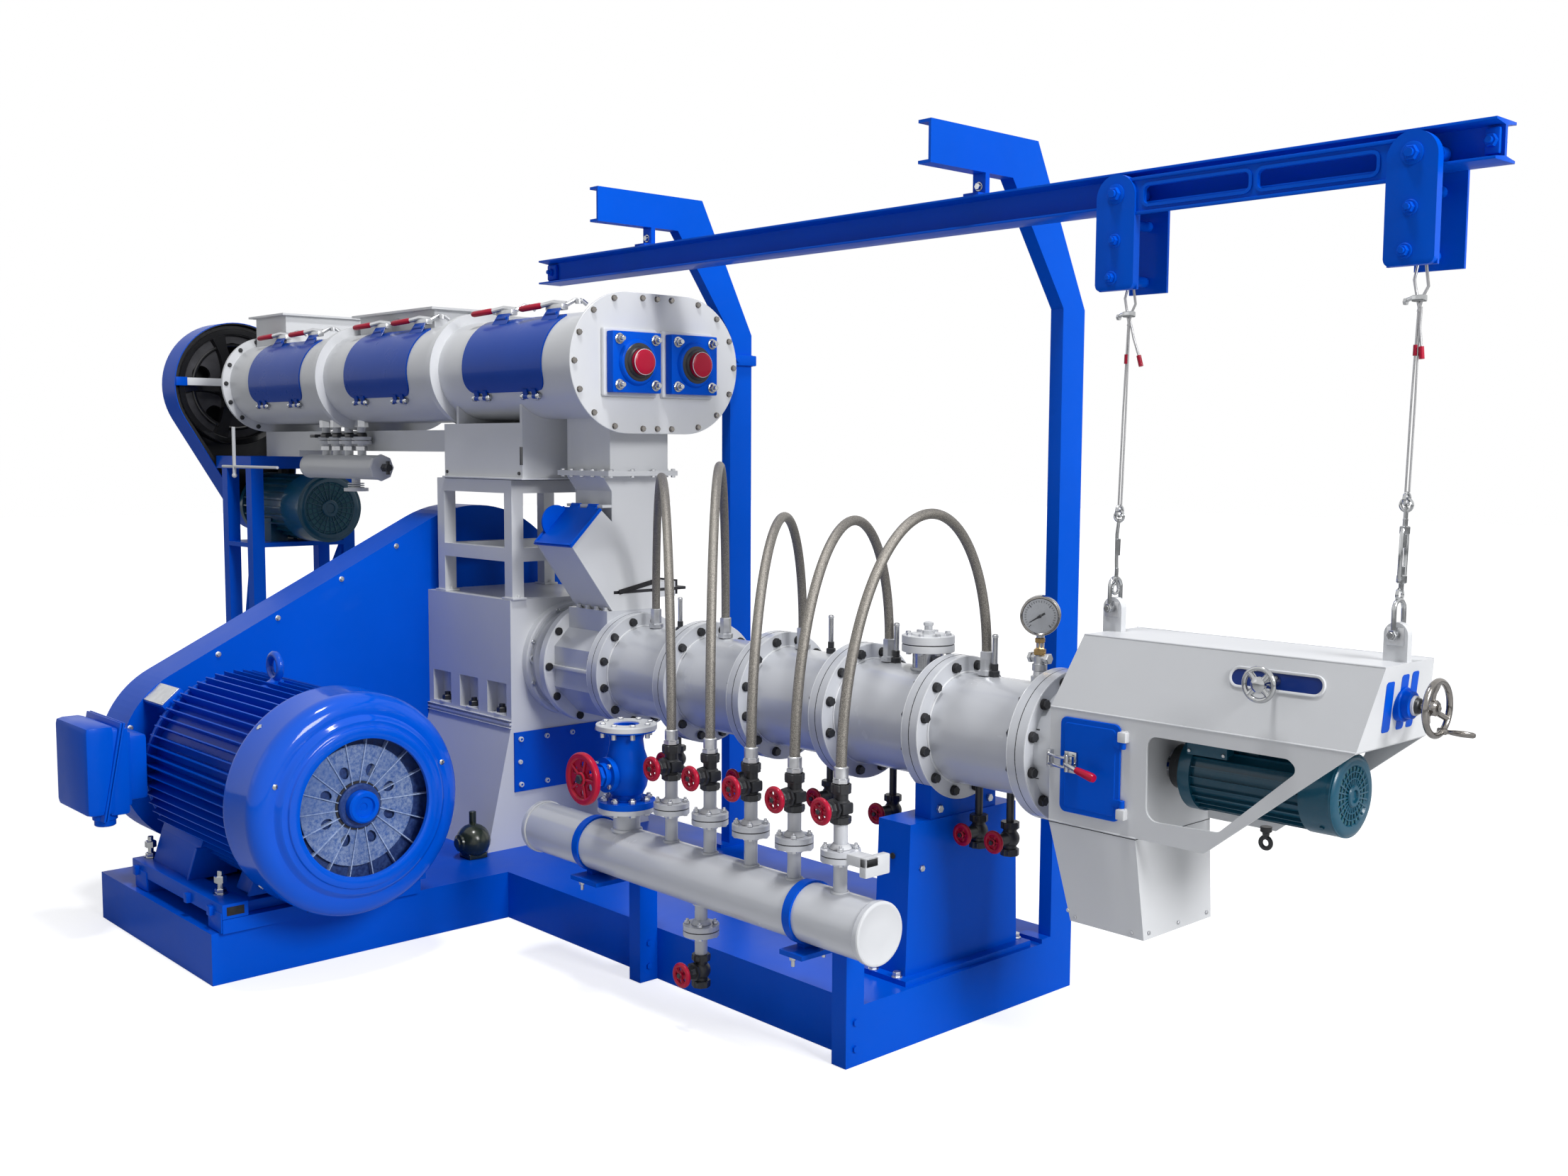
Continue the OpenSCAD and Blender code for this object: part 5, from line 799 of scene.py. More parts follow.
def tower_trim():
    """Foot pads, bolts and the joint line of the box on the tower."""
    pads = Piece("tower_pads", "white_paint")
    black = Piece("tower_bolts", "black_parts")
    lo_x, hi_x, half = -0.745, -0.261, 0.235
    for x in (lo_x, hi_x - 0.046):
        for y in (-half, half - 0.046):
            pads.box((x - 0.012, y - 0.006, 1.0032), (x + 0.058, y + 0.052, 1.011), 0.002)
            for dx in (-0.004, 0.05):
                bolt(pads, (x + dx, y + 0.023, 1.011), Z, 0.006, 0.008)
    for side in (-1, 1):
        for x in (-0.672, -0.21):
            black.hexa((x, side * half, 1.432), Y * side, 0.0065, 0.005)
        for x in (-0.2, -0.19):
            black.box((x - 0.006, side * (half + 0.0004), 1.46), (x + 0.001, side * (half + 0.0012), 1.52),
                0.0003)
    seam = Piece("tower_seam", "hollow")
    seam.box((-0.6908, -half - 0.0008, 1.4085), (-0.1902, half + 0.0008, 1.4102), 0.0003)
    seam.done()
    pads.box((-0.69, -half - 0.012, 1.4108), (-0.179, half + 0.012, 1.4172), 0.002)
    pads.done()
    black.done()


def chute_trim():
    """Flange bolts, gate rails and lid strips of the chute."""
    grey = Piece("chute_bolts", "galvanised")
    spots = [(x, y) for y in (-0.125, -0.04, 0.045, 0.128) for x in (-0.116, 0.154)]
    for x, y in spots + [(x, y) for x in (-0.06, 0, 0.06, 0.115) for y in (-0.13, 0.13)]:
        grey.hexa((x, y, 1.4442), Z, 0.0075, 0.006)
        grey.hexa((x, y, 1.4278), -Z, 0.0075, 0.006)
    grey.done()
    welds = Piece("chute_welds", "white_paint")
    bead = 0.0024
    for x in (-0.1, 0.1):
        welds.tube([(x, -0.083, 1.278), (x, -0.083, 1.378), (x, -0.118, 1.427)], bead, 8)
        welds.tube([(x, 0.099, 1.378), (x, 0.118, 1.427)], bead, 8)
        welds.tube([(x, 0.084, 0.987), (x, 0.099, 1.378)], bead, 8)
        welds.tube([(x, -0.084, 0.987), (x, -0.242, 1.204)], bead, 8)
    welds.done()
    # A thin dark block on the chute's side: painted shade standing in for a slit
    slit = Piece("chute_slit_shade", "hollow")
    slit.box((0.0995, -0.058, 1.052), (0.1035, 0.094, 1.068), 0.001, Matrix.Rotation(radians(11), 3, "X"))
    slit.done()
    lid = Piece("lid_strips", "blue_paint", "bypass_lid")
    low, high = Vector((0, -0.242, 1.204)), Vector((0, -0.127, 1.318))
    along = (high - low).normalized()
    out = Vector((0, -along.z, along.y))
    top = 0.0065
    turn = Matrix((X, along, out)).transposed()
    length = (high - low).length
    centre = (low + high) / 2 + out * (top + 0.0015)
    for x in (-0.101, 0.101):
        half = Vector((0.004, length / 2, 0.0025))
        lid.box(centre + X * x - half, centre + X * x + half, 0.0012, turn)
    half = Vector((0.101, 0.004, 0.0025))
    at = low + out * (top + 0.0015)
    lid.box(at - half, at + half, 0.0012, turn)
    lid.done()


gearbox_trim()
cover_plate_trim()
tower_trim()
chute_trim()


# Conditioner

cond_z = 1.786
lobe_y = 0.116
shell_x0, shell_x1 = -2.400, 0.225
plate_x = 0.233
belt_motor = (0.020, 1.250)


def stadium(x, radius, steps=40):
    """Outline round both lobes of the conditioner."""
    return hull_of((-lobe_y, cond_z), radius, (lobe_y, cond_z), radius, x, steps)


def rim_spots(x, radius):
    """Places of the bolts round the far side of each lobe."""
    return [Vector((x, side * (lobe_y + radius * out.y), cond_z + radius * out.z)) for side in (-1, 1)
        for out in (spoke(-75 + 25 * k) for k in range(7))]


def end_plate():
    plate = Piece("conditioner_end_plate", "white_paint")
    r = 0.222
    plate.loft([stadium(shell_x1, r - 0.001), stadium(shell_x1 + 0.001, r), stadium(plate_x - 0.0015, r),
        stadium(plate_x, r - 0.0015)])
    half, thick = 0.1065, 0.016
    for side in (-1, 1):
        y = side * lobe_y
        plate.box((plate_x - 0.001, y - half, cond_z - half), (plate_x + thick, y + half, cond_z + half),
            0.007)
    plate.done(12, replaces=["conditioner_end_plate"])
    bolts = Piece("end_plate_bolts", "dark_chrome")
    at_r = 0.206
    between = [(plate_x, y, cond_z + side * at_r) for y in (-0.058, 0, 0.058) for side in (-1, 1)]
    for at in rim_spots(plate_x, at_r) + between:
        bolt(bolts, at, X, 0.0088, 0.009, 1.15)
    bolts.done()


def bearings():
    housing = Piece("conditioner_bearings", "blue_paint")
    studs = Piece("bearing_studs", "chrome")
    seals = Piece("bearing_seals", "black_parts")
    half = 0.095
    for x, way in ((plate_x + 0.016, 1), (shell_x0, -1)):
        for side in (-1, 1):
            y = side * lobe_y
            near, far = x, x + way * 0.034
            housing.box((near, y - half, cond_z - half), (far, y + half, cond_z + half), 0.005)
            housing.lathe((far - way * 0.001, y, cond_z), X * way, "0 73, 5 72, 12 66.5, 13 64, 13 40", 64)
            seals.lathe((far + way * 0.008, y, cond_z), X * way,
                "0 60.5, 3.5 60.5, 6 58, 7 50, 14 47.5, 16.5 45, 16.5 30", 64)
            for dy in (-0.071, 0.071):
                for dz in (-0.071, 0.071):
                    at = Vector((far, y + dy, cond_z + dz))
                    studs.lathe(at, X * way, "0 17, 3 17, 3.5 15.5", 28)
                    studs.hexa(at + X * way * 0.0035, X * way, 0.0135, 0.012)
                    studs.rod(at + X * way * 0.014, at + X * way * 0.026, 0.0075, sides=16)
    housing.done(30, replaces=["conditioner_bearings"])
    studs.done()
    seals.done()
    for side, body in ((-1, "left_paddles"), (1, "right_paddles")):
        cap = Piece("shaft_cap_left" if side < 0 else "shaft_cap_right", "red_paint", body)
        cap.lathe((0.303, side * lobe_y, cond_z), X, "0 34, 4 40.5, 18 40.5, 20.5 39, 22.5 35, 23.5 28", 64)
        cap.done(25)
        edge = Piece("cap_ring_left" if side < 0 else "cap_ring_right", "white_paint", body)
        edge.ring((0.3215, side * lobe_y, cond_z), X, 0.0392, 0.0016, 64, 8)
        edge.done()


def shell_bolts():
    bolts = Piece("shell_flange_bolts", "black_parts")
    for x, way in ((shell_x0 + 0.014, 1), (shell_x0, -1)):
        for at in rim_spots(x, 0.189):
            bolts.lathe(at, X * way, "0 9.8, 2 9.8, 2.4 8.5", 20)
            bolts.hexa(at + X * way * 0.002, X * way, 0.0085, 0.007)
    bolts.done()


def lobe(x, turn, radius):
    """A point round the near lobe; turn is in degrees above the horizontal on the viewer's side."""
    return Vector((x, -lobe_y, cond_z)) + spoke(180 - turn) * radius


door_len = 0.480
door_starts = [shell_x0 + 0.875 * i + off for i, off in enumerate((0.206, 0.190, 0.176))]


def access_door(index):
    """Curved sheet door with rounded corners, hinge arms and the ears of its toggle clamps."""
    body = "access_door_%d" % (index + 1)
    x0 = door_starts[index]
    x1 = x0 + door_len
    inner, outer = 0.1725, 0.1765
    low, high = -29.5, 69.0
    corner_low, corner_high = 0.052, 0.022
    arc = radians(high - low) * outer
    loops = []
    steps = [0, 0.004, 0.012, 0.024, 0.038, 0.052]
    places = steps + [0.052 + (arc - 0.09) * k / 18 for k in range(1, 19)]
    places += [arc - v for v in (0.022, 0.015, 0.008, 0.003, 0)]
    for s in sorted(set(places)):
        near_low, near_high = max(0, corner_low - s), max(0, corner_high - (arc - s))
        cut = corner_low - sqrt(corner_low ** 2 - near_low ** 2)
        cut = max(cut, corner_high - sqrt(corner_high ** 2 - near_high ** 2))
        turn = low + degrees(s / outer)
        rim = 0.0015 if 0 < s < arc else 0
        top = outer if rim else outer - 0.0015
        a, b = x0 + cut, x1 - cut
        loops.append([lobe(a, turn, inner), lobe(a, turn, outer - 0.0015), lobe(a + 0.002, turn, top),
            lobe(b - 0.002, turn, top), lobe(b, turn, outer - 0.0015), lobe(b, turn, inner)])
    # The door sheet, knuckles, hinge arms and clamp ears take the blue darkened as painted shade
    door = Piece("door_sheet_%d" % (index + 1), "door_blue_painted_shade", body)
    door.loft(loops)
    pins = Piece("door_pins_%d" % (index + 1), "chrome", body)
    hinge = Vector((0, -0.2677, 1.6837))
    for share in (0.16, 0.78):
        x = x0 + door_len * share
        for w in (x - 0.0255, x + 0.0255):
            knuckle = Vector((w, hinge.y, hinge.z))
            door.lathe(knuckle, X, "0 6.8, 1 7.8, 23 7.8, 24 6.8", 24)
            top = lobe(w, -26, 0.1767)
            out = Vector((0, -cos(radians(-26)), sin(radians(-26))))
            down = (hinge - Vector((0, top.y, top.z)))
            end = top + Vector((0, down.y, down.z))
            door.loft([[top + X * e + out * d for e, d in ((0, 0), (0.024, 0), (0.024, 0.004), (0, 0.004))],
                [end + X * e + out * d for e, d in ((0, -0.003), (0.024, -0.003), (0.024, 0.003),
                (0, 0.003))]])
            pins.lathe(Vector((w + (0.024 if w > x else 0), hinge.y, hinge.z)), X if w > x else -X,
                "0 8.5, 2 10.5, 11 10.5, 14 8, 15.5 4", 24)
    latches = Piece("door_clamps_%d" % (index + 1), "galvanised", body)
    handles = Piece("door_handles_%d" % (index + 1), "red_paint", body)
    for share in (0.24, 0.86):
        x = x0 + door_len * share
        ear = [lobe(x + dx, turn, r) for dx, turn, r in ((-0.045, 56, 0.177), (0.045, 56, 0.177),
            (0.036, 68, 0.202), (-0.036, 68, 0.202))]
        up = lobe(0, 90, 0) - lobe(0, 0, 0)
        thick = Vector((0, 0.004, 0.004))
        door.loft([ear, [p + thick for p in ear]])
        door.lathe(lobe(x - 0.03, 63, 0.186), X, "0 6, 1 7.5, 59 7.5, 60 6", 16)
        base = lobe(x, 71, 0.196)
        latches.box(base - Vector((0.05, 0.014, 0.008)), base + Vector((0.045, 0.012, 0.012)), 0.004)
        arm = lobe(x + 0.03, 76, 0.204)
        tail = lobe(x - 0.055, 66, 0.214)
        latches.tube([arm, (arm + tail) / 2 + Vector((0, -0.002, 0.007)), tail], 0.0085, 10)
        latches.tube([base + Vector((0.035, 0.006, 0.006)), lobe(x + 0.04, 84, 0.213),
            lobe(x + 0.062, 88, 0.208), lobe(x + 0.064, 92, 0.198)], 0.0075, 10)
        latches.lathe(lobe(x + 0.05, 86, 0.2), lobe(0, 86, 1) - lobe(0, 86, 0), "0 12, 14 12, 17 9", 20)
        grip = lobe(x - 0.15, 60, 0.217)
        handles.tube([tail, tail * 0.9 + grip * 0.1, grip * 0.9 + tail * 0.1, grip], lambda t: 0.0105
            if 0.05 < t < 0.95 else 0.008, 16)
    door.done(30, replaces=[body])
    pins.done()
    latches.done()
    handles.done()


def pulley_guard():
    """Pan of the belt guard: blue outside, black inside, with a thin front edge."""
    lo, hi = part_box("conditioner_guard")
    big_c, small_c = (-lobe_y, cond_z), belt_motor
    big_r, small_r = hi.z - cond_z, small_c[1] - lo.z
    wall = 0.003
    pan = Piece("conditioner_guard", "blue_paint")

    def loop(x, inset):
        return hull_of(small_c, small_r - inset, big_c, big_r - inset, x)

    pan.loft([loop(lo.x, 0.002), loop(lo.x + 0.002, 0), loop(hi.x - 0.001, 0), loop(hi.x, 0.001),
        loop(hi.x, wall), loop(lo.x + 0.02, wall), loop(lo.x + wall, 0.02)])
    pan.done(30, replaces=["conditioner_guard"])
    liner = Piece("conditioner_guard_lining", "black_parts")
    liner.loft([loop(lo.x + wall + 0.0005, 0.0215), loop(lo.x + 0.02, wall + 0.0005),
        loop(hi.x - 0.004, wall + 0.0005), loop(hi.x - 0.004, wall + 0.0035),
        loop(lo.x + 0.022, wall + 0.0035), loop(lo.x + wall + 0.003, 0.024)])
    liner.done(30)
    wheel = Piece("pulley_spokes", "gloss_black", "left_paddles")
    face = -2.724
    at = Vector((face, -lobe_y, cond_z))
    wheel.lathe(at - X * 0.004, X, "0 261.5, 6 261.5, 8 259.5, 8 238, 2 233, -18 229", 96, hollow=True)
    wheel.lathe(at - X * 0.02, X, "0 81, 16 78, 22 74, 24 50, 24 33", 64)
    wheel.lathe(at - X * 0.02, X, "0 196, 6 196, 10 191, 10 186, 6 181, 0 181", 96, hollow=True)
    for out in spokes(5, 36):
        across = X.cross(out)
        loops = []
        for share in (0, 0.25, 0.5, 0.75, 1):
            radius = 0.07 + 0.17 * share
            w = 0.026 + 0.014 * (2 * share - 1) ** 2
            p = at + out * radius
            loops.append([p - across * w - X * 0.022, p - across * w * 0.8 - X * 0.003,
                p + across * w * 0.8 - X * 0.003, p + across * w - X * 0.022])
        wheel.loft(loops)
    wheel.done(30)
    bar = Piece("guard_stay_blue", "blue_paint")
    y0 = -lobe_y - big_r + wall
    bar.box((-2.712, y0, cond_z - 0.002), (-2.690, y0 + 0.05, cond_z + 0.036), 0.002)
    bar.done()
    stay = Piece("guard_stay", "white_paint")
    stay.box((-2.711, y0 + 0.05, cond_z), (-2.691, -0.16, cond_z + 0.034), 0.002)
    stay.box((-2.711, -0.16, cond_z - 0.02), (-2.401, -0.14, cond_z + 0.034), 0.002)
    stay.done()


def manifold():
    grey = Piece("manifold_fittings", "galvanised")
    pale = Piece("manifold_caps", "white_paint")
    black = Piece("manifold_plugs", "black_parts")
    x0, x1, y, z, r = -1.9161, -1.3211, -0.150, 1.437, 0.048
    pale.lathe((x1 - 0.002, y, z), X, "0 52, 12 52, 16 48", 8)
    pale.lathe((x0 - 0.008, y, z), X, "0 46, 6 50, 12 50", 32)
    pale.rod((x1 + 0.01, y, z), (x1 + 0.05, y, z), 0.0105, sides=20)
    black.hexa((x1 + 0.03, y, z), X, 0.017, 0.022)
    black.rod((x1 + 0.045, y, z), (x1 + 0.072, y, z), 0.014, sides=20)
    black.rod((x1 + 0.06, y, z - 0.026), (x1 + 0.06, y, z + 0.026), 0.008, sides=16)
    for share in (0.24, 0.4, 0.57, 0.75):
        x = x0 + (x1 - x0) * share
        grey.lathe((x, y, z + r + 0.018), Z, "0 22, 16 22, 18 19", 6)
        grey.lathe((x, y, z + r + 0.11), Z, "0 26, 30 26, 32 22", 6)
        black.rod((x, y - 0.05, z + r + 0.075), (x, y - 0.012, z + r + 0.075), 0.007, sides=16)
        black.ball((x, y, z + r + 0.075), 0.022)
        black.box((x - 0.03, y - 0.058, z + r + 0.069), (x + 0.014, y - 0.05, z + r + 0.081), 0.003)
    grey.done()
    x = x0 + (x1 - x0) * 0.66
    for dz in (0.004, 0.012, 0.02, 0.028):
        pale.lathe((x, y, z - 2 * r + dz), Z, "0 30, 1 32.5, 4 32.5, 5 30", 32)
    pale.rod((-2.335, -0.30, 1.395), (-2.335, -0.30, 1.60), 0.0075, sides=16)
    pale.rod((-2.455, -0.30, 1.43), (-1.91, -0.30, 1.43), 0.006, sides=16)
    pale.ball((-2.335, -0.30, 1.392), 0.011)
    pale.done()
    black.done()


def small_motor(name, at, axis, radius, body):
    """End of a small motor's fan cover: rolled rim, dusty grille with rings and a hub."""
    rim = Piece(name + "_cowl", "teal_paint", body)
    at, axis = Vector(at), Vector(axis).normalized()
    rim.lathe(at - axis * 0.012, axis, [(0, radius + 0.0005), (0.008, radius + 0.001),
        (0.014, radius - 0.003), (0.0175, radius - 0.01), (0.0175, radius - 0.024), (0.013, radius - 0.028),
        (0.011, radius - 0.028)], 72, hollow=True)
    rim.lathe(at, axis, [(0, radius * 0.27), (0.006, radius * 0.27), (0.009, radius * 0.24),
        (0.009, radius * 0.16), (0.004, radius * 0.14)], 40)
    turn = axis.to_track_quat("Z", "Y")
    for out in (turn @ v for v in spokes(24, 0, "z")):
        rim.rod(at + out * radius * 0.26 + axis * 0.003, at + out * (radius - 0.02) + axis * 0.003, 0.0022,
            sides=8)
    for share in (0.42, 0.58, 0.74):
        rim.ring(at + axis * 0.003, axis, radius * share, 0.002, 56, 6)
    for out in (turn @ v for v in spokes(4, 45, "z")):
        rim.hexa(at + out * radius - axis * 0.03, out, 0.006, 0.004)
    rim.done()
    dust = Piece(name + "_grille", "teal_dust", body)
    dust.disc(at, axis, radius - 0.026, 0.0008, 48)
    dust.done()


end_plate()
bearings()
shell_bolts()
for door_index in range(3):
    access_door(door_index)
pulley_guard()
manifold()
small_motor("conditioner_motor", (-2.100, *belt_motor), X, 0.1385, "root")


# Steam header, valves, hoses and barrel

header_y, header_z, header_r = -0.560, 0.402, 0.073
branches = [1.008 + 0.160 * k for k in range(5)]
drain_x = 1.132
valve_z, drain_z, inlet_wheel_z = 0.678, 0.152, 0.6309
inlet_x = 0.810
barrel_r, flange_r = 0.146, 0.190
feed_end, section_len = 0.128, 0.348
joints_x = [feed_end + section_len * k for k in range(6)]
ports_x = [feed_end + section_len * (k + 0.28) for k in range(5)]


def flange_trim(white_bits, dark, bolts, x, z, gasket=0.048):
    """Bolts and the gasket of a small flange pair."""
    dark.disc((x, header_y, z - 0.0021), Z, gasket - 0.003, 0.0042, 32)
    for out in spokes(4, 45, "z"):
        at = Vector((x, header_y, z)) + out * 0.0365
        bolts.hexa(at + Z * 0.0155, Z, 0.0075, 0.0075)
        bolts.rod(at + Z * 0.022, at + Z * 0.028, 0.004, sides=12)
        bolts.hexa(at - Z * 0.0155, -Z, 0.0075, 0.0065)
    for side in (-1, 1):
        white_bits.lathe((x, header_y, z + side * 0.0155), Z * side, "0 27, 5 24, 11 19.5", 32)


def solid_wheel(body, at, radius, tube, gaps):
    """Fat rim and a web with a ring of small gaps, over a handwheel across Y."""
    wheel = Piece(body + "_rim", "red_paint", body)
    wheel.ring(at, Y, radius, tube, 56, 14)
    front = at + Y * tube * 0.3
    loops = [[front + out * radius for out in spokes(48, 0, "y")]]
    for middle in spokes(gaps, 180 / gaps, "y"):
        loops.append([front + (middle * 0.62 + out * 0.17) * radius for out in spokes(14, 0, "y")])
    wheel.plate(loops, Y * -tube * 0.6)
    wheel.lathe(at + Y * tube, -Y, [(0, radius * 0.3), (tube * 1.8, radius * 0.32),
        (tube * 2.2, radius * 0.27)], 28)
    wheel.done()


def steam_line():
    white_bits = Piece("header_welds", "white_paint")
    dark = Piece("header_gaskets", "black_parts")
    bolts = Piece("header_bolts", "galvanised")
    for x in branches:
        flange_trim(white_bits, dark, bolts, x, 0.565)
        white_bits.ring((x, header_y, header_z + header_r - 0.0015), Z, 0.019, 0.0036, 40, 10)
    end = branches[-1]
    white_bits.box((end + 0.034, header_y - 0.022, 0.552), (end + 0.105, header_y + 0.022, 0.578), 0.004)
    white_bits.box((end + 0.083, header_y - 0.022, 0.530), (end + 0.105, header_y + 0.060, 0.578), 0.004)
    flange_trim(white_bits, dark, bolts, drain_x, 0.262)
    white_bits.ring((drain_x, header_y, header_z - header_r + 0.0015), Z, 0.019, 0.0036, 40, 10)
    white_bits.ring((inlet_x, header_y, header_z + header_r - 0.006), Z, 0.039, 0.005, 48, 10)
    for x, way in ((1.776, 1), (0.400, -1)):
        white_bits.lathe((x, header_y, header_z), X * way,
            "0 76.5, 3 75.5, 4.5 72.5, 4.5 69, 2.5 66, 2.5 30", 64)
        white_bits.ring((x - way * 0.0125, header_y, header_z), X, header_r + 0.0005, 0.0032, 64, 8)
    # Angle valve: flange bolts, gaskets and gland
    for out in spokes(8, 22.5, "z"):
        at = Vector((inlet_x, header_y, 0)) + out * 0.0625
        bolts.hexa(at + Z * 0.5535, Z, 0.0105, 0.009)
        bolts.rod(at + Z * 0.560, at + Z * 0.567, 0.006, sides=12)
        bolts.hexa(at + Z * 0.522, -Z, 0.0105, 0.008)
    dark.disc((inlet_x, header_y, 0.5348), Z, 0.072, 0.002, 40)
    blue_bits = Piece("angle_valve_ribs", "blue_paint")
    blue_bits.lathe((inlet_x, header_y, 0.572), Z, "0 46, 20 56, 50 62, 90 60, 120 50, 150 46, 165 52", 40)
    centre = Vector((inlet_x, header_y, 0.631))
    blue_bits.ring(centre, Y, 0.0415, 0.0045, 48, 10)
    blue_bits.lathe(centre + Vector((0, -0.089, 0)), -Y, "0 30, 12 28, 14 24", 6)
    for out in spokes(4, 45, "y"):
        bolts.hexa(centre - Y * 0.077 + out * 0.0395, -Y, 0.007, 0.006)
    for z in (0.5545, 0.7365):
        blue_bits.ring((inlet_x, header_y, z), Z, 0.042, 0.005, 48, 10)
    blue_bits.done()
    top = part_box("angle_valve")[1].z
    white_bits.lathe((inlet_x, header_y, top), Z, "-12 83.5, 1 84.5, 3 83, 3 36, -12 36", 64, hollow=True)
    for out in spokes(8, 22.5, "z"):
        at = Vector((inlet_x, header_y, top + 0.003)) + out * 0.0665
        bolts.hexa(at, Z, 0.0085, 0.006)
        bolts.rod(at - Z * 0.036, at - Z * 0.015, 0.007, sides=12)
    hub = Piece("angle_valve_hub", "black_parts", "angle_valve_wheel")
    lo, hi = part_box("angle_valve_wheel")
    wheel_r = (hi.x - lo.x) / 2
    tube = 0.0105
    solid_wheel("angle_valve_wheel", Vector((inlet_x, lo.y + tube, inlet_wheel_z)), wheel_r - tube, tube, 6)
    hub.hexa((inlet_x, lo.y + 0.001, inlet_wheel_z), -Y, 0.0135, 0.009)
    hub.lathe((inlet_x, lo.y + 0.004, inlet_wheel_z), -Y, "0 20, 2 20, 2.5 18", 28)
    hub.done()
    white_bits.done()
    dark.done()
    # Straps and posts
    for x in (0.669, 1.541):
        for side in (-1, 1):
            bolt(bolts, (x, header_y + side * 0.052, header_z - header_r - 0.028), -Z, 0.0085, 0.009)
            bolts.rod((x, header_y + side * 0.0515, header_z - header_r - 0.036),
                (x, header_y + side * 0.0515, header_z - header_r - 0.052), 0.005, sides=12)
    bolts.done()


def valve_trim():
    black = Piece("valve_details", "black_parts")
    ferrules = Piece("hose_fittings", "galvanised")
    for x in branches:
        black.lathe((x, header_y, 0.641), Z, "0 24, 2 26.5, 14 26.5, 16 24", 6)
        black.lathe((x, header_y, 0.716), Z, "0 23.5, 2 25.5, 17 25.5, 19 23", 6)
        black.lathe((x, header_y - 0.020, valve_z), -Y,
            "0 23.5, 3 25.5, 9 25.5, 11 19.5, 21 17.5, 23.5 18.5, 28.5 15.5", 8)
        black.box((x - 0.026, header_y - 0.018, 0.664), (x + 0.026, header_y + 0.018, 0.692), 0.006)
        ferrules.lathe((x, header_y, 0.7352), Z,
            "0 18.5, 1.5 20.5, 11 20.5, 12.5 17.5, 14 17.2, 30 17.2, 32 15.5", 6)
        ferrules.lathe((x, header_y, 0.7495), Z, "0 17.6, 24 17.6, 26 15", 28)
    black.lathe((drain_x, header_y - 0.020, drain_z), -Y,
        "0 23.5, 3 25.5, 9 25.5, 11 19.5, 21 17.5, 28.5 15.5", 8)
    for z in (0.110, 0.180):
        black.lathe((drain_x, header_y, z), Z, "0 23.5, 2 25.5, 13 25.5, 15 23", 6)
    for x in ports_x:
        ferrules.lathe((x, 0, 0.9345), Z, "0 21.5, 1.5 23.5, 13 23.5, 15 19, 16 17.6, 62 17.6, 64 15", 6)
    ferrules.done()
    hoses = Piece("braided_hoses", "hose_braid")
    low, high = 0.762, 0.986
    for x, port_x, rise in zip(branches, ports_x, (0.555, 0.591, 0.455, 0.455, 0.482)):
        route = []
        for k in range(61):
            s = k / 60
            u = (1 - cos(pi * s)) / 2
            route.append((x + (port_x - x) * u, header_y * (1 - u),
                low + (high - low) * s + rise * sin(pi * s)))
        hoses.tube([(x, header_y, low - 0.016)] + route + [(port_x, 0, high - 0.048)], 0.013, 20)
    hoses.done(60, replaces=["steam_hoses"])
    drains = (0.340, 0.685, 1.040, 1.290, 1.600, 1.705)
    red = Piece("condensate_wheels", "red_paint")
    for x in drains:
        c = Vector((x, -0.0655, 0.520))
        red.ring(c, Y, 0.0235, 0.0068, 40, 12)
        red.disc(c + Y * 0.002, -Y, 0.022, 0.003, 32)
        for out in spokes(5, 0, "y"):
            red.rod(c + out * 0.006, c + out * 0.022, 0.0042, sides=10)
        red.lathe(c + Y * 0.006, -Y, "0 9.5, 12 9.5, 14 7", 20)
        black.hexa(c - Y * 0.008, -Y, 0.0062, 0.006)
        for z in (0.478, 0.548):
            black.lathe((x, 0, z), Z, "0 23.5, 2 25.5, 13 25.5, 15 23", 6)
    red.done()
    black.done()
    wheels = [("valve_wheel_%d" % (k + 1), x, valve_z) for k, x in enumerate(branches)]
    for body, x, z in wheels + [("drain_wheel", drain_x, drain_z)]:
        c = Vector((x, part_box(body)[0].y + 0.0062, z))
        solid_wheel(body, c, 0.0265, 0.0068, 5)
        nut = Piece(body + "_nut", "black_parts", body)
        nut.lathe(c - Y * 0.0062, -Y, "0 8.5, 1 8.5, 1.2 7.5", 20)
        nut.hexa(c - Y * 0.007, -Y, 0.0068, 0.0052)
        nut.done()


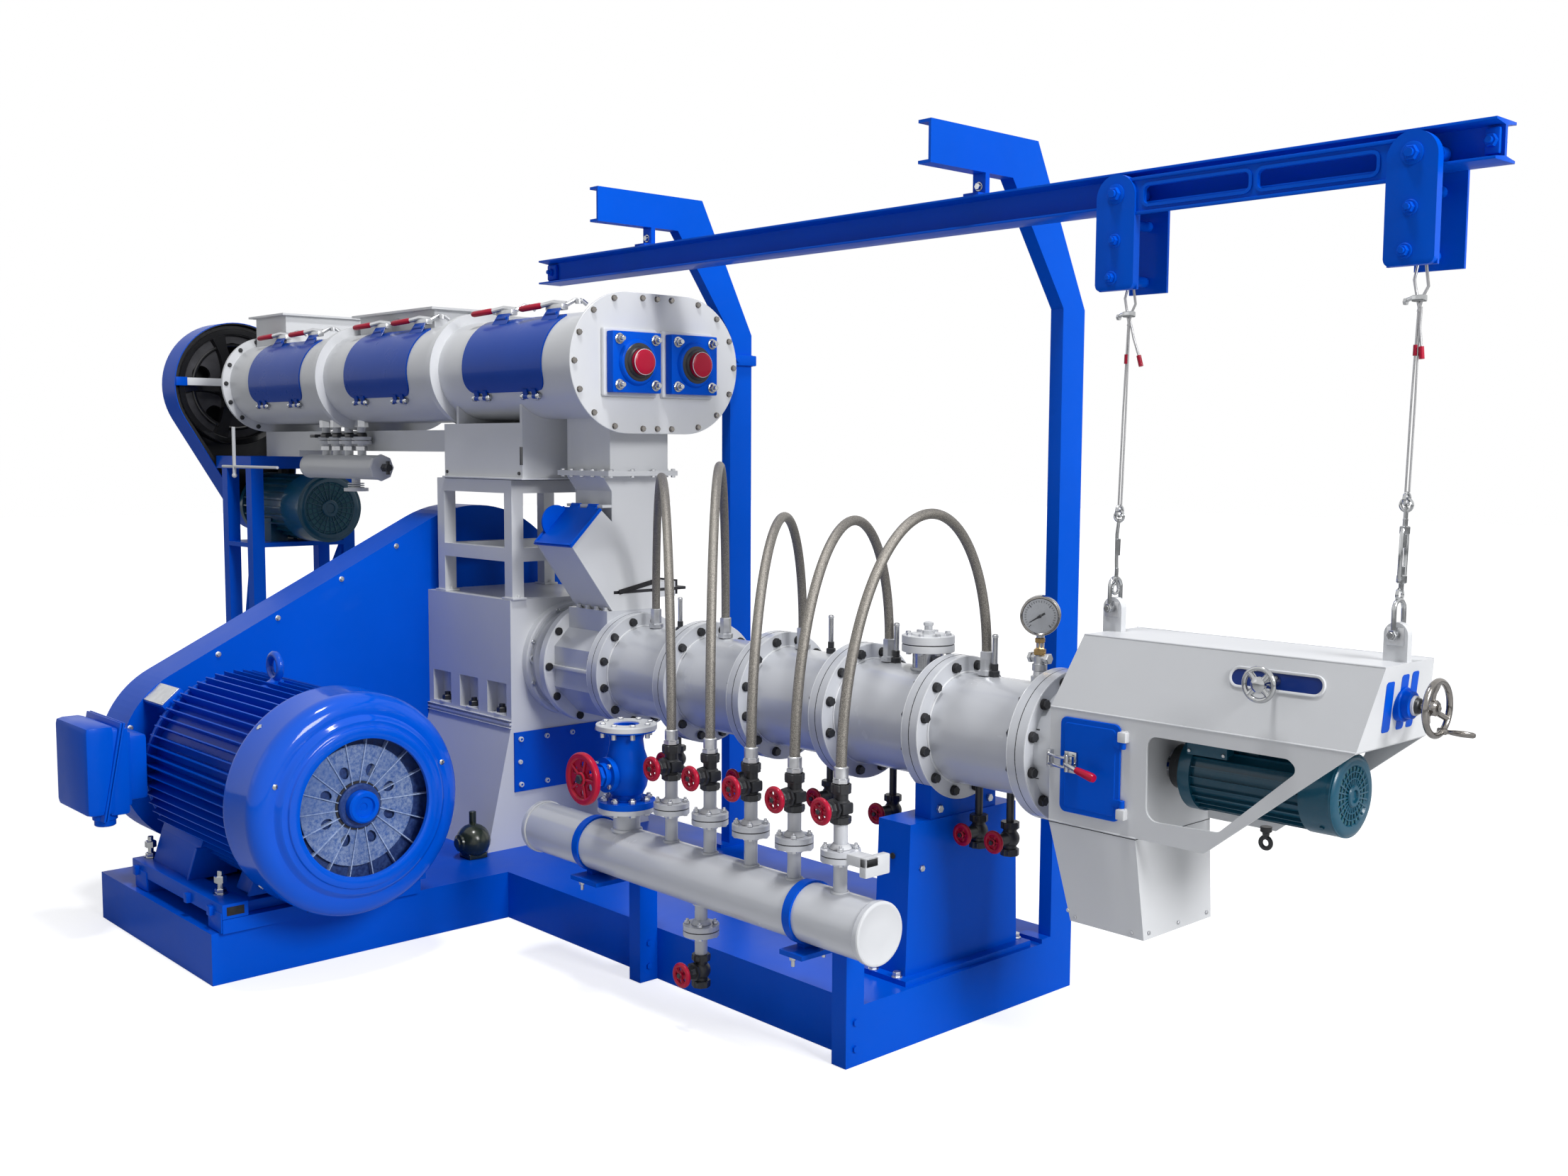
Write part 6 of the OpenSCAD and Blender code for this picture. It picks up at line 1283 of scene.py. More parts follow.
def barrel_trim():
    """Round heads of the flange bolts, joint lines, vent and probes."""
    heads = Piece("flange_bolt_heads", "hollow")
    for k, x in enumerate(joints_x):
        for side in (-1, 1) if k else (1,):
            for turn in range(12):
                at = around(x + side * 0.028, 15 + 30 * turn, 0.168)
                heads.lathe(at, X * side, "0 13.5, 6 13.5, 8.5 11, 8.5 6.5, 5 6", 20)
    heads.done(30)
    joint = Piece("flange_joint_lines", "hollow")
    for x in joints_x:
        joint.ring((x, 0, axis_z), X, flange_r - 0.0012, 0.0017, 96, 8)
    joint.done()
    rims = Piece("flange_edges", "white_paint")
    for x in joints_x:
        for side in (-1, 1):
            rims.ring((x + side * 0.0262, 0, axis_z), X, flange_r - 0.0018, 0.0022, 96, 8)
            if side > 0 or x > 0.2:
                rims.ring((x + side * 0.0285, 0, axis_z), X, barrel_r + 0.0012, 0.0032, 96, 8)
    rims.done()
    white_bits = Piece("vent_flanges", "white_paint")
    bolts = Piece("vent_bolts", "galvanised")
    dark = Piece("vent_gasket", "black_parts")
    vent_x, vent_z = 1.41386, 1.02014
    dark.disc((vent_x, 0, vent_z - 0.023), Z, 0.0695, 0.003, 48)
    white_bits.lathe((vent_x, 0, vent_z - 0.042), Z, "0 70.5, 1 71.5, 18 71.5, 19 70.5", 64)
    white_bits.lathe((vent_x, 0, vent_z - 0.020), Z, "0 70.5, 1 71.5, 21 71.5, 22.5 70, 22.5 46, 25.5 44",
        64)
    for out in spokes(8, 22.5, "z"):
        bolts.hexa(Vector((vent_x, 0, vent_z + 0.0022)) + out * 0.0575, Z, 0.0078, 0.008)
        bolts.hexa(Vector((vent_x, 0, vent_z - 0.0415)) + out * 0.0575, -Z, 0.0078, 0.007)
    white_bits.lathe((vent_x, 0, vent_z + 0.004), Z, "0 17, 10 17, 12 11, 22 11, 24 14, 31 14, 34 9", 8)
    white_bits.ring((vent_x, 0, axis_z + 0.143), Z, 0.044, 0.004, 48, 10)
    white_bits.done()
    for share in (0.64, 2.62, 3.36, 4.36):
        x = feed_end + share * section_len
        dark.lathe((x, 0, 0.9335), Z, "0 12.5, 2 14, 14 14, 16 12", 6)
        dark.rod((x, 0, 0.95), (x, 0, 0.968), 0.0092, sides=20)
        bolts.lathe((x, 0, 1.0355), Z, "0 8, 6 8, 8.5 6", 16)
    bolts.done()
    dark.done()


def gauge():
    """Dial with a bezel, scale marks and a needle on a brass stem; no figures."""
    x = 1.790
    c = Vector((x, 0, 1.106))
    turn = radians(35)
    face = Vector((sin(turn), -cos(turn), 0))
    side = Vector((cos(turn), sin(turn), 0))
    case = Piece("gauge_case", "dark_chrome")
    case.lathe(c - face * 0.0178, face, "0 44, 3 50.2, 38 50.2, 41.5 48.5, 42.5 45.5, 40.5 43.5, 36 43.2",
        72)
    case.done(30)
    # The dial face is grey as painted shade
    dial = Piece("gauge_dial", "dial_painted_shade_grey")
    front = c + face * 0.0229
    dial.disc(front - face * 0.0012, face, 0.0434, 0.0015, 64)
    dial.done()
    marks = Piece("gauge_marks", "black_parts")
    for k in range(28):
        a = radians(225 - 270 * k / 27)
        out = side * cos(a) + Z * sin(a)
        across = face.cross(out)
        long = 0.008 if k % 9 == 0 else 0.0045
        width = 0.0008 if k % 9 == 0 else 0.00045
        start = front + out * (0.039 - long)
        loop = [start - across * width, start + out * long - across * width,
            start + out * long + across * width, start + across * width]
        marks.loft([[p + face * 0.0002 for p in loop], [p + face * 0.0009 for p in loop]])
    needle = side * cos(radians(212)) + Z * sin(radians(212))
    across = face.cross(needle)
    loop = [front - needle * 0.014 - across * 0.0026, front + needle * 0.031 - across * 0.001,
        front + needle * 0.031 + across * 0.001, front - needle * 0.014 + across * 0.0026]
    marks.loft([[p + face * 0.002 for p in loop], [p + face * 0.003 for p in loop]])
    marks.lathe(front, face, "0 4, 4 4, 5 2.5", 20)
    marks.done()
    brass = Piece("gauge_stem", "brass")
    brass.lathe((x, 0, 1.006), Z,
        "0 14.5, 2 16.5, 14 16.5, 16 12, 20 10.5, 30 10.5, 32 13.5, 42 13.5, 44 10.5", 6)
    brass.done()
    tee = Piece("gauge_tee", "galvanised")
    tee.lathe((x, 0, 0.9345), Z, "0 19, 3 21.5, 18 21.5, 20 16, 30 15, 32 19, 48 19, 50 15, 68 15", 28)
    tee.rod((x - 0.028, 0, 0.998), (x + 0.028, 0, 0.998), 0.0105, sides=24)
    for way in (-1, 1):
        tee.hexa((x + way * 0.022, 0, 0.998), X * way, 0.0145, 0.01)
    tee.done()


def stand_trim():
    """Bolts of the pedestal, a dark disc of painted shade for its small opening, die flange screws and the oil
    pump.
    """
    bolts = Piece("pedestal_bolts", "galvanised")
    x0, x1, z = 1.440, 1.552, 0.164
    for x in (x0 + 0.014, x1 - 0.014):
        for y in (-0.24168, 0.24168):
            bolt(bolts, (x, y, z - 0.0002), Z, 0.0115, 0.0148)
    for y in (-0.17, 0.17):
        bolts.hexa((x1, y, 0.44), X, 0.009, 0.008)
    for side in (-1, 1):
        bolts.hexa((1.5485, side * 0.10, 0.585), X, 0.011, 0.009)
    bolts.done()
    # A dark disc on the pedestal's side: painted shade standing in for a small hole
    holes = Piece("pedestal_hole_shade", "hollow")
    holes.disc((1.496, -0.2165, 0.470), -Y, 0.008, 0.0035, 24)
    holes.done()
    black = Piece("die_screws", "black_parts")
    for k in range(8):
        at = around(1.896, 22.5 + 45 * k, 0.145)
        black.lathe(at, X, "0 11, 10 11, 12 9", 20)
    black.done()
    pump = Piece("oil_pump", "olive")
    c = Vector((-0.250, -0.406, 0.198))
    pump.ball(c + Z * 0.008, 0.058)
    pump.lathe(c + Vector((0.0, -0.048, 0.008)), -Y, "0 30, 8 28, 12 18, 16 16", 28)
    pump.rod(c + Vector((-0.022, 0.012, 0.03)), c + Vector((-0.022, 0.012, 0.102)), 0.012, sides=16)
    pump.box((c.x - 0.034, c.y - 0.034, 0.1502), (c.x + 0.034, c.y + 0.034, 0.166), 0.004)
    pump.done()
    glints = Piece("oil_pump_bolts", "chrome")
    for dx in (-0.026, 0.026):
        glints.hexa((c.x + dx, c.y - 0.028, 0.166), Z, 0.005, 0.005)
    glints.done()


steam_line()
valve_trim()
barrel_trim()
gauge()
stand_trim()


# Overhead rail, trolley and slings

rail_lo, rail_hi = Vector((-0.370, -0.045, 2.080)), Vector((2.890, 0.045, 2.160))
web = 0.008
trolley_xs = (2.04294, 2.74204)
lug_xs = (2.012, 2.715)
cross_z, lug_z = 1.916, 1.143


def corner_arc(corner, a, b, radius, steps=6):
    """Points of the arc that rounds a corner between the directions a and b."""
    a, b = a.normalized(), b.normalized()
    half = a.angle(b) / 2
    centre = corner + (a + b).normalized() * radius / sin(half)
    start, stop = corner + a * radius / tan(half) - centre, corner + b * radius / tan(half) - centre
    axis, sweep = start.cross(stop), start.angle(stop)
    return [centre + Matrix.Rotation(sweep * k / steps, 3, axis) @ start for k in range(steps + 1)]


def rounded(points, radii, steps=6):
    """Rounds the corners of a flat outline of 3-D points, each by its own radius."""
    out = []
    points = [Vector(p) for p in points]
    for k, p in enumerate(points):
        radius = radii[k] if isinstance(radii, (list, tuple)) else radii
        after = points[(k + 1) % len(points)]
        out += corner_arc(p, points[k - 1] - p, after - p, radius, steps) if radius else [p]
    return out


def fillet(corner, a, b, radius):
    """Outline that fills a sharp inner corner up to an arc."""
    corner = Vector(corner)
    return [corner] + corner_arc(corner, Vector(a) - corner, Vector(b) - corner, radius)


def rail():
    beam = Piece("overhead_rail", "blue_paint")
    half, bottom, top = 0.045, rail_lo.z, rail_hi.z
    profile = [(-half, bottom), (half, bottom), (half, bottom + 0.006), (web / 2, bottom + 0.0095),
        (web / 2, top - 0.0095), (half, top - 0.006), (half, top), (-half, top), (-half, top - 0.006),
        (-web / 2, top - 0.0095), (-web / 2, bottom + 0.0095), (-half, bottom + 0.006)]
    beam.prism([(rail_lo.x, y, z) for y, z in profile], X * (rail_hi.x - rail_lo.x), 0.001)
    beam.done(30, replaces=["overhead_rail"])
    stops = Piece("rail_stop_plates", "blue_paint")
    for x, half in ((rail_lo.x + 0.035, 0.026), (rail_hi.x - 0.021, 0.015)):
        for side in (-1, 1):
            y = side * web / 2
            stops.box((x - half, y, 2.094), (x + half, y + side * 0.012, 2.146), 0.005)
            stops.hexa((x, y + side * 0.012, 2.12), Y * side, 0.0135, 0.01)
            stops.rod((x, y + side * 0.02, 2.12), (x, y + side * 0.03, 2.12), 0.007, sides=16)
    stops.done()
    bolts = Piece("hanger_bolts", "chrome")
    for x in (0.194, 1.573):
        for side in (-1, 1):
            bolts.lathe((x, side * web, 2.186), Y * side, "0 12, 2 12, 2.5 10", 24)
            bolts.hexa((x, side * (web + 0.0024), 2.186), Y * side, 0.0095, 0.007)
    bolts.done()
    band = Piece("column_clamp", "blue_paint")
    band.box((0.160, 0.311, 1.797), (0.228, 0.432, 1.832), 0.004)
    band.hexa((0.228, 0.345, 1.8145), X, 0.008, 0.007)
    band.done()


def trolley_plates():
    """Rounded outer plates with bolt heads, and rounded frames round the slots of the bar."""
    plates = Piece("trolley_plates", "blue_paint", "cutter_frame")
    for x in trolley_xs:
        y, half, low, top = -0.080, 0.0525, 1.8875, 2.0976
        outline = [Vector((x, y, top)) + spoke(180 - 9 * k, "y") * half for k in range(21)]
        corner = rounded([(x - half, y, top), (x + half, y, top), (x + half, y, low),
            (x - half, y, low)], [0, 0, 0.014, 0.014])
        plates.prism(outline + corner[2:], Y * 0.0162, 0.0015)
        for z, r in ((2.105, 0.016), (2.0, 0.011), (1.916, 0.011)):
            for side, face in ((-1, y), (1, 0.064)):
                at = Vector((x - (0.008 if z < 1.95 else 0), face, z))
                plates.lathe(at, Y * side, [(0, r * 1.45), (0.002, r * 1.45), (0.003, r * 1.3)], 28)
                plates.hexa(at + Y * side * 0.003, Y * side, r, 0.009)
                plates.rod(at + Y * side * 0.01, at + Y * side * 0.018, r * 0.55, sides=16)
    bar_top = 2.136
    for a, b in ((2.1157, 2.3809), (2.4017, 2.6669)):
        loops = []
        for grow, y in ((0, -0.0725), (0, -0.0755), (0.007, -0.0755), (0.007, -0.0725)):
            low, high = bar_top - 0.06 - grow, bar_top - 0.02 + grow
            loops.append(rounded([(a - grow, y, low), (b + grow, y, low), (b + grow, y, high),
                (a - grow, y, high)], 0.012 + grow, 5))
        plates.loft(loops, closed=True)
        for corner_at, one, two in (((a, 0), (b, 0), (a, 1)), ((b, 0), (a, 0), (b, 1)),
            ((b, 1), (a, 1), (b, 0)), ((a, 1), (b, 1), (a, 0))):
            points = [Vector((px, -0.0722, bar_top - 0.06 + 0.04 * pz)) for px, pz in (corner_at, one, two)]
            plates.prism(fillet(*points, 0.012), Y * 0.008, 0)
    for z in (bar_top - 0.0015, bar_top - 0.0785):
        plates.box((trolley_xs[0], -0.0765, z - 0.004), (trolley_xs[1], -0.0715, z + 0.004), 0.0015)
    plates.done(30)


def slings():
    """Wire slings with a loop and a tied tail, one with a hook, one with a turnbuckle."""
    rope = Piece("sling_ropes", "wire_rope", "cutter_frame")
    fittings = Piece("sling_fittings", "chrome", "cutter_frame")
    tips = Piece("sling_tips", "red_paint", "cutter_frame")
    for i in (0, 1):
        top = Vector((trolley_xs[i] - web, 0, cross_z))
        low = Vector((lug_xs[i], 0, lug_z))
        down = (low - top) / (top.z - low.z)

        def at(z, dx=0.0, dy=0.0):
            return top + down * (top.z - z) + Vector((dx, dy, 0))

        knot, hook, end = ((1.831, 1.369, 1.209), (1.822, 1.417, 1.245))[i]
        loop = [at(cross_z) + spoke(-62 + 304 * k / 24, "y") * 0.0165 for k in range(25)]
        drop = [at(knot + 0.03, 0.016), at(knot + 0.008, 0.005), at(knot - 0.02, -0.002)]
        rise = [at(knot - 0.02, 0.002), at(knot + 0.01, -0.006), at(knot + 0.045, -0.014)]
        rope.tube(rise + loop[::-1] + drop, 0.0032, 8)
        rope.tube([at(knot - 0.01, 0.004), at(knot - 0.05, 0.016 - 0.012 * i),
            at(knot - 0.095, 0.034 - 0.024 * i)], 0.003, 8)
        tips.tube([at(knot - 0.09, 0.032 - 0.023 * i), at(knot - 0.115, 0.040 - 0.028 * i)], 0.0056, 12)
        tips.tube([at(knot - 0.086, -0.002), at(knot - 0.108, -0.002)], 0.0052, 12)
        fittings.box(at(knot, -0.014, -0.009), at(knot + 0.014, 0.012, 0.009), 0.003)
        fittings.tube([at(knot + 0.004, -0.03), at(knot + 0.01, -0.012)], 0.0045, 10)
        fittings.hexa(at(knot + 0.002, -0.026), -X, 0.0075, 0.007)
        for dx in (-0.004, 0.004):
            rope.tube([at(knot - 0.01, dx * 0.4), at((knot + hook) / 2, dx), at(hook + 0.02, dx)], 0.0022,
                8)
        for k in range(2):
            fittings.ring(at(hook + 0.006 - 0.012 * k), Y if k else X, 0.0125, 0.0036, 24, 8)
        if i == 0:
            fittings.tube([at(hook - 0.012), at(hook - 0.05, -0.004), at(end + 0.05, -0.002),
                at(end + 0.02)], 0.0042, 10)
            fittings.rod(at(hook - 0.06), at(end + 0.06), 0.0062, sides=16)
        else:
            body_top, body_low = 1.353, 1.264
            for dy in (-0.0115, 0.0115):
                fittings.tube([at(body_top + 0.01, 0, dy * 0.5), at(body_top, 0, dy), at(body_low, 0, dy),
                    at(body_low - 0.01, 0, dy * 0.5)], 0.0046, 10)
            for z in (body_top + 0.006, body_low - 0.006):
                fittings.lathe(at(z + 0.009), down, "0 8, 2 10.5, 16 10.5, 18 8", 20)
            fittings.rod(at(body_top + 0.03), at(body_top - 0.03), 0.0052, sides=16)
            fittings.rod(at(body_low + 0.02), at(body_low - 0.03), 0.0052, sides=16)
            fittings.rod(at(hook - 0.01), at(body_top), 0.0045, sides=16)
        bow = [low + Vector((0, -0.0215 * v.y, 0.052 + 0.02 * v.z))
            for v in (spoke(9 * k) for k in range(21))]
        fittings.tube([low + Vector((0, -0.0215, 0))] + bow + [low + Vector((0, 0.0215, 0))], 0.0052, 12)
        fittings.rod(low + Vector((0, -0.034, 0)), low + Vector((0, 0.034, 0)), 0.0066, sides=20)
        for side in (-1, 1):
            fittings.hexa(low + Vector((0, side * 0.024, 0)), Y * side, 0.0115, 0.008)
        fittings.ring(low + Vector((0, 0, end - 0.02 - lug_z)), X, 0.0125, 0.0038, 24, 8)
        fittings.rod(at(end + 0.03), at(end - 0.012), 0.0045, sides=16)
    rope.done(60, replaces=["cutter_slings"])
    fittings.done()
    tips.done()


# Cutter housing

cut_x, cut_half, cut_low, fold_z, cut_top, top_half = 1.946, 0.155, 0.638, 0.912, 1.087, 0.107
cut_len = 0.766
adjust_z = 0.999


def on_slope(x, z, out=0.0):
    """A point on the near sloped face of the housing."""
    run = Vector((0, cut_half - top_half, cut_top - fold_z)).normalized()
    share = (z - fold_z) / (cut_top - fold_z)
    return Vector((x, -cut_half + (cut_half - top_half) * share, z)) + Vector((0, -run.z, run.y)) * out


def housing_trim():
    white_bits = Piece("housing_window_corners", "white_paint", "cutter_frame")
    shares = [(0.352, 0.88), (0.806, 0.876), (0.839, 0.8), (0.597, 0.193), (0.355, 0.168)]
    for side in (-1, 1):
        near = side * cut_half
        points = [Vector((cut_x + cut_len * sx, near, cut_low + (fold_z - cut_low) * sz))
            for sx, sz in shares]
        for k, radius in enumerate((0.026, 0.02, 0.016, 0.026, 0.03)):
            outline = fillet(points[k], points[k - 1], points[(k + 1) % 5], radius)
            white_bits.prism(outline, Y * -side * 0.006, 0)
    white_bits.done(40)
    seam = Piece("housing_folds", "white_paint", "cutter_frame")
    for side in (-1, 1):
        seam.tube([(cut_x + 0.001, side * (cut_half - 0.0008), fold_z),
            (cut_x + cut_len - 0.001, side * (cut_half - 0.0008), fold_z)], 0.0022, 8)
        seam.tube([(cut_x + 0.001, side * (cut_half - 0.0008), cut_low),
            (2.192, side * (cut_half - 0.0008), cut_low)], 0.0022, 8)
        seam.tube([(cut_x + 0.058, side * (top_half - 0.0008), cut_top - 0.001),
            (cut_x + cut_len + 0.032, side * (top_half - 0.0008), cut_top - 0.001)], 0.0022, 8)
    seam.done()
    dark = Piece("spout_seam", "hollow", "cutter_frame")
    for a, b in (((cut_x - 0.0004, -cut_half - 0.0005), (2.1925, -cut_half + 0.0005)),
        ((2.1915, -cut_half), (2.1925, cut_half))):
        dark.box((*a, cut_low - 0.0042), (*b, cut_low - 0.0026), 0)
    dark.done()
    # The clamp slot is a thin dark blue patch on the sloped face: painted shade in the slot
    slot = Piece("clamp_slot", "slot_painted_shade_blue", "cutter_frame")
    rim = Piece("clamp_slot_rim", "white_paint", "cutter_frame")

    def stadium_on(grow, out, steps=12):
        half, points = 0.0175 + grow, []
        for x, start in ((2.424, 90), (2.601, 270)):
            for k in range(steps + 1):
                a = radians(start + 180 * k / steps)
                points.append(on_slope(x + half * cos(a), 1.033 + 0.964 * half * sin(a), out))
        return points

    slot.loft([stadium_on(0, -0.002), stadium_on(0, 0.0006)])
    slot.done()
    rim.loft([stadium_on(0, -0.001), stadium_on(0, 0.003), stadium_on(0.0015, 0.004),
        stadium_on(0.005, 0.004), stadium_on(0.0065, 0.0025), stadium_on(0.0065, -0.001)], closed=True)
    rim.done(40)
    lugs = Piece("lug_caps", "galvanised", "cutter_frame")
    for x in lug_xs:
        for side in (-1, 1):
            lugs.box((x - 0.019, side * 0.0102, lug_z - 0.022), (x + 0.019, side * 0.0135, lug_z + 0.016),
                0.002)
    lugs.done()
    ends = Piece("end_face_slots", "blue_paint", "cutter_frame")

    def on_end(y, z, out=0.0):
        share = (z - fold_z) / (cut_top - fold_z)
        return Vector((cut_x + cut_len + 0.033 * share + out, y, z))

    for y0, wide, z1 in ((-0.089, 0.034, 1.053), (-0.026, 0.031, 1.063), (0.018, 0.029, 1.066)):
        low_loop = rounded([on_end(y0 + 0.025, 0.943, -0.001), on_end(y0 + wide + 0.025, 0.943, -0.001),
            on_end(y0 + wide, z1, -0.001), on_end(y0, z1, -0.001)], 0.007, 4)
        ends.loft([low_loop, [p + X * 0.002 for p in low_loop]])
    ends.lathe((cut_x + cut_len + 0.006, 0, adjust_z), X, "0 36, 20 36, 22 34, 22 29.5, 36 28.5, 38 20", 40)
    ends.done()
    sleeve = Piece("adjust_sleeve", "black_parts", "cutter_frame")
    sleeve.lathe((cut_x + cut_len + 0.04, 0, adjust_z), X, "0 21, 4 21, 6 17.5, 16 16.5, 18 14", 32)
    sleeve.done()
    screws = Piece("housing_screws", "galvanised", "cutter_frame")
    for x, z in ((2.02, 0.412), (2.18, 0.412), (2.0, 0.425)):
        screws.hexa((x, -0.1405, z), -Y, 0.005, 0.004)
    for y in (-0.12, 0.0, 0.12):
        screws.hexa((2.211, y, 0.415), X, 0.005, 0.004)
    screws.done()


def side_door():
    door = Piece("cutter_door_sheet", "blue_paint", "cutter_door")
    x0, x1, z0, z1 = 1.980, 2.149, 0.667, 0.894
    y = -cut_half - 0.0008

    def outline(inset, out, radius):
        return rounded([(x0 + inset, y - out, z0 + inset), (x1 - inset, y - out, z0 + inset),
            (x1 - inset, y - out, z1 - inset), (x0 + inset, y - out, z1 - inset)], radius)

    door.loft([outline(0, 0, 0.017), outline(0, 0.003, 0.017), outline(0.0015, 0.0045, 0.0155),
        outline(0.012, 0.0045, 0.01), outline(0.014, 0.006, 0.009), outline(0.018, 0.006, 0.007)])
    hinge = Vector((2.158, -0.162, 0))
    for z, height in ((0.703, 0.018), (0.840, 0.018)):
        door.box((x1 - 0.02, y - 0.0065, z), (hinge.x, y - 0.001, z + height), 0.001)
        door.lathe((hinge.x, hinge.y, z), Z, [(0, 0.0055), (0.001, 0.0065), (height - 0.001, 0.0065),
            (height, 0.0055)], 20)
    door.done(30, replaces=["cutter_door"])
    pads = Piece("door_hinge_blocks", "white_paint", "cutter_frame")
    for z in (0.677, 0.856):
        pads.box((hinge.x - 0.010, -0.1725, z), (hinge.x + 0.0125, -0.1545, z + 0.024), 0.003)
    pads.done()
    latch = Piece("door_latch", "chrome", "cutter_door")
    mid = 0.789
    latch.box((1.998, y - 0.014, mid - 0.026), (2.034, y - 0.0055, mid + 0.026), 0.004)
    latch.box((2.004, y - 0.026, mid - 0.017), (2.030, y - 0.012, mid + 0.017), 0.003)
    for dz in (-0.011, 0.011):
        latch.tube([(2.022, y - 0.03, mid + dz), (1.985, y - 0.024, mid + dz),
            (1.952, y - 0.013, mid + dz)], 0.004, 10)
    latch.rod((1.953, y - 0.013, mid - 0.016), (1.953, y - 0.013, mid + 0.016), 0.0048, sides=16)
    latch.rod((2.018, y - 0.03, mid - 0.02), (2.018, y - 0.03, mid + 0.02), 0.005, sides=16)
    latch.tube([(2.016, y - 0.030, mid - 0.002), (2.034, y - 0.034, mid - 0.006),
        (2.054, y - 0.036, mid - 0.011)], 0.006, 12)
    latch.done()
    keeper = Piece("door_latch_keeper", "galvanised", "cutter_frame")
    keeper.box((1.9455, y - 0.0125, mid - 0.022), (1.958, y + 0.0009, mid + 0.022), 0.002)
    keeper.done()
    grip = Piece("door_latch_grip", "red_paint", "cutter_door")
    a, b = Vector((2.050, y - 0.036, mid - 0.010)), Vector((2.104, y - 0.040, mid - 0.021))
    grip.tube([a, a * 0.85 + b * 0.15, a * 0.5 + b * 0.5, a * 0.12 + b * 0.88, b],
        lambda t: 0.0075 + 0.0045 * t if t < 0.99 else 0.009, 16)
    grip.done()


def hand_wheels():
    wheel = Piece("adjust_wheel", "dark_chrome", "adjust_handwheel")
    c = Vector((2.804, 0, adjust_z))
    wheel.ring(c, X, 0.056, 0.0068, 64, 16)
    for out in spokes(3, 90):
        wheel.tube([c + out * 0.012 - X * 0.012, c + out * 0.03 - X * 0.009, c + out * 0.046 - X * 0.002,
            c + out * 0.056], 0.0062, 12)
    wheel.lathe(c - X * 0.024, X, "0 14, 4 16.5, 22 16.5, 26 13, 26 8, 29 7.5, 31 4", 32)
    wheel.rod((2.60, 0, adjust_z), (2.785, 0, adjust_z), 0.008, sides=24)
    wheel.done(replaces=["adjust_handwheel"])
    grip = Piece("adjust_wheel_handle", "dark_chrome", "adjust_handwheel")
    at = c + Vector((0, 0.025, -0.050))
    grip.lathe(at - X * 0.008, X, "0 7, 16 7, 20 4.5, 24 4.5, 28 5.5, 50 6.8, 72 6, 76 4", 24)
    grip.done()
    clamp = Piece("lock_wheel", "chrome", "lock_handwheel")
    c = Vector((2.510, -0.189, 1.033))
    clamp.ring(c, Y, 0.034, 0.0058, 56, 16)
    clamp.lathe(c + Y * 0.006, -Y, "0 14, 3 16.5, 12 16.5, 15 12, 16.5 6", 32)
    for out in spokes(4, 45, "y"):
        clamp.tube([c + out * 0.012, c + out * 0.024 + Y * 0.002, c + out * 0.034], 0.0068, 12)
    clamp.rod((c.x, c.y + 0.004, c.z), (c.x, -0.072, c.z), 0.0052, sides=20)
    clamp.lathe((c.x, -0.136, c.z), Y, "0 11, 12 13, 13.5 13", 28)
    clamp.done(replaces=["lock_handwheel"])


def cutter_motor_trim():
    x0 = cut_x + cut_len * 0.4047
    small_motor("cutter_motor", (x0 + 0.371, 0, axis_z), X, 0.0908, "cutter_carriage")
    nose = Piece("cutter_motor_nose", "black_parts", "cutter_carriage")
    nose.lathe((x0 - 0.052, 0, axis_z), X, "0 46, 4 52, 22 52, 24 58, 34 58, 36 54, 51.5 66", 40)
    for out in spokes(8, 22.5):
        nose.hexa(Vector((x0 - 0.020, 0, axis_z)) + out * 0.0485, -X, 0.006, 0.013)
    nose.ring((2.4305, 0, 0.648), Y, 0.0125, 0.0052, 36, 12)
    nose.lathe((2.4305, 0, 0.663), Z, "0 7, 8 8.5, 11 13, 22 13", 20)
    nose.done()
    box = Piece("cutter_motor_box", "teal_paint", "cutter_carriage")
    box.box((x0 + 0.03, -0.092, axis_z + 0.056), (x0 + 0.125, -0.058, axis_z + 0.118), 0.006)
    box.box((x0 + 0.026, -0.097, axis_z + 0.052), (x0 + 0.129, -0.090, axis_z + 0.122), 0.003)
    box.done()
    bolts = Piece("cutter_motor_bolts", "galvanised", "cutter_carriage")
    for x in (x0 + 0.06, x0 + 0.20):
        bolt(bolts, (x, -0.086, 0.962), Z, 0.0075, 0.007)
    for dx, dz in ((0.034, 0.061), (0.121, 0.061), (0.034, 0.113), (0.121, 0.113)):
        bolts.hexa((x0 + dx, -0.097, axis_z + dz), -Y, 0.0042, 0.003)
    bolts.done()


rail()
trolley_plates()
slings()
housing_trim()
side_door()
hand_wheels()
cutter_motor_trim()


# Stage


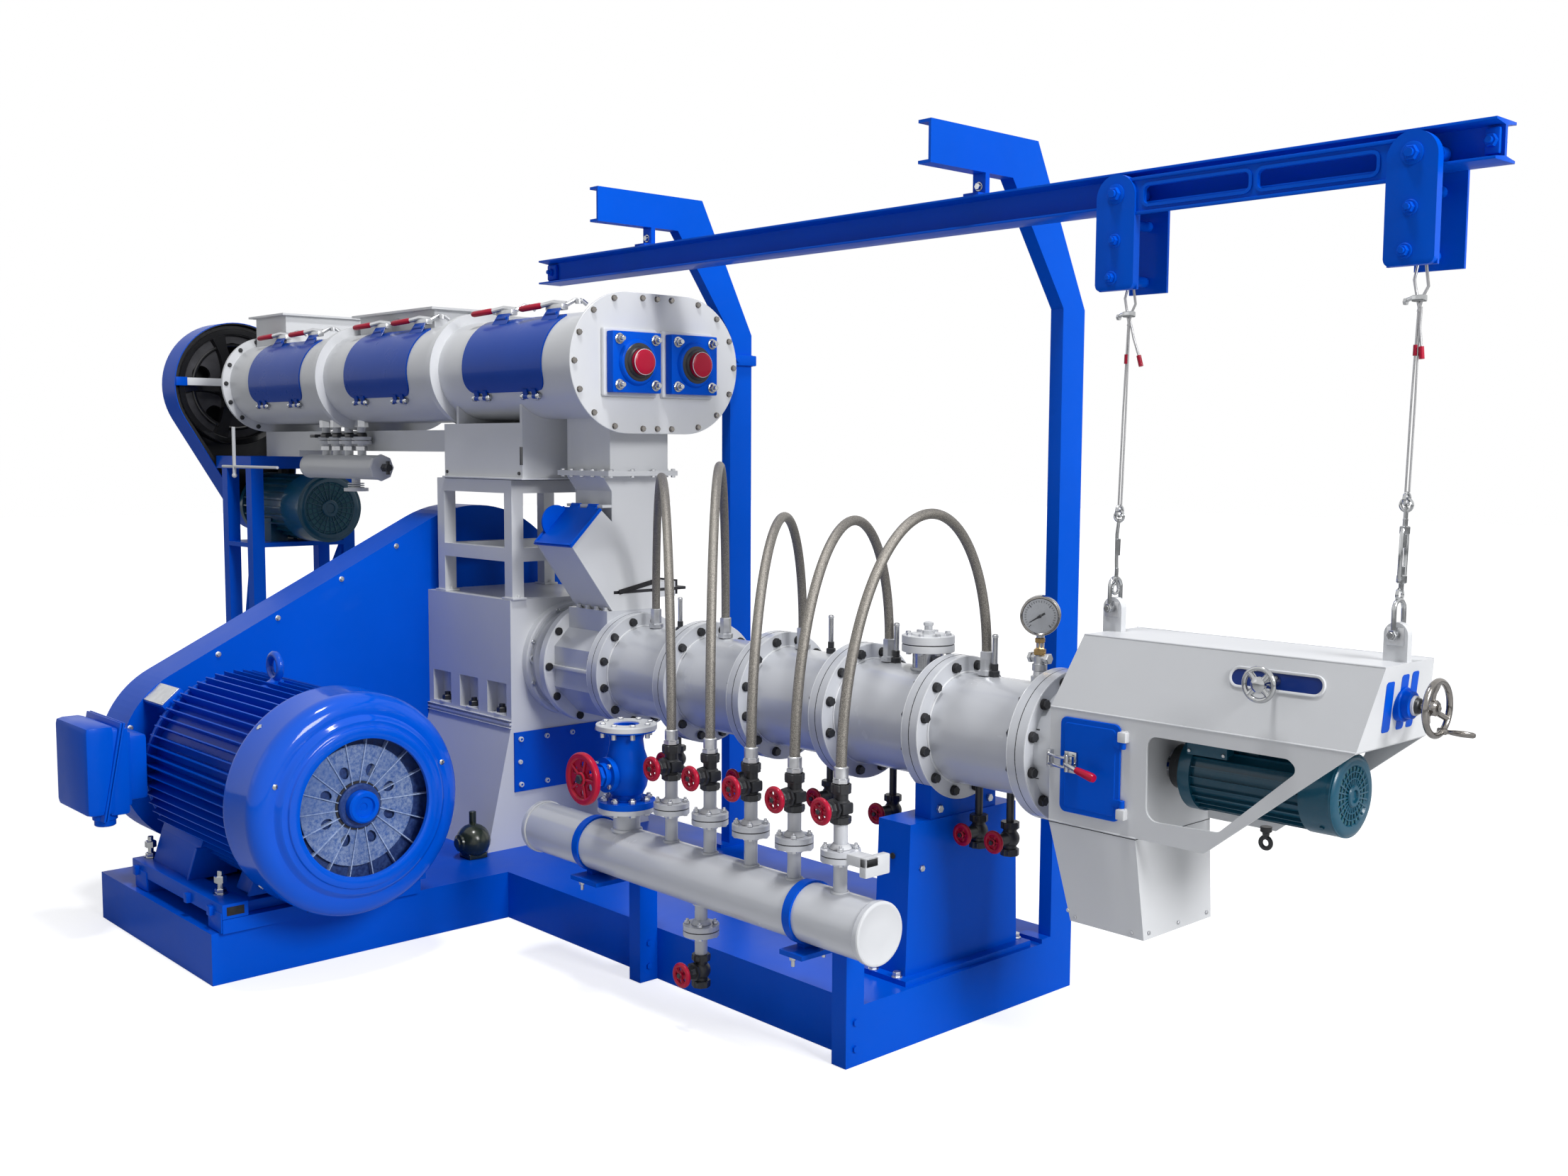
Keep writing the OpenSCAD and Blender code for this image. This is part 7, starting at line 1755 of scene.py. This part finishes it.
def make_stage():
    """A floor and a world that are white to the camera; the floor keeps the object's shadow."""
    mesh = bpy.data.meshes.new("floor")
    reach = 30
    mesh.from_pydata([(-reach, -reach, 0), (reach, -reach, 0), (reach, reach, 0), (-reach, reach, 0)], [],
        [(0, 1, 2, 3)])
    floor = bpy.data.objects.new("floor", mesh)
    floor.location.z = -1 * MM
    bpy.context.scene.collection.objects.link(floor)
    s = Shader("floor_white")
    s.link(s.ramp(s.noise(1.5), [(0, (0.6, 0.6, 0.6)), (1, (0.64, 0.64, 0.64))]),
        s.bsdf.inputs["Base Color"])
    s.put(Roughness=0.9, Emission_Color=(1, 1, 1, 1))
    path = s.new("ShaderNodeLightPath")
    away = s.new("ShaderNodeVectorMath", operation="LENGTH")
    s.link(s.coords, away.inputs[0])
    glow = s.new("ShaderNodeMath", operation="MULTIPLY")
    s.link(s.span(away.outputs["Value"], floor_glow, 1, 2.5, 9), glow.inputs[0])
    s.link(path.outputs["Is Camera Ray"], glow.inputs[1])
    s.link(glow.outputs[0], s.bsdf.inputs["Emission Strength"])
    mesh.materials.append(s.mat)
    world = bpy.data.worlds.new("world")
    bpy.context.scene.world = world
    world.use_nodes = True
    tree = world.node_tree
    ground = tree.nodes["Background"]
    ground.inputs["Color"].default_value = (0.93, 0.96, 1, 1)
    ground.inputs["Strength"].default_value = world_light
    bare = tree.nodes.new("ShaderNodeBackground")
    bare.inputs["Color"].default_value = (1, 1, 1, 1)
    bare.inputs["Strength"].default_value = 1
    path = tree.nodes.new("ShaderNodeLightPath")
    seen = path.outputs["Is Camera Ray"]
    for kind in ("Is Glossy Ray", "Is Transmission Ray"):
        either = tree.nodes.new("ShaderNodeMath")
        either.operation = "MAXIMUM"
        tree.links.new(seen, either.inputs[0])
        tree.links.new(path.outputs[kind], either.inputs[1])
        seen = either.outputs[0]
    mix = tree.nodes.new("ShaderNodeMixShader")
    tree.links.new(seen, mix.inputs["Fac"])
    tree.links.new(ground.outputs[0], mix.inputs[1])
    tree.links.new(bare.outputs[0], mix.inputs[2])
    tree.links.new(mix.outputs[0], tree.nodes["World Output"].inputs["Surface"])


def lamp(name, at, aim, watts, size):
    data = bpy.data.lights.new(name, "AREA")
    data.energy = watts
    data.size = size
    obj = bpy.data.objects.new(name, data)
    obj.location = at
    obj.rotation_euler = (Vector(aim) - Vector(at)).to_track_quat("-Z", "Y").to_euler()
    bpy.context.scene.collection.objects.link(obj)


world_light = 0.27
floor_glow = 0.68
make_stage()
lamp("key", (10.0, -0.5, 5.4), (0.5, 0, 0.9), 800, 3.2)
lamp("side", (-3, -6.5, 3.5), (-1, 0, 1), 12, 3)
lamp("top", (1.8, -1.2, 6.5), (0.3, -0.2, 1), 170, 0.8)
